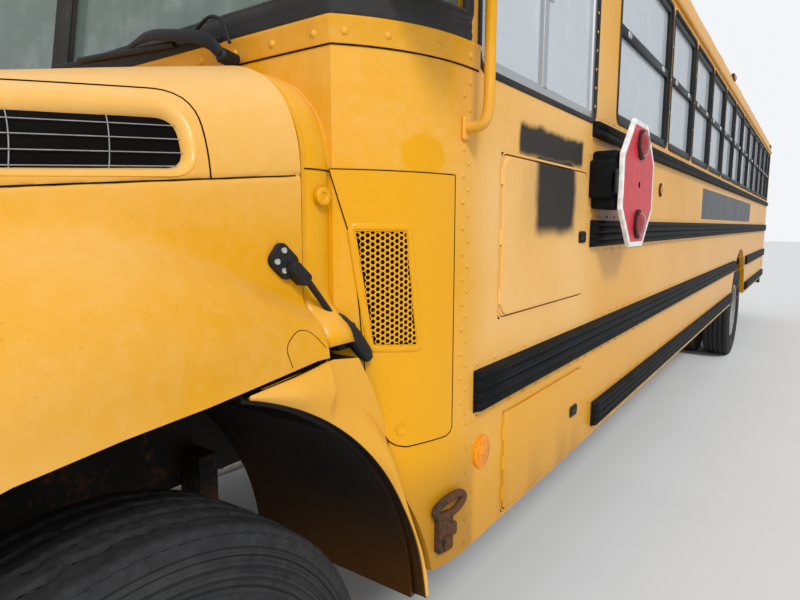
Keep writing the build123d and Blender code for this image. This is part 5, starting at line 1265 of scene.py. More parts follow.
class SCHOOLBUS_OT_cowl(bpy.types.Operator):
    """Dress the cowl: vent panels, the band behind the hood, the windshield's
    flange, fender lips and hooks"""

    bl_idname = "schoolbus.cowl"
    bl_label = "Cowl"

    def execute(self, context):
        panels, frames, sheets, backs, flares, plugs, seams, spots, hooks = ([] for _ in range(9))
        plug = [(-0.004, 0.018), (0.004, 0.018), (0.0065, 0.015), (0.0065, 0.009), (0.004, 0.007),
                (0.004, 0.0)]
        spot = [(0.0, 0.042), (0.005, 0.042), (0.007, 0.039), (0.008, 0.0)]
        for side in (1, -1):
            panel, border, frame_parts, sheet, back = vent_panel(side)
            panels.append(panel)
            seams.append(border)
            frames += frame_parts
            sheets.append(sheet)
            backs.append(back)
            flares.append(fender_flare(side))
            plugs.append(turn_about(plug, (4.441, side * 1.088, 1.504), (0.05, side, 0.0), 28))
            spots += [turn_about(spot, (x, side * SIDE_Y, 0.874), (0, side, 0), 40) for x in (4.003, -5.50)]
            hooks += tow_hook(side)
        yellow = "body_yellow"
        fit("body", ("cowl_vent_panels", panels, "fresh", yellow),
            ("cowl_vent_frames", frames, "fresh", yellow))
        piece("cowl_vent_mesh", joined(sheets), "fresh", "body", yellow, smooth=0)
        # The backs behind the holes are painted shade.
        piece("cowl_vent_backs", joined(backs), "dark", "body", "trim_black")
        lips = piece("fender_flares", joined(flares), "flare", "body", yellow, outward=True)
        modified(lips, "SOLIDIFY", thickness=0.005, offset=-1.0)
        fit("body", ("band_plugs", plugs, "paint", yellow),
            ("round_reflectors", spots, "reflector", "lamp_red"))

        line, out = cowl_line()
        cross = [(1.800, -0.004), (1.801, 0.003), (1.805, 0.005), (1.840, 0.005), (1.846, 0.009),
                 (1.853, 0.009), (1.856, 0.004)]
        grid = swept(cross, line, out)
        flange = piece("windshield_flange", (grid, grid_faces(*grid.shape[:2])), "paint", "body", yellow,
                       outward=True)
        modified(flange, "SOLIDIFY", thickness=0.002, offset=-1.0)
        seams.append(tube(spread(*(line + 0.001 * out).T, 1.799), 0.0014, 5))
        bolts, normals = [], []
        angle = np.array([0.033, 0.138, 0.262, 0.350]) / CORNER_R
        for side in (1, -1):
            bow = spread(np.sin(angle), side * np.cos(angle), 0.0)
            bolts += [bow * (CORNER_R + 0.005) + (WALL_FRONT_X, side * CORNER_Y, 1.823),
                      spread(COWL_X + 0.005, side * np.linspace(1.04, 0.1, 9), 1.823)]
            normals += [bow, np.tile((1.0, 0.0, 0.0), (9, 1))]
        heads = domes(np.vstack(bolts), np.vstack(normals), 0.0085, 0.004, 10)
        piece("flange_bolts", heads, "paint", "body", yellow, smooth=60.0)

        half = hood_half(np.array([HOOD_X[0]]), 0.02, 0.02)[0]
        half = half[half[:, 1] > 1.212]
        path = np.vstack([half, half[-2::-1] * np.array([-1.0, 1.0])])
        ahead = np.gradient(path, axis=0)
        out = np.stack([ahead[:, 1], -ahead[:, 0]], -1)
        out /= np.linalg.norm(out, axis=1)[:, None]
        cross = [(4.396, -0.030), (4.400, -0.012), (4.408, -0.004), (4.424, 0.001), (4.444, 0.002),
                 (4.464, 0.000), (4.476, -0.005), (4.482, -0.013), (4.484, -0.030)]
        grid = np.stack([spread(x, *(path + (height - 0.004) * out).T) for x, height in cross])
        band = piece("cowl_band", (grid, grid_faces(*grid.shape[:2])), "paint", "body", yellow, outward=True)
        modified(band, "SOLIDIFY", thickness=0.003, offset=-1.0)
        joint = int(np.argmin(np.abs(half[:, 1] - 1.562)))
        for row in (joint, len(path) - 1 - joint):
            seams.append(tube(grid[1:-1, row] + 0.0006 * np.append(0.0, out[row]), 0.0014, 5))
        seams += [tube(grid[1], 0.002, 5), tube(grid[-2], 0.003, 5)]
        piece("cowl_seams", joined(seams), "dark", "body", "trim_black")
        fit("body", ("cowl_hooks", hooks, "rust", "trim_black"))
        return {"FINISHED"}


# ---- sides


RAILS = (
    (0.673, 0.771, 3.080, (-1.500, -2.910)), (0.986, 1.095, 4.050, (-1.640, -2.770)),
    (1.371, 1.469, 3.187, None),
    (1.757, 1.812, 3.205, None),
)
RAIL_REAR_X = REAR_X + 0.060
WINDOWS = [(WINDOW_REAR_X, 2.909)] + [
    (WINDOW_REAR_X - WINDOW_PITCH * (k + 1), WINDOW_REAR_X - WINDOW_PITCH * k - 0.055) for k in range(10)
]
WINDOWS.append((-5.600, WINDOWS[-1][0] - 0.055))
BOWS = [REAR_X + 0.03] + [WINDOW_REAR_X - WINDOW_PITCH * k - 0.0275 for k in range(-1, 11)] + [3.3, 4.02]


class SCHOOLBUS_OT_rails(bpy.types.Operator):
    """Roll the ribbed rub rails along both sides"""

    bl_idname = "schoolbus.rails"
    bl_label = "Rub rails"

    def execute(self, context):
        shapes = []
        for side in (1, -1):
            for low, high, front, gap in RAILS:
                end = front if side > 0 else min(front, 3.100)
                wide = high - low
                ribs = 3 if wide > 0.08 else 1
                z = np.linspace(0.0, 1.0, 14 * ribs + 9)
                shoulder = smooth_step(z, 0.0, 0.10) * (1 - smooth_step(z, 0.90, 1.0))
                waves = np.abs(np.cos(pi * ribs * np.clip((z - 0.1) / 0.8, 0, 1))) ** 0.7
                lift = shoulder * (0.015 + 0.009 * waves)
                for near, far in ((RAIL_REAR_X, gap[1]), (gap[0], end)) if gap else ((RAIL_REAR_X, end),):
                    inner = np.arange(near + 0.02, far - 0.02, 0.25)
                    x = np.concatenate([[near, near + 0.001, near + 0.006], inner,
                                        [far - 0.006, far - 0.001, far]])
                    scale = np.concatenate([[0.0, 0.75, 1.0], np.ones(len(inner)), [1.0, 0.75, 0.0]])
                    y = SIDE_Y + np.outer(scale, lift) - 0.0004
                    shapes.append((spread(x[:, None], side * y, low + wide * z), grid_faces(*y.shape)))
        piece("rub_rail_profiles", joined(shapes), "black", "body", "rail_black", ("rub_rails",), 50.0, True)
        return {"FINISHED"}


def roof_line(shoulder_t, crown_t):
    """The right half of the roof's section: Y, Z and the angle, from a small arc
    at the shoulder and a flat one."""
    r, rise = ROOF_CORNER_R, ROOF_TOP_Z - ROOF_EDGE_Z
    y = SIDE_Y - r
    crown_r = ((rise - r) * (rise + r) + y**2) / (2 * (rise - r))
    theta = np.arcsin(y / (crown_r - r))
    a, b = shoulder_t(pi / 2 - theta, r), crown_t(pi / 2 - theta, crown_r)
    return np.vstack([np.column_stack([y + r * np.cos(a), ROOF_EDGE_Z + r * np.sin(a), a]),
                      np.column_stack([crown_r * np.cos(b), ROOF_TOP_Z - crown_r + crown_r * np.sin(b), b])])


class SCHOOLBUS_OT_rivets(bpy.types.Operator):
    """Set rows of rivets along the seams, rails, sills and roof bows"""

    bl_idname = "schoolbus.rivets"
    bl_label = "Rivets"

    def execute(self, context):
        radius, pitch = sizes().rivet, sizes().rivet_pitch
        places, normals = [], []

        def row(start, end, normal, step=pitch):
            line = row_of(start, end, step)
            places.append(line)
            normals.append(np.broadcast_to(np.asarray(normal, float), line.shape))

        rear = REAR_X + 0.05
        for side in (1, -1):
            out = (0, side, 0)
            y = side * (SIDE_Y + 0.0005)
            for z in (0.660, 0.785, 0.972, 1.110, 1.357, 1.483):
                row((rear, y, z), (3.18, y, z), out, 0.10)
            row((rear, y, 1.833), (3.17, y, 1.833), out, 0.075)
            for z in (0.972, 1.110):
                row((3.26, y, z), (4.03, y, z), out, 0.10)
            for x, low, high, step in ((3.209, 0.66, 0.96, 0.05), (3.209, 1.12, 1.75, 0.05),
                                       (3.189, 1.86, 2.54, 0.06)):
                row((x, y, low), (x, y, high), out, step)
            for s, start in ((0.027, 1.000), (0.048, 1.0295)):
                z = np.arange(start, 1.79, 0.059)
                places.append(on_cowl(side)(np.column_stack([np.full(len(z), s), z]), 0.0005))
                normals.append(np.tile((s / CORNER_R, side, 0.0), (len(z), 1)))
            for x in (4.050, 4.080):
                row((x, y, 0.66), (x, y, 0.97), out, 0.059)
            row((4.052, y, 1.83), (4.052, y, 2.52), out, 0.06)
            row((rear, y, 2.545), (4.0, y, 2.545), out)
            for x in (WINDOW_REAR_X - WINDOW_PITCH * k - 0.0275 for k in range(12)):
                if x > -5.6:
                    for shift in (-0.012, 0.012):
                        row((x + shift, y, 1.87), (x + shift, y, 2.51), out, 0.16)
        back = REAR_X - 0.0005
        for z in (1.10, 1.80):
            for a, b in ((-1.15, -0.52), (0.52, 1.15)):
                row((back, a, z), (back, b, z), (-1, 0, 0))
        for y in (-1.19, -0.505, 0.505, 1.19):
            row((back, y, 1.08), (back, y, 2.50), (-1, 0, 0))
        y, z, tilt = roof_line(lambda end, r: np.arange(0.06, end, pitch / r),
                               lambda start, r: np.arange(start + 0.01, pi / 2, pitch / r)).T
        for x in BOWS:
            for side in (1, -1):
                places.append(spread(x, side * y, z))
                normals.append(spread(0.0, side * np.cos(tilt), np.sin(tilt)))
        shape = domes(np.vstack(places), np.vstack(normals), radius, radius * 0.42, 7)
        piece("rivets", shape, "paint", "body", "body_yellow", smooth=60.0)
        return {"FINISHED"}


def frame_ring(low, high, wide, deep, place, r=0.03, back=-0.03):
    """A rounded frame round an opening from low to high: it reaches wide outward
    on the wall and goes back into it."""
    rows = [(-wide, 0.0), (-wide + 0.001, deep * 0.7), (-wide + 0.004, deep), (-0.003, deep),
            (0.001, deep * 0.6),
            (0.002, back)]
    return ring_of(rounded(low, high, r, 5), rows, place)


def side_block(side, x, y, z, r=0.004):
    """A small round-edged box on a side wall: spans in X and Z, and in Y from the wall's face outward."""
    return block((x[0], side * (SIDE_Y + y[0]), z[0]), (x[1], side * (SIDE_Y + y[1]), z[1]), r, 2)


class SCHOOLBUS_OT_windows(bpy.types.Operator):
    """Frame the side windows, set rubber round them and round the rear windows, and add their latches"""

    bl_idname = "schoolbus.windows"
    bl_label = "Windows"

    def execute(self, context):
        wide = sizes().gasket
        gaskets, sashes, alloys, latches = [], [], [], []
        inner = [(0.0, -0.008), (0.0, -0.006), (0.003, -0.004), (0.026, -0.004), (0.030, -0.009),
                 (0.030, -0.036)]
        openings = [(x, WINDOW_Z) for x in WINDOWS]
        for side in (1, -1):
            place = on_side(side)
            for (near, far), (low, high) in openings + [(DRIVER_X, DRIVER_Z)] * (side > 0):
                driver = low != WINDOW_Z[0]
                gaskets.append(frame_ring((near, low), (far, high), wide, 0.004, place, 0.03))
                frame_shape = ring_of(rounded((near, low), (far, high), 0.025, 5), inner, place)
                if driver:
                    alloys += [frame_shape,
                               side_block(side, (3.623, 3.655), (-0.034, -0.004), (low + 0.02, high - 0.02))]
                    latches.append(side_block(side, (3.60, 3.625), (-0.006, 0.002), (2.08, 2.14)))
                    continue
                sashes += [frame_shape,
                           side_block(side, (near + 0.02, far - 0.02), (-0.030, -0.005), (2.186, 2.224),
                                      0.005)]
                latches += [side_block(side, (x - 0.022, x + 0.022), (-0.008, 0.0005), (2.192, 2.214))
                            for x in (near + 0.14, far - 0.14)]
        for side in (1, -1):
            left, right = sorted((side * 0.57, side * 1.09))
            gaskets.append(frame_ring((left, 1.90), (right, 2.44), wide, 0.005, on_rear, 0.05))
        fit("body", ("window_gaskets", gaskets, "rubber", "trim_black"),
            ("window_frames", sashes, "sash", "sash_black", "window_sashes"),
            ("driver_window_frame", alloys, "alloy", "radiator_metal"),
            ("window_latches", latches, "alloy", "radiator_metal"))
        return {"FINISHED"}


def capped(outline, rows, place, floor=False):
    """Rings along an outline, closed by a face over the last one, and with floor
    by one over the first too."""
    n = len(outline)
    points, faces = ring_of(outline, rows, place)
    lids = [[(len(rows) - 1) * n + k for k in range(n)]] + [list(range(n))[::-1]] * floor
    return points, [list(face) for face in faces] + lids


def knuckle(half, r, at, sides=14):
    """A hinge's knuckle: an upright pin that reaches half above and half below its place."""
    return turn_about([(-half, 0.0), (-half, r), (half, r), (half, 0.0)], at, (0, 0, 1), sides)


class SCHOOLBUS_OT_doors(bpy.types.Operator):
    """Skin the side doors, trim the entrance and rear doors, and fit hinges, latches and handles"""

    bl_idname = "schoolbus.doors"
    bl_label = "Doors"

    def execute(self, context):
        left, right = on_side(1), on_side(-1)
        yellow = "body_yellow"
        for name, (x0, x1), (z0, z1), (x, z), key, r in (
            ("access_door", (3.237, 3.923), (1.206, 1.633), (3.289, 1.410), "marked", 0.045),
            ("battery_door", (3.225, 3.877), (0.652, 0.946), (3.309, 0.800), "paint", 0.018),
        ):
            outline = rounded((x0 + 0.007, z0 + 0.007), (x1 - 0.007, z1 - 0.007), r, 8)
            rows = [(0.0, -0.012), (0.0, 0.002), (0.0012, 0.005), (0.004, 0.006), (0.009, 0.006)]
            skin = capped(outline, rows, left, True)
            outline = rounded((x - 0.032, z - 0.016), (x + 0.032, z + 0.016), 0.007, 4)
            rows = [(-0.004, 0.006), (-0.003, 0.0095), (0.001, 0.0095), (0.004, 0.007), (0.006, 0.0065)]
            cup = capped(outline, rows, left)
            lever = side_block(1, (x - 0.020, x + 0.022), (0.006, 0.0105), (z - 0.009, z + 0.009), 0.003)
            fit(name, (f"{name}_skin", [skin], key, yellow),
                (f"{name}_latch", [cup, lever], "plastic", "trim_black"))
            pins = [knuckle(0.02, 0.005, (x1 - 0.004, SIDE_Y + 0.001, height), 12)
                    for height in np.linspace(z0 + 0.06, z1 - 0.06, 3)]
            rows = [(-0.004, 0.0006), (0.0, 0.0012), (0.002, 0.0006), (0.002, -0.02)]
            rim = ring_of(rounded((x0, z0), (x1, z1), 0.03, 6), rows, left)
            fit("body", (f"{name}_hinges", pins, "paint", yellow), (f"{name}_edge", [rim], "paint", yellow))

        for name, (x0, x1) in (("entry_leaf_rear", (3.165, 3.554)), ("entry_leaf_front", (3.566, 3.955))):
            seals = [frame_ring((x0 + 0.045, z0), (x1 - 0.045, z1), 0.014, 0.005, right, 0.04, -0.018)
                     for z0, z1 in ((0.500, 1.290), (1.370, 2.410))]
            x = x1 - 0.004 if name.endswith("rear") else x0 + 0.004
            seals.append(block((x - 0.005, -SIDE_Y - 0.004, 0.43), (x + 0.005, -SIDE_Y + 0.030, 2.46), 0.003,
                               2))
            a, b = x0 + 0.03, x1 - 0.03
            path = bent([(a, -1.165, 1.33), (a, -1.115, 1.33), (b, -1.115, 1.33), (b, -1.165, 1.33)], 0.03)
            fit(name, (f"{name}_seals", seals, "rubber", "trim_black"),
                (f"{name}_bar", [tube(path, 0.011, 10)], "alloy", "radiator_metal"))

        seals = [frame_ring((-0.37, z0), (0.37, z1), 0.016, 0.005, on_rear, 0.05)
                 for z0, z1 in ((1.25, 1.64), (1.84, 2.40))]
        rows = [(0.0, -0.02), (0.0, 0.003), (0.003, 0.006), (0.012, 0.006), (0.016, 0.001)]
        seals.append(ring_of(rounded((-0.464, 1.066), (0.464, 2.494), 0.03, 6), rows, on_rear))
        grip = bent(spread(REAR_X - np.array([0.01, 0.055, 0.055, 0.050]), [0.375, 0.375, 0.250, 0.19],
                           1.745), 0.02)
        handle = [plate(rounded((0.330, 1.700), (0.420, 1.790), 0.02), 0.012, on_rear, 0.004),
                  tube(grip, 0.010, 10)]
        fit("rear_door", ("rear_door_seals", seals, "rubber", "trim_black"),
            ("rear_door_handle", handle, "chrome", "radiator_metal"))
        hinges = []
        for z in (1.22, 1.75, 2.32):
            hinges += [plate(rounded((-0.60, z - 0.04), (-0.475, z + 0.04), 0.012), 0.008, on_rear, 0.003),
                       knuckle(0.045, 0.012, (REAR_X - 0.006, -0.464, z))]
        fit("body", ("rear_door_hinges", hinges, "paint", yellow))
        return {"FINISHED"}


class SCHOOLBUS_OT_stop_arm(bpy.types.Operator):
    """Make the stop arm: its box, the eight-sided sign with a white border and no words, and its lamps"""

    bl_idname = "schoolbus.stop_arm"
    bl_label = "Stop arm"

    def execute(self, context):
        centre = np.array([2.975, 1.600])
        t = np.linspace(0.0, 1.0, 7)[:-1]
        angle = pi / 8 + np.arange(9) * pi / 4

        def sides(*rows):
            """Rings of an octagon, each at half its width and a Y."""
            rings = []
            for half, y in rows:
                corners = centre + half / cos(pi / 8) * np.stack([np.cos(angle), np.sin(angle)], -1)
                edges = [a + (b - a) * t[:, None] for a, b in zip(corners[:-1], corners[1:])]
                rings.append((np.concatenate(edges), y))
            return ringed(rings, on_side(1, 0.0))

        border = [sides((0.2285, 1.316), (0.2285, 1.327), (0.2270, 1.329), (0.2100, 1.329)),
                  sides((0.2285, 1.316), (0.2270, 1.3145), (0.2100, 1.3145))]
        faces = [sides((0.2100, y), (0.2090, y + lift), (0.012, y + lift))
                 for y, lift in ((1.329, 0.0006), (1.3145, -0.0006))]
        piece("stop_sign_border", joined(border), "white", "stop_sign", "sign_red", ("stop_sign",), 30.0,
              True)
        piece("stop_sign_face", joined(faces), "sign", "stop_sign", "sign_red", (), 30.0, True)
        lenses, cups = [], []
        cup = [(0.0, 0.055), (0.006, 0.055), (0.009, 0.052), (0.009, 0.047), (0.0, 0.047)]
        for z in (1.745, 1.455):
            for y, out, deep in ((1.3295, 1, 0.030), (1.3140, -1, 0.024)):
                lens = [(0.0, 0.047), (deep * 0.5, 0.045), (deep * 0.85, 0.032), (deep, 0.012), (deep, 0.0)]
                for shapes, profile in ((lenses, lens), (cups, cup)):
                    shapes.append(turn_about(profile, (centre[0], y, z), (0, out, 0), 30))
        cups.append(block((3.150, 1.3095, 1.560), (3.235, 1.3165, 1.640), 0.003, 2))
        fit("stop_sign", ("stop_sign_lamps", lenses, "lamp", "lamp_red"),
            ("stop_sign_mounts", cups, "plastic", "housing_black"))
        box = [block((2.950, 1.219, 1.508), (3.194, 1.306, 1.709), 0.012, 4),
               block((3.186, 1.219, 1.545), (3.222, 1.300, 1.675), 0.008, 3)]
        box += [knuckle(0.016, 0.010, (3.2035, 1.300, z)) for z in (1.570, 1.650)]
        box += [block((2.960, 1.219, z - 0.003), (3.190, 1.3085, z + 0.003), 0.0025, 2)
                for z in (1.552, 1.608, 1.665)]
        fit("body", ("stop_arm_box", box, "black", "housing_black", "stop_arm_housing"))
        return {"FINISHED"}


# ---- wheels


def tread_depth(t, y, rear):
    """How deep the tread is cut at an angle and a distance across: four zigzag grooves with fine cuts
    between them, and on the rear tyres blocks set off by cross grooves."""
    count = 46.0
    grooves = (-0.066, -0.023, 0.023, 0.066)
    wave = 0.0035 * np.arcsin(np.sin(count * t)) / (pi / 2)
    deep = np.zeros(np.broadcast(t, y).shape)
    for line in grooves:
        deep = np.maximum(deep, smooth_step(0.0062 - np.abs(y - line - wave), 0.0, 0.0024))
    if rear:
        blocks = np.abs(np.sin(count * t / 2 + 9.0 * y))
        away = smooth_step(np.abs(y), 0.020, 0.030)
        deep = np.maximum(deep, 0.9 * smooth_step(0.16 - blocks, 0.0, 0.10) * away)
    else:
        cuts = np.abs(np.sin(count * t + 30.0 * y))
        near = sum(smooth_step(0.016 - np.abs(y - line), 0.0, 0.004) for line in grooves)
        deep = np.maximum(deep, 0.35 * smooth_step(0.22 - cuts, 0.0, 0.14) * np.minimum(near, 1.0))
    return deep


def tyre(centre, side, rear, steps=330):
    """A tyre: its section (distance outward, radius) turned about the axle, with
    the tread cut in as a displacement.

    The section is a flat tread, a round shoulder with a rib, a bulged side wall with rings and a bead."""
    r = 0.505
    tread = np.linspace(-0.103, 0.103, 43)
    crown = r - 0.0045 * (tread / 0.103) ** 2
    bend = np.linspace(0.0, 1.0, 8 if rear else 16)[1:]
    shoulder_y = 0.103 + 0.019 * np.sin(bend * pi / 2)
    shoulder_r = (r - 0.0045) - 0.030 * (1 - np.cos(bend * pi / 2)) - 0.004 * bend
    wall = np.linspace(0.0, 1.0, 26)[1:]
    if not rear:
        wall = np.append(np.linspace(0.0, 0.5, 60)[1:], np.linspace(0.5, 1.0, 14)[1:])
    wall_r = shoulder_r[-1] + (0.300 - shoulder_r[-1]) * wall
    wall_y = 0.122 + 0.0045 * np.sin(pi * np.clip(wall * 1.35, 0, 1)) - 0.026 * smooth_step(wall, 0.62, 1.0)
    for ring, lift, width in ((0.05, 0.0030, 0.016), (0.15, 0.0050, 0.030), (0.26, 0.0046, 0.030),
                              (0.39, 0.0040, 0.020),
                              (0.80, 0.002, 0.018)):
        wall_y = wall_y + lift * smooth_step(-np.abs(wall - ring), -1.6 * width, -0.6 * width)
    flank = np.column_stack([np.concatenate([shoulder_y, wall_y]), np.concatenate([shoulder_r, wall_r])])
    bead = np.array([(0.094, 0.2900), (0.086, 0.2865)])
    inward = (flank if rear else flank[::2]) * (-1, 1)
    profile = np.vstack([inward[::-1], np.column_stack([tread, crown]), flank])
    profile = np.vstack([(bead * (-1, 1))[::-1], profile, bead])
    t = np.linspace(0.0, 2 * pi, steps, endpoint=False)
    y = profile[:, 0:1]
    on_tread = (np.abs(y) < 0.104) & (profile[:, 1:2] > 0.48)
    radius = profile[:, 1:2] - sizes().groove * on_tread * tread_depth(t[None, :], y, rear)
    if rear:
        lugs = (np.abs(y) > 0.104) & (profile[:, 1:2] > 0.478)
        radius = radius - 0.0035 * lugs * smooth_step(0.35 - np.abs(np.sin(23.0 * t[None, :])), 0.0, 0.2)
    else:
        line = 0.1155 + 0.0007 * np.arcsin(np.sin(110.0 * t[None, :])) / (pi / 2)
        cut = smooth_step(-np.abs(np.abs(y) - line), -0.0018, -0.0006) * (profile[:, 1:2] > 0.47)
        radius = radius - 0.0035 * cut
    points = spread(centre[0] + radius * np.cos(t), centre[1] + side * y, centre[2] + radius * np.sin(t))
    return points, grid_faces(len(profile), steps, True, True)


def wheel_disc(centre, side, profile, holes, hole_r, at_r, steps=160):
    """A wheel disc: a profile turned about the axle, with round hand holes pressed in as a displacement."""
    profile = np.asarray(profile, float)
    fine = [profile[:1]]
    for a, b in zip(profile[:-1], profile[1:]):
        n = max(1, int(np.linalg.norm(b - a) / 0.007))
        fine.append(a + (b - a) * np.linspace(0, 1, n + 1)[1:, None])
    profile = np.vstack(fine)
    t = np.linspace(0.0, 2 * pi, steps, endpoint=False)
    hole_t = np.arange(holes) * 2 * pi / holes
    x, z = profile[:, 1:2] * np.cos(t), profile[:, 1:2] * np.sin(t)
    gap = np.min(np.stack([np.hypot(x - at_r * cos(h), z - at_r * sin(h)) for h in hole_t]), axis=0)
    press = 0.022 * smooth_step(hole_r - gap, -0.002, 0.006)
    points = spread(centre[0] + x, centre[1] + side * (profile[:, 0:1] - press), centre[2] + z)
    return points, grid_faces(len(profile), steps, False, True), press > 0.012


def bolts_round(place, side, r, out, angles, *forms):
    """Bolts about a wheel's axle, at radius r and out along it: each form is a
    profile and its number of sides."""
    return [turn_about(profile, place + np.array([r * cos(a), side * out, r * sin(a)]), (0, side, 0), sides)
            for a in angles for profile, sides in forms]


class SCHOOLBUS_OT_wheels(bpy.types.Operator):
    """Mould the treaded tyres and press the wheel discs, with hubs, hand holes and nuts"""

    bl_idname = "schoolbus.wheels"
    bl_label = "Wheels"

    def execute(self, context):
        rim = [(0.100, 0.286), (0.108, 0.288), (0.110, 0.283), (0.108, 0.270), (0.090, 0.262)]
        front = rim + [(0.062, 0.256), (0.056, 0.240), (0.070, 0.205), (0.084, 0.172), (0.086, 0.118),
                       (0.080, 0.110)]
        rear = rim + [(0.030, 0.258), (-0.060, 0.252), (-0.088, 0.236), (-0.092, 0.170), (-0.080, 0.150),
                      (-0.080, 0.118)]
        hub_front = [(0.070, 0.112), (0.090, 0.108), (0.096, 0.090), (0.100, 0.084), (0.122, 0.082),
                     (0.127, 0.076), (0.128, 0.0)]
        hub_rear = [(-0.086, 0.122), (-0.040, 0.112), (0.040, 0.106), (0.052, 0.100), (0.060, 0.088),
                    (0.068, 0.070), (0.070, 0.0)]
        cap = ([(0.0, 0.009), (0.010, 0.009), (0.013, 0.006), (0.013, 0.0)], 6)
        washer = ([(-0.012, 0.024), (0.004, 0.024), (0.006, 0.019)], 20)
        nut = ([(0.0, 0.0185), (0.024, 0.0185), (0.028, 0.014), (0.028, 0.0)], 6)
        for word, side in (("left", 1), ("right", -1)):
            steer, outer, inner = (axle + (0.0, side * y, 0.0) for axle, y in (
                (FRONT_AXLE, 1.040), (REAR_AXLE, 1.071), (REAR_AXLE, 0.748)))
            for end, shape in (("front_tyre", tyre(steer, side, False)),
                               ("rear_tyres",
                                joined([tyre(outer, side, True, 230), tyre(inner, side, True, 138)]))):
                piece(f"{end}_{word}_moulded", shape, "tyre", f"{end[:5].rstrip('_')}_wheel_{word}", "tyre",
                      (f"{end}_{word}",), 50.0, True)
            for end, place, profile, hub, seat, at_r in (
                ("front", steer, front, hub_front, 0.086, 0.212),
                ("rear", outer, rear, hub_rear, -0.086, 0.205),
            ):
                wheel = f"{end}_wheel_{word}"
                points, faces, deep = wheel_disc(place, side, profile, 5, 0.026, at_r)
                disc = piece(f"{end}_disc_{word}", (points, faces), "rim", wheel, "rim_grey")
                # The floors of the pressed hand holes get the near-black finish: painted shade in place of
                # real holes.
                disc.data.materials.append(FINISHES["dark"])
                index = np.zeros(len(disc.data.polygons), np.int32)
                mask = (deep[:-1] & np.roll(deep[:-1], -1, 1)).reshape(-1)
                index[: len(mask)] = mask
                disc.data.polygons.foreach_set("material_index", index)
                cleaned(disc.data, merge=0)
                parts = [turn_about(hub, place, (0, side, 0), 48)]
                parts += bolts_round(place, side, 0.060, hub[-1][0] - 0.006,
                                     [k * pi / 4 + 0.2 for k in range(8)], cap)
                fit(wheel, (f"{end}_hub_{word}", parts, "cast", "rim_grey"))
                nuts = bolts_round(place, side, 0.143, seat, [(k + 0.5) * 2 * pi / 10 for k in range(10)],
                                   washer, nut)
                piece(f"{end}_nuts_{word}", joined(nuts), "pipe", wheel, "rim_grey", (), 25.0, True)
        return {"FINISHED"}


# ---- mirrors, lamps, bumpers and roof


class SCHOOLBUS_OT_mirrors(bpy.types.Operator):
    """Form the door mirrors on their arms, the domed mirrors on the fenders and the grab rail"""

    bl_idname = "schoolbus.mirrors"
    bl_label = "Mirrors"

    def execute(self, context):
        arms, shells, glasses, posts, domes_, curved = ([] for _ in range(6))
        dome = [(0.046, 0.0), (0.046, 0.050), (0.040, 0.078), (0.024, 0.089), (0.008, 0.092)]
        glass = [(0.008, 0.090), (-0.010, 0.084), (-0.028, 0.066), (-0.041, 0.040), (-0.047, 0.0)]
        for side in (1, -1):
            turned = np.array([1.0, side, 1.0])
            for z, x in ((1.937, 4.338), (2.552, 4.238)):
                path = bent([(x, 1.186, z), (x, 1.348, z), (4.338, 1.348, z)] if x < 4.3 else
                            [(x, 1.130, z), (x, 1.348, z), (x, 1.348, z + 0.06)], 0.04)
                foot = np.array([x, path[0, 1], z])
                arms += [tube(path * turned, 0.0115, 12),
                         block((foot - (0.024, 0.012, 0.036)) * turned,
                               (foot + (0.024, 0.006, 0.036)) * turned, 0.006)]
            arms.append(tube(np.linspace((4.338, 1.348, 1.937), (4.338, 1.348, 2.552), 6) * turned, 0.0115,
                             12))
            for low, high in ((2.148, 2.512), (1.968, 2.112)):
                shells.append(block((4.303, side * 1.243, low), (4.373, side * 1.437, high), 0.032, 5))
                edges = sorted((side * 1.256, side * 1.424))
                outline = rounded((edges[0], low + 0.014), (edges[1], high - 0.014), 0.024, 6)
                glasses.append(plate(outline, 0.003, lambda ab, height: spread(4.303 - height, *ab.T), 0.001))
            post = bent([(5.392, 1.052, 1.235), (5.392, 1.052, 1.42), (5.392, 1.052, 1.50)], 0.05)
            posts += [tube(post * turned, 0.012, 10),
                      block((5.350, side * 1.012, 1.226), (5.434, side * 1.092, 1.262), 0.010)]
            for shapes, profile in ((domes_, dome), (curved, glass)):
                shapes.append(turn_about(profile, (5.390, side * 1.052, 1.590), (1, 0, 0), 40))
        fit("body", ("mirror_arms", arms, "black", "mirror_black", "mirrors"),
            ("mirror_shells", shells, "plastic", "mirror_black"),
            ("mirror_glass", glasses, "mirror", "glass"))
        fit("hood", ("crossview_arms", posts, "black", "mirror_black", "crossview_mirrors"),
            ("crossview_shells", domes_, "plastic", "mirror_black"),
            ("crossview_glass", curved, "mirror", "glass"))
        path = bent([(4.107, 1.219, 1.665), (4.107, 1.262, 1.667), (4.107, 1.275, 1.70), (4.107, 1.275, 2.03),
                     (4.107, 1.262, 2.067), (4.107, 1.219, 2.069)], 0.035, 8)
        rail = [tube(path, 0.0125, 14)]
        rail += [block((4.090, 1.2145, z - 0.026), (4.124, 1.2245, z + 0.026), 0.006, 3)
                 for z in (1.665, 2.069)]
        fit("body", ("grab_rail", rail, "paint", "handle_black", "grab_handle"))
        return {"FINISHED"}


REAR_LAMPS = ((0.850, 2.740, 0.089, "amber"), (0.580, 2.790, 0.089, "lamp"), (1.000, 1.480, 0.089, "lamp"),
              (0.780, 1.480, 0.089, "lamp"), (1.000, 1.230, 0.060, "clear_lens"))


def round_lamp(centre, out, radius, deep, steps=40):
    """A round lamp: a lens of two curves, and the rubber ring that it sits in."""
    lens = [(0.4, 0.90), (0.75, 0.86), (0.95, 0.6), (1.0, 0.25), (1.0, 0.0)]
    ring = [(0.0, 1.0), (0.45, 1.0), (0.6, 0.96), (0.45, 0.89), (0.3, 0.88)]
    return [turn_about(np.array(profile) * (deep, radius), centre, out, steps) for profile in (lens, ring)]


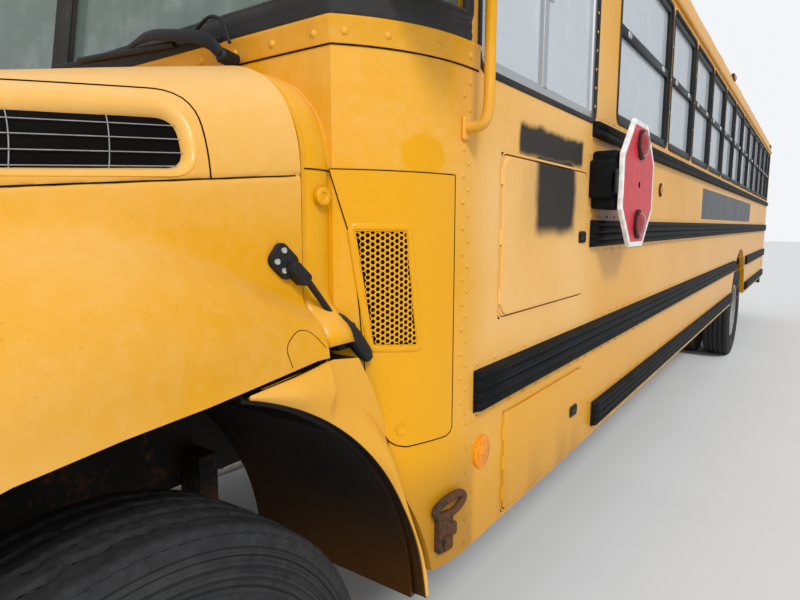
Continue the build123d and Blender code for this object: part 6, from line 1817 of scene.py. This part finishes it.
class SCHOOLBUS_OT_lamps(bpy.types.Operator):
    """Set the warning, tail and marker lamps with their rings and hoods, and the blank number plate"""

    bl_idname = "schoolbus.lamps"
    bl_label = "Lamps"

    def execute(self, context):
        lenses, rings = {"amber": [], "lamp": [], "clear_lens": []}, []
        t = np.linspace(0.12 * pi, 0.88 * pi, 25)

        def add(kind, lens, ring):
            lenses[kind].append(lens)
            rings.append(ring)

        for side in (1, -1):
            for y, z, radius, kind in REAR_LAMPS:
                add(kind, *round_lamp((REAR_X, side * y, z), (-1, 0, 0), radius, 0.030))
                if z > 2.5:
                    hood = [spread(REAR_X - out, side * y + (radius + more) * np.cos(t),
                                   z + (radius + more) * np.sin(t))
                            for out, more in ((0.0, 0.004), (0.045, 0.006), (0.046, 0.003), (0.0, 0.001))]
                    rings.append((np.stack(hood), grid_faces(4, len(t))))
            for y, z, kind in ((0.850, 2.750, "amber"), (0.580, 2.790, "lamp")):
                add(kind, *round_lamp((FRONT_LAMP_X, side * y, z), (1, 0, 0), 0.089, 0.034))
                drum = [(-0.11, 0.089), (0.0, 0.092), (0.030, 0.095), (0.033, 0.092), (0.010, 0.087),
                        (-0.10, 0.084)]
                rings.append(turn_about(drum, (FRONT_LAMP_X, side * y, z), (1, 0, 0), 40))
            for x, z, y, kind in ((-0.742, 2.740, 1.203, "amber"), (-5.640, 2.670, 1.216, "lamp")):
                low, high = side * (y - 0.02), side * (y + 0.012)
                add(kind, block((x - 0.055, low, z - 0.017), (x + 0.055, high, z + 0.017), 0.010, 4),
                    block((x - 0.062, low, z - 0.024), (x + 0.062, side * (y + 0.003), z + 0.024), 0.006, 3))
            add("amber",
                *(turn_about(profile, (2.073, side * SIDE_Y, 1.629), (0, side, 0), 24) for profile in (
                [(0.0, 0.024), (0.010, 0.022), (0.016, 0.012), (0.017, 0.0)],
                [(0.0, 0.034), (0.005, 0.034), (0.008, 0.026), (0.004, 0.024)])))
        for y in (-0.16, 0.0, 0.16):
            lenses["lamp"].append(block((REAR_X - 0.022, y - 0.045, 2.832), (REAR_X + 0.01, y + 0.045, 2.866),
                                        0.010, 3))
        blank = plate(rounded((-0.80, 1.14), (-0.49, 1.30), 0.012), 0.004, on_rear, 0.001)
        fit("body", ("lamps_red", lenses["lamp"], "lamp", "lamp_red", "body_lamps"),
            ("lamps_amber", lenses["amber"], "amber", "lamp_red"),
            ("lamps_clear", lenses["clear_lens"], "clear_lens", "lamp_glass"),
            ("lamp_rings", rings, "rubber", "trim_black"), ("blank_rear_plate", [blank], "white", "sign_red"))
        return {"FINISHED"}


class SCHOOLBUS_OT_bumpers(bpy.types.Operator):
    """Add the bumper bolts, the straps and ribs of the tank and the fuel filler's door"""

    bl_idname = "schoolbus.bumpers"
    bl_label = "Bumpers and tank"

    def execute(self, context):
        low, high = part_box("front_bumper")
        places, normals = [], []
        for side in (1, -1):
            for y, z in ((0.40, 0.52), (0.47, 0.52), (0.40, 0.70), (0.47, 0.70)):
                places += [(high.x, side * y, z), (-5.855, side * y, z + 0.06)]
                normals += [(1, 0, 0), (-1, 0, 0)]
        fit("body", ("bumper_bolts", [domes(places, normals, 0.016, 0.009, 12)], "bumper", "bumper_black"))
        low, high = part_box("fuel_tank")
        a = 0.004
        straps = []
        for x in (low.x + 0.25, (low.x + high.x) / 2, high.x - 0.25):
            path = [(high.y + a, low.z - a), (low.y - a, low.z - a), (low.y - a, high.z + a),
                    (high.y + a, high.z + a)]
            straps.append(tube(bent([(x, y, z) for y, z in path], 0.05), 0.026, 8, squash=0.14))
        for x in np.linspace(low.x + 0.02, high.x - 0.02, 9):
            straps.append(block((x - 0.012, low.y - 0.0025, low.z + 0.05),
                                (x + 0.012, low.y + 0.002, high.z - 0.05),
                                0.0022, 2))
        lock = [(0.0, 0.020), (0.006, 0.020), (0.010, 0.014), (0.010, 0.0)]
        filler = [plate(rounded((0.84, 0.80), (1.06, 0.95), 0.02), 0.006, on_side(-1), 0.002),
                  turn_about(lock, (0.885, -SIDE_Y - 0.004, 0.875), (0, -1, 0), 20)]
        fit("body", ("tank_straps", straps, "chassis", "tank_black"),
            ("fuel_filler_door", filler, "paint", "body_yellow"))
        return {"FINISHED"}


class SCHOOLBUS_OT_roof(bpy.types.Operator):
    """Form the roof hatches, the drip rails and the strips over the roof bows"""

    bl_idname = "schoolbus.roof"
    bl_label = "Roof"

    def execute(self, context):
        for end in ("front", "rear"):
            low, high = (np.array(c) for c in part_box(f"roof_hatch_{end}"))
            parts = [block(low + (0.004, 0.004, 0.004), high - (0.004, 0.004, 0.012), 0.018, 4)]
            for k in range(5):
                y = low[1] + 0.12 + k * (high[1] - low[1] - 0.24) / 4
                parts.append(block((low[0] + 0.07, y - 0.016, high[2] - 0.020),
                                   (high[0] - 0.07, y + 0.016, high[2] - 0.001),
                                   0.007, 3))
            parts.append(block((low[0] + 0.02, -0.05, low[2] - 0.002), (low[0] + 0.06, 0.05, low[2] + 0.02),
                               0.008, 3))
            hatch = f"roof_hatch_{end}"
            fit(hatch, (f"{hatch}_lid", parts, "plastic", "hatch_black", hatch))
        x = np.linspace(REAR_X + 0.02, 4.06, 120)
        cross = np.array([(-0.002, 2.566), (0.012, 2.568), (0.017, 2.574), (0.017, 2.588), (0.013, 2.588),
                          (0.012, 2.577), (0.001, 2.577)])
        gutters = [(spread(x, side * (SIDE_Y + cross[:, :1]), cross[:, 1:]), grid_faces(len(cross), len(x)))
                   for side in (1, -1)]
        strip = piece("drip_rails", joined(gutters), "paint", "body", "body_yellow", outward=True)
        modified(strip, "SOLIDIFY", thickness=0.0015, offset=-1.0)
        y, z, tilt = roof_line(lambda end, r: np.linspace(0.03, end, 14),
                               lambda start, r: np.linspace(start, pi / 2, 16)[1:]).T
        right = np.column_stack([y, z, np.cos(tilt), np.sin(tilt)])
        y, z, across, up = np.vstack([right, right[-2::-1] * np.array([-1, 1, -1, 1])]).T
        bands = []
        for x in BOWS:
            rows = [spread(x + ahead, y + lift * across, z + lift * up)
                    for ahead, lift in ((-0.030, -0.001), (-0.029, 0.0022), (0.029, 0.0022), (0.030, -0.001))]
            bands.append((np.stack(rows), grid_faces(4, len(y))))
        fit("body", ("roof_bow_strips", bands, "paint", "body_yellow"))
        return {"FINISHED"}


# ---- inside


def cushion_form(low, high, crown, rows=22, columns=30):
    """A closed cushion: a box with round edges whose top swells by crown * (1 -
    x^4)(1 - y^4) of its half widths.

    Its points are a grid on each of the six faces, pulled onto a superellipse of power 7."""
    low, high = np.asarray(low, float), np.asarray(high, float)
    across, along = np.meshgrid(np.linspace(-1, 1, columns), np.linspace(-1, 1, rows), indexing="ij")
    shapes = []
    for axis in range(3):
        others = [k for k in range(3) if k != axis]
        for sign in (-1.0, 1.0):
            p = np.zeros((*across.shape, 3))
            p[..., axis] = sign
            p[..., others[0]], p[..., others[1]] = across, along
            p /= (np.sum(np.abs(p) ** 7, axis=-1) ** (1 / 7))[..., None]
            faces = grid_faces(*across.shape)
            shapes.append((p, faces[:, ::-1] if (sign > 0) == (axis == 1) else faces))
    points, faces = joined(shapes)
    placed = (low + high) / 2 + points * (high - low) / 2
    placed[:, 2] += crown * (1 - points[:, 0] ** 4) * (1 - points[:, 1] ** 4) * np.maximum(points[:, 2], 0)
    return placed, faces


def padded_mesh(shape, pressure=3.0, cap=0.012):
    """Swells a closed cushion with a cloth simulation, and limits how far each point may move."""
    points, faces = shape
    mesh = bpy.data.meshes.new("pad")
    mesh.from_pydata(points.tolist(), [], faces)
    cleaned(mesh, 1e-4)
    obj = bpy.data.objects.new("pad", mesh)
    scene = bpy.context.scene
    scene.collection.objects.link(obj)
    rest = points_of(mesh)
    settings = obj.modifiers.new("Cloth", "CLOTH").settings
    settings.use_pressure = True
    settings.uniform_pressure_force = pressure
    settings.effector_weights.gravity = 0.0
    settings.quality = 4
    settings.mass = 0.3
    for frame_number in range(1, 15):
        scene.frame_set(frame_number)
    graph = bpy.context.evaluated_depsgraph_get()
    move = points_of(bpy.data.meshes.new_from_object(obj.evaluated_get(graph))) - rest
    move *= np.minimum(1.0, cap / np.maximum(np.linalg.norm(move, axis=1)[:, None], 1e-9))
    mesh.vertices.foreach_set("co", (rest + move).reshape(-1))
    bpy.data.objects.remove(obj)
    scene.frame_set(1)
    return mesh


class SCHOOLBUS_OT_seats(bpy.types.Operator):
    """Stuff the benches' cushions and backs with a cloth simulation and set a copy of each on every bench"""

    bl_idname = "schoolbus.seats"
    bl_label = "Seats"

    def execute(self, context):
        cap = sizes().padding * 0.6
        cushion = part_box("seat_cushions")[1].x
        back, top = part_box("seat_backs")[1].xz
        for name, node, low, high, shrink, crown, lean in (
            ("bench_cushions", "seat_cushions", (cushion - 0.38, 0.190, 1.360), (cushion, 1.150, 1.470),
             0.006, 0.010, 0.0),
            ("bench_backs", "seat_backs", (back - 0.080, 0.190, BACK_BASE_Z), (back, 1.150, top), 0.004,
             0.0, 0.094),
        ):
            mesh = padded_mesh(cushion_form(np.array(low) + shrink, np.array(high) - shrink, crown, 14, 26),
                               3.0, cap)
            points = points_of(mesh)
            points[:, 0] -= lean * (points[:, 2] - BACK_BASE_Z)
            loops = [list(p.vertices) for p in mesh.polygons]
            copies = []
            for k in range(BENCHES):
                for side in (1, -1):
                    copy = (points - (WINDOW_PITCH * k, 0.0, 0.0)) * (1, side, 1)
                    copies.append((copy, [face[::side] for face in loops]))
            pads = piece(name, joined(copies), "vinyl", "body", "seat_green", (node,), smooth=60.0)
        return {"FINISHED"}


def nose_x(z):
    """X of the windshield's plane, which leans back as it rises."""
    return 4.405 - (z - 1.860) * 0.1488


def on_nose_plane(ab, height):
    """Puts (y, z, height) on the windshield's plane, height forward."""
    return spread(nose_x(ab[:, 1]) + height, *ab.T)


class SCHOOLBUS_OT_cab(bpy.types.Operator):
    """Fit the cab: windshield rubber, wipers, dash with its gauges, steering wheel and the driver's seat"""

    bl_idname = "schoolbus.cab"
    bl_label = "Cab"

    def execute(self, context):
        bead = [(-0.024, 0.001), (-0.023, 0.008), (-0.014, 0.012), (-0.004, 0.009), (0.002, 0.012),
                (0.009, 0.007), (0.011, 0.001)]
        line, out = cowl_line(0.04)
        cross = [(1.852, 0.001), (1.853, 0.010), (1.862, 0.013), (1.874, 0.010), (1.880, 0.012),
                 (1.894, 0.010), (1.906, 0.004), (1.908, -0.004)]
        strip = swept(cross, line, out)
        rubber = [(strip, grid_faces(*strip.shape[:2]))]
        z = np.linspace(1.90, 2.57, 24)[:, None]
        share = np.linspace(0.0, 1.0, 13)
        corner_r, nose = CORNER_R + 0.004, nose_x(z) + 0.004
        reach = np.arcsin((nose - WALL_FRONT_X) / corner_r)
        angle = 0.262 / CORNER_R * (1 - share) + reach * share
        edge_y = CORNER_Y + corner_r * np.cos(reach)
        x = np.concatenate([WALL_FRONT_X + corner_r * np.sin(angle), np.repeat(nose, 8, 1)], 1)
        y = np.concatenate([CORNER_Y + corner_r * np.cos(angle),
                            edge_y + (0.995 - edge_y) * np.linspace(0.05, 1.0, 8)], 1)
        pillar = spread(x, y, z)
        for side in (1, -1):
            rubber.append((pillar * (1.0, side, 1.0), grid_faces(*x.shape)))
            low, high = sorted((side * 0.030, side * 1.000))
            for corners, r, place in (
                ([(low, 1.905), (high, 1.905), (high, 2.560), (low, 2.560)], 0.02, on_nose_plane),
                ([(0.051, 1.905), (0.275, 1.905), (0.170, 2.525), (0.051, 2.525)], 0.015, on_cowl(side)),
            ):
                rubber.append(ring_of(rounded_polygon(corners, r, 5, 16), bead, place))
        post, faces = block((-0.058, -0.036, 1.902), (0.009, 0.036, 2.568), 0.006)
        rubber.append((post + np.outer(nose_x(post[:, 2]), (1.0, 0.0, 0.0)), faces))

        wipers = []
        arm = bent([(4.462, 0.824, 1.806), (4.470, 0.786, 1.846), (4.462, 0.560, 1.894),
                    (4.448, 0.416, 1.876)], 0.06)
        width = np.interp(np.linspace(0, 1, len(arm)), [0, 0.2, 0.8, 1], [0.012, 0.016, 0.012, 0.006])
        cap = [(-0.03, 0.016), (0.008, 0.016), (0.012, 0.012), (0.012, 0.0)]
        blade = np.linspace((4.440, 0.800, 1.846), (4.440, 0.060, 1.896), 20)
        hose = bent([(4.452, 0.710, 1.864), (4.454, 0.775, 1.898), (4.454, 0.822, 1.880),
                     (4.450, 0.838, 1.830)], 0.05)
        for at in np.array([(0.0, 0.0, 0.0), (0.0, -0.95, 0.0)]):
            wipers += [tube(arm + at, width, 12, squash=0.6),
                       turn_about(cap, np.array([4.455, 0.824, 1.804]) + at, (1, 0, 0.15), 20),
                       tube(blade + at, 0.007, 8, squash=0.5),
                       tube(blade[4:16] + at + (0.010, 0, 0.004), 0.008, 8),
                       tube(hose + at, 0.004, 6)]

        profile = rounded_polygon([(4.340, 1.230), (4.340, 1.850), (4.180, 1.850), (4.100, 1.790),
                                   (4.150, 1.500), (4.260, 1.210)], 0.03, 5, 4)
        ends = [(0.0, 1.020), (0.9, 1.020), (0.98, 1.016), (1.0, 1.005)]
        rows = [(part, -y) for part, y in ends] + ends[::-1]
        dash = [scaled(profile, rows, lambda ab, y: spread(ab[:, 0], y, ab[:, 1])),
                block((4.085, 0.360, 1.770), (4.240, 0.860, 1.905), 0.040, 6),
                tube(np.linspace((4.150, 0.610, 1.621), (3.925, 0.610, 1.751), 6),
                     (0.040, 0.036, 0.034, 0.032, 0.030, 0.028), 16)]
        t = np.linspace(0.0, 2 * pi, 65)[:-1]
        centre, across, up = np.array([(3.930, 0.610, 1.755), (0.0, 1.0, 0.0), (0.866, 0.0, 0.5)])
        ring = centre + 0.214 * (np.outer(np.cos(t), across) + np.outer(np.sin(t), up))
        hub = [(-0.02, 0.05), (0.0, 0.056), (0.012, 0.045), (0.016, 0.0)]
        wheel = [tube(ring, 0.0125, 12, True), turn_about(hub, centre, (-0.5, 0, 0.866), 32)]
        wheel += [tube(np.linspace(centre + 0.04 * spoke, centre + 0.21 * spoke, 5), 0.009, 8)
                  for spoke in (up, across, -across)]
        dials = [turn_about([(0.0, r), (0.006, r), (0.006, r - 0.005), (0.002, r - 0.006)], (4.086, y, 1.838),
                            (-1, 0, 0), 28)
                 for y, r in ((0.520, 0.045), (0.640, 0.045), (0.740, 0.028), (0.440, 0.022))]
        fit("body", ("windshield_rubber", rubber, "rubber", "trim_black"),
            ("wipers", wipers, "plastic", "trim_black"),
            ("dash", dash, "plastic", "dash_grey", "dashboard"),
            ("steering_wheel", wheel, "rubber", "trim_black"),
            ("dash_dials", dials, "chrome", "dash_grey"))

        pads = []
        for low, high in (((3.386, 0.376, 1.440), (3.836, 0.844, 1.535)),
                          ((3.302, 0.376, 1.485), (3.388, 0.844, 2.194))):
            mesh = padded_mesh(cushion_form(low, high, 0.0, 12, 18), 3.0, 0.006)
            pads.append((points_of(mesh), [list(p.vertices) for p in mesh.polygons]))
        pads.append(block((3.490, 0.490, 1.062), (3.730, 0.730, 1.445), 0.015))
        seat = piece("driver_seat_pads", joined(pads), "cloth", "body", "seat_grey", ("driver_seat",),
                     smooth=60.0)
        return {"FINISHED"}


# ---- camera, light and floor


class SCHOOLBUS_OT_stage(bpy.types.Operator):
    """Lay the floor, light the vehicle softly and set the camera at its front left corner"""

    bl_idname = "schoolbus.stage"
    bl_label = "Stage"

    def execute(self, context):
        scene = context.scene
        span = np.linspace(-60.0, 60.0, 25)
        points = spread(span[:, None], span, 0.0)
        made = Finish("stage_floor", Roughness=0.9)
        tone = np.array(colours().ground)
        shade = made.noise(1.3, 5.0)
        made.give(Base_Color=made.mix(shade, tuple(tone * 0.96), tuple(np.minimum(tone * 1.04, 1.0))))
        mesh = bpy.data.meshes.new("floor")
        mesh.from_pydata(points.reshape(-1, 3).tolist(), [], grid_faces(25, 25)[:, ::-1].tolist())
        floor = bpy.data.objects.new("floor", mesh)
        if mesh.polygons[0].normal.z < 0:
            mesh.flip_normals()
        mesh.materials.append(made.material)
        scene.collection.objects.link(floor)

        world = bpy.data.worlds.new("soft_light")
        world.use_nodes = True
        scene.world = world
        tree = world.node_tree
        soft = tree.nodes["Background"]
        soft.inputs["Color"].default_value = (0.93, 0.96, 1.0, 1.0)
        soft.inputs["Strength"].default_value = 0.62
        plain = tree.nodes.new("ShaderNodeBackground")
        plain.inputs["Color"].default_value = (0.90, 0.92, 0.94, 1.0)
        plain.inputs["Strength"].default_value = 1.0
        path = tree.nodes.new("ShaderNodeLightPath")
        either = tree.nodes.new("ShaderNodeMath")
        either.operation = "MAXIMUM"
        tree.links.new(path.outputs["Is Camera Ray"], either.inputs[0])
        tree.links.new(path.outputs["Is Transmission Ray"], either.inputs[1])
        choose = tree.nodes.new("ShaderNodeMixShader")
        tree.links.new(either.outputs[0], choose.inputs[0])
        tree.links.new(soft.outputs[0], choose.inputs[1])
        tree.links.new(plain.outputs[0], choose.inputs[2])
        tree.links.new(choose.outputs[0], tree.nodes["World Output"].inputs[0])

        for name, kind, place, turned_to, energy, extent in (
            ("sun_soft", "SUN", (8.0, 9.0, 12.0), (1.0, 0.0, 1.0), 1.9, radians(14.0)),
            ("front_panel", "AREA", (11.0, 5.5, 4.6), (4.6, 0.6, 1.2), 170.0, 5.0),
        ):
            lamp = bpy.data.lights.new(name, kind)
            lamp.energy = energy
            if kind == "SUN":
                lamp.angle = extent
            else:
                lamp.size = extent
            held = bpy.data.objects.new(name, lamp)
            held.location = place
            held.rotation_euler = (Vector(turned_to) - Vector(place)).to_track_quat("-Z", "Y").to_euler()
            scene.collection.objects.link(held)

        camera = bpy.data.cameras.new("camera")
        camera.sensor_width = 36.0
        camera.lens = 26.28
        camera.clip_end = 200.0
        held = bpy.data.objects.new("camera", camera)
        yaw, pitch, roll = radians(35.20), radians(7.33), radians(0.15)
        ahead = Vector((-cos(pitch) * cos(yaw), -cos(pitch) * sin(yaw), -sin(pitch)))
        held.matrix_world = (
            Matrix.Translation((5.298, 1.878, 1.45))
            @ ahead.to_track_quat("-Z", "Y").to_matrix().to_4x4()
            @ Matrix.Rotation(roll, 4, "Z")
        )
        scene.collection.objects.link(held)
        scene.camera = held
        scene.view_settings.view_transform = "Standard"
        return {"FINISHED"}


STEPS = (
    SCHOOLBUS_OT_finishes,
    SCHOOLBUS_OT_stage,
    SCHOOLBUS_OT_hood,
    SCHOOLBUS_OT_hood_fittings,
    SCHOOLBUS_OT_cowl,
    SCHOOLBUS_OT_rails,
    SCHOOLBUS_OT_rivets,
    SCHOOLBUS_OT_windows,
    SCHOOLBUS_OT_doors,
    SCHOOLBUS_OT_stop_arm,
    SCHOOLBUS_OT_wheels,
    SCHOOLBUS_OT_mirrors,
    SCHOOLBUS_OT_lamps,
    SCHOOLBUS_OT_bumpers,
    SCHOOLBUS_OT_roof,
    SCHOOLBUS_OT_seats,
    SCHOOLBUS_OT_cab,
)


class SCHOOLBUS_PT_steps(bpy.types.Panel):
    """The steps that dress the bus, with its sizes and colours"""

    bl_label = "School bus"
    bl_idname = "SCHOOLBUS_PT_steps"
    bl_space_type = "VIEW_3D"
    bl_region_type = "UI"
    bl_category = "School bus"

    def draw(self, context):
        for step in STEPS:
            self.layout.operator(step.bl_idname)
        for group in (context.scene.bus_sizes, context.scene.bus_colours):
            box = self.layout.box()
            for key in group.__annotations__:
                box.prop(group, key)


CLASSES = (BusSizes, BusColours, *STEPS, SCHOOLBUS_PT_steps)


def register():
    for cls in CLASSES:
        bpy.utils.register_class(cls)
    bpy.types.Scene.bus_sizes = bpy.props.PointerProperty(type=BusSizes)
    bpy.types.Scene.bus_colours = bpy.props.PointerProperty(type=BusColours)


def unregister():
    del bpy.types.Scene.bus_colours
    del bpy.types.Scene.bus_sizes
    for cls in reversed(CLASSES):
        bpy.utils.unregister_class(cls)


def main():
    register()
    for step in STEPS:
        group, name = step.bl_idname.split(".")
        getattr(getattr(bpy.ops, group), name)()


if __name__ == "__main__":
    main()
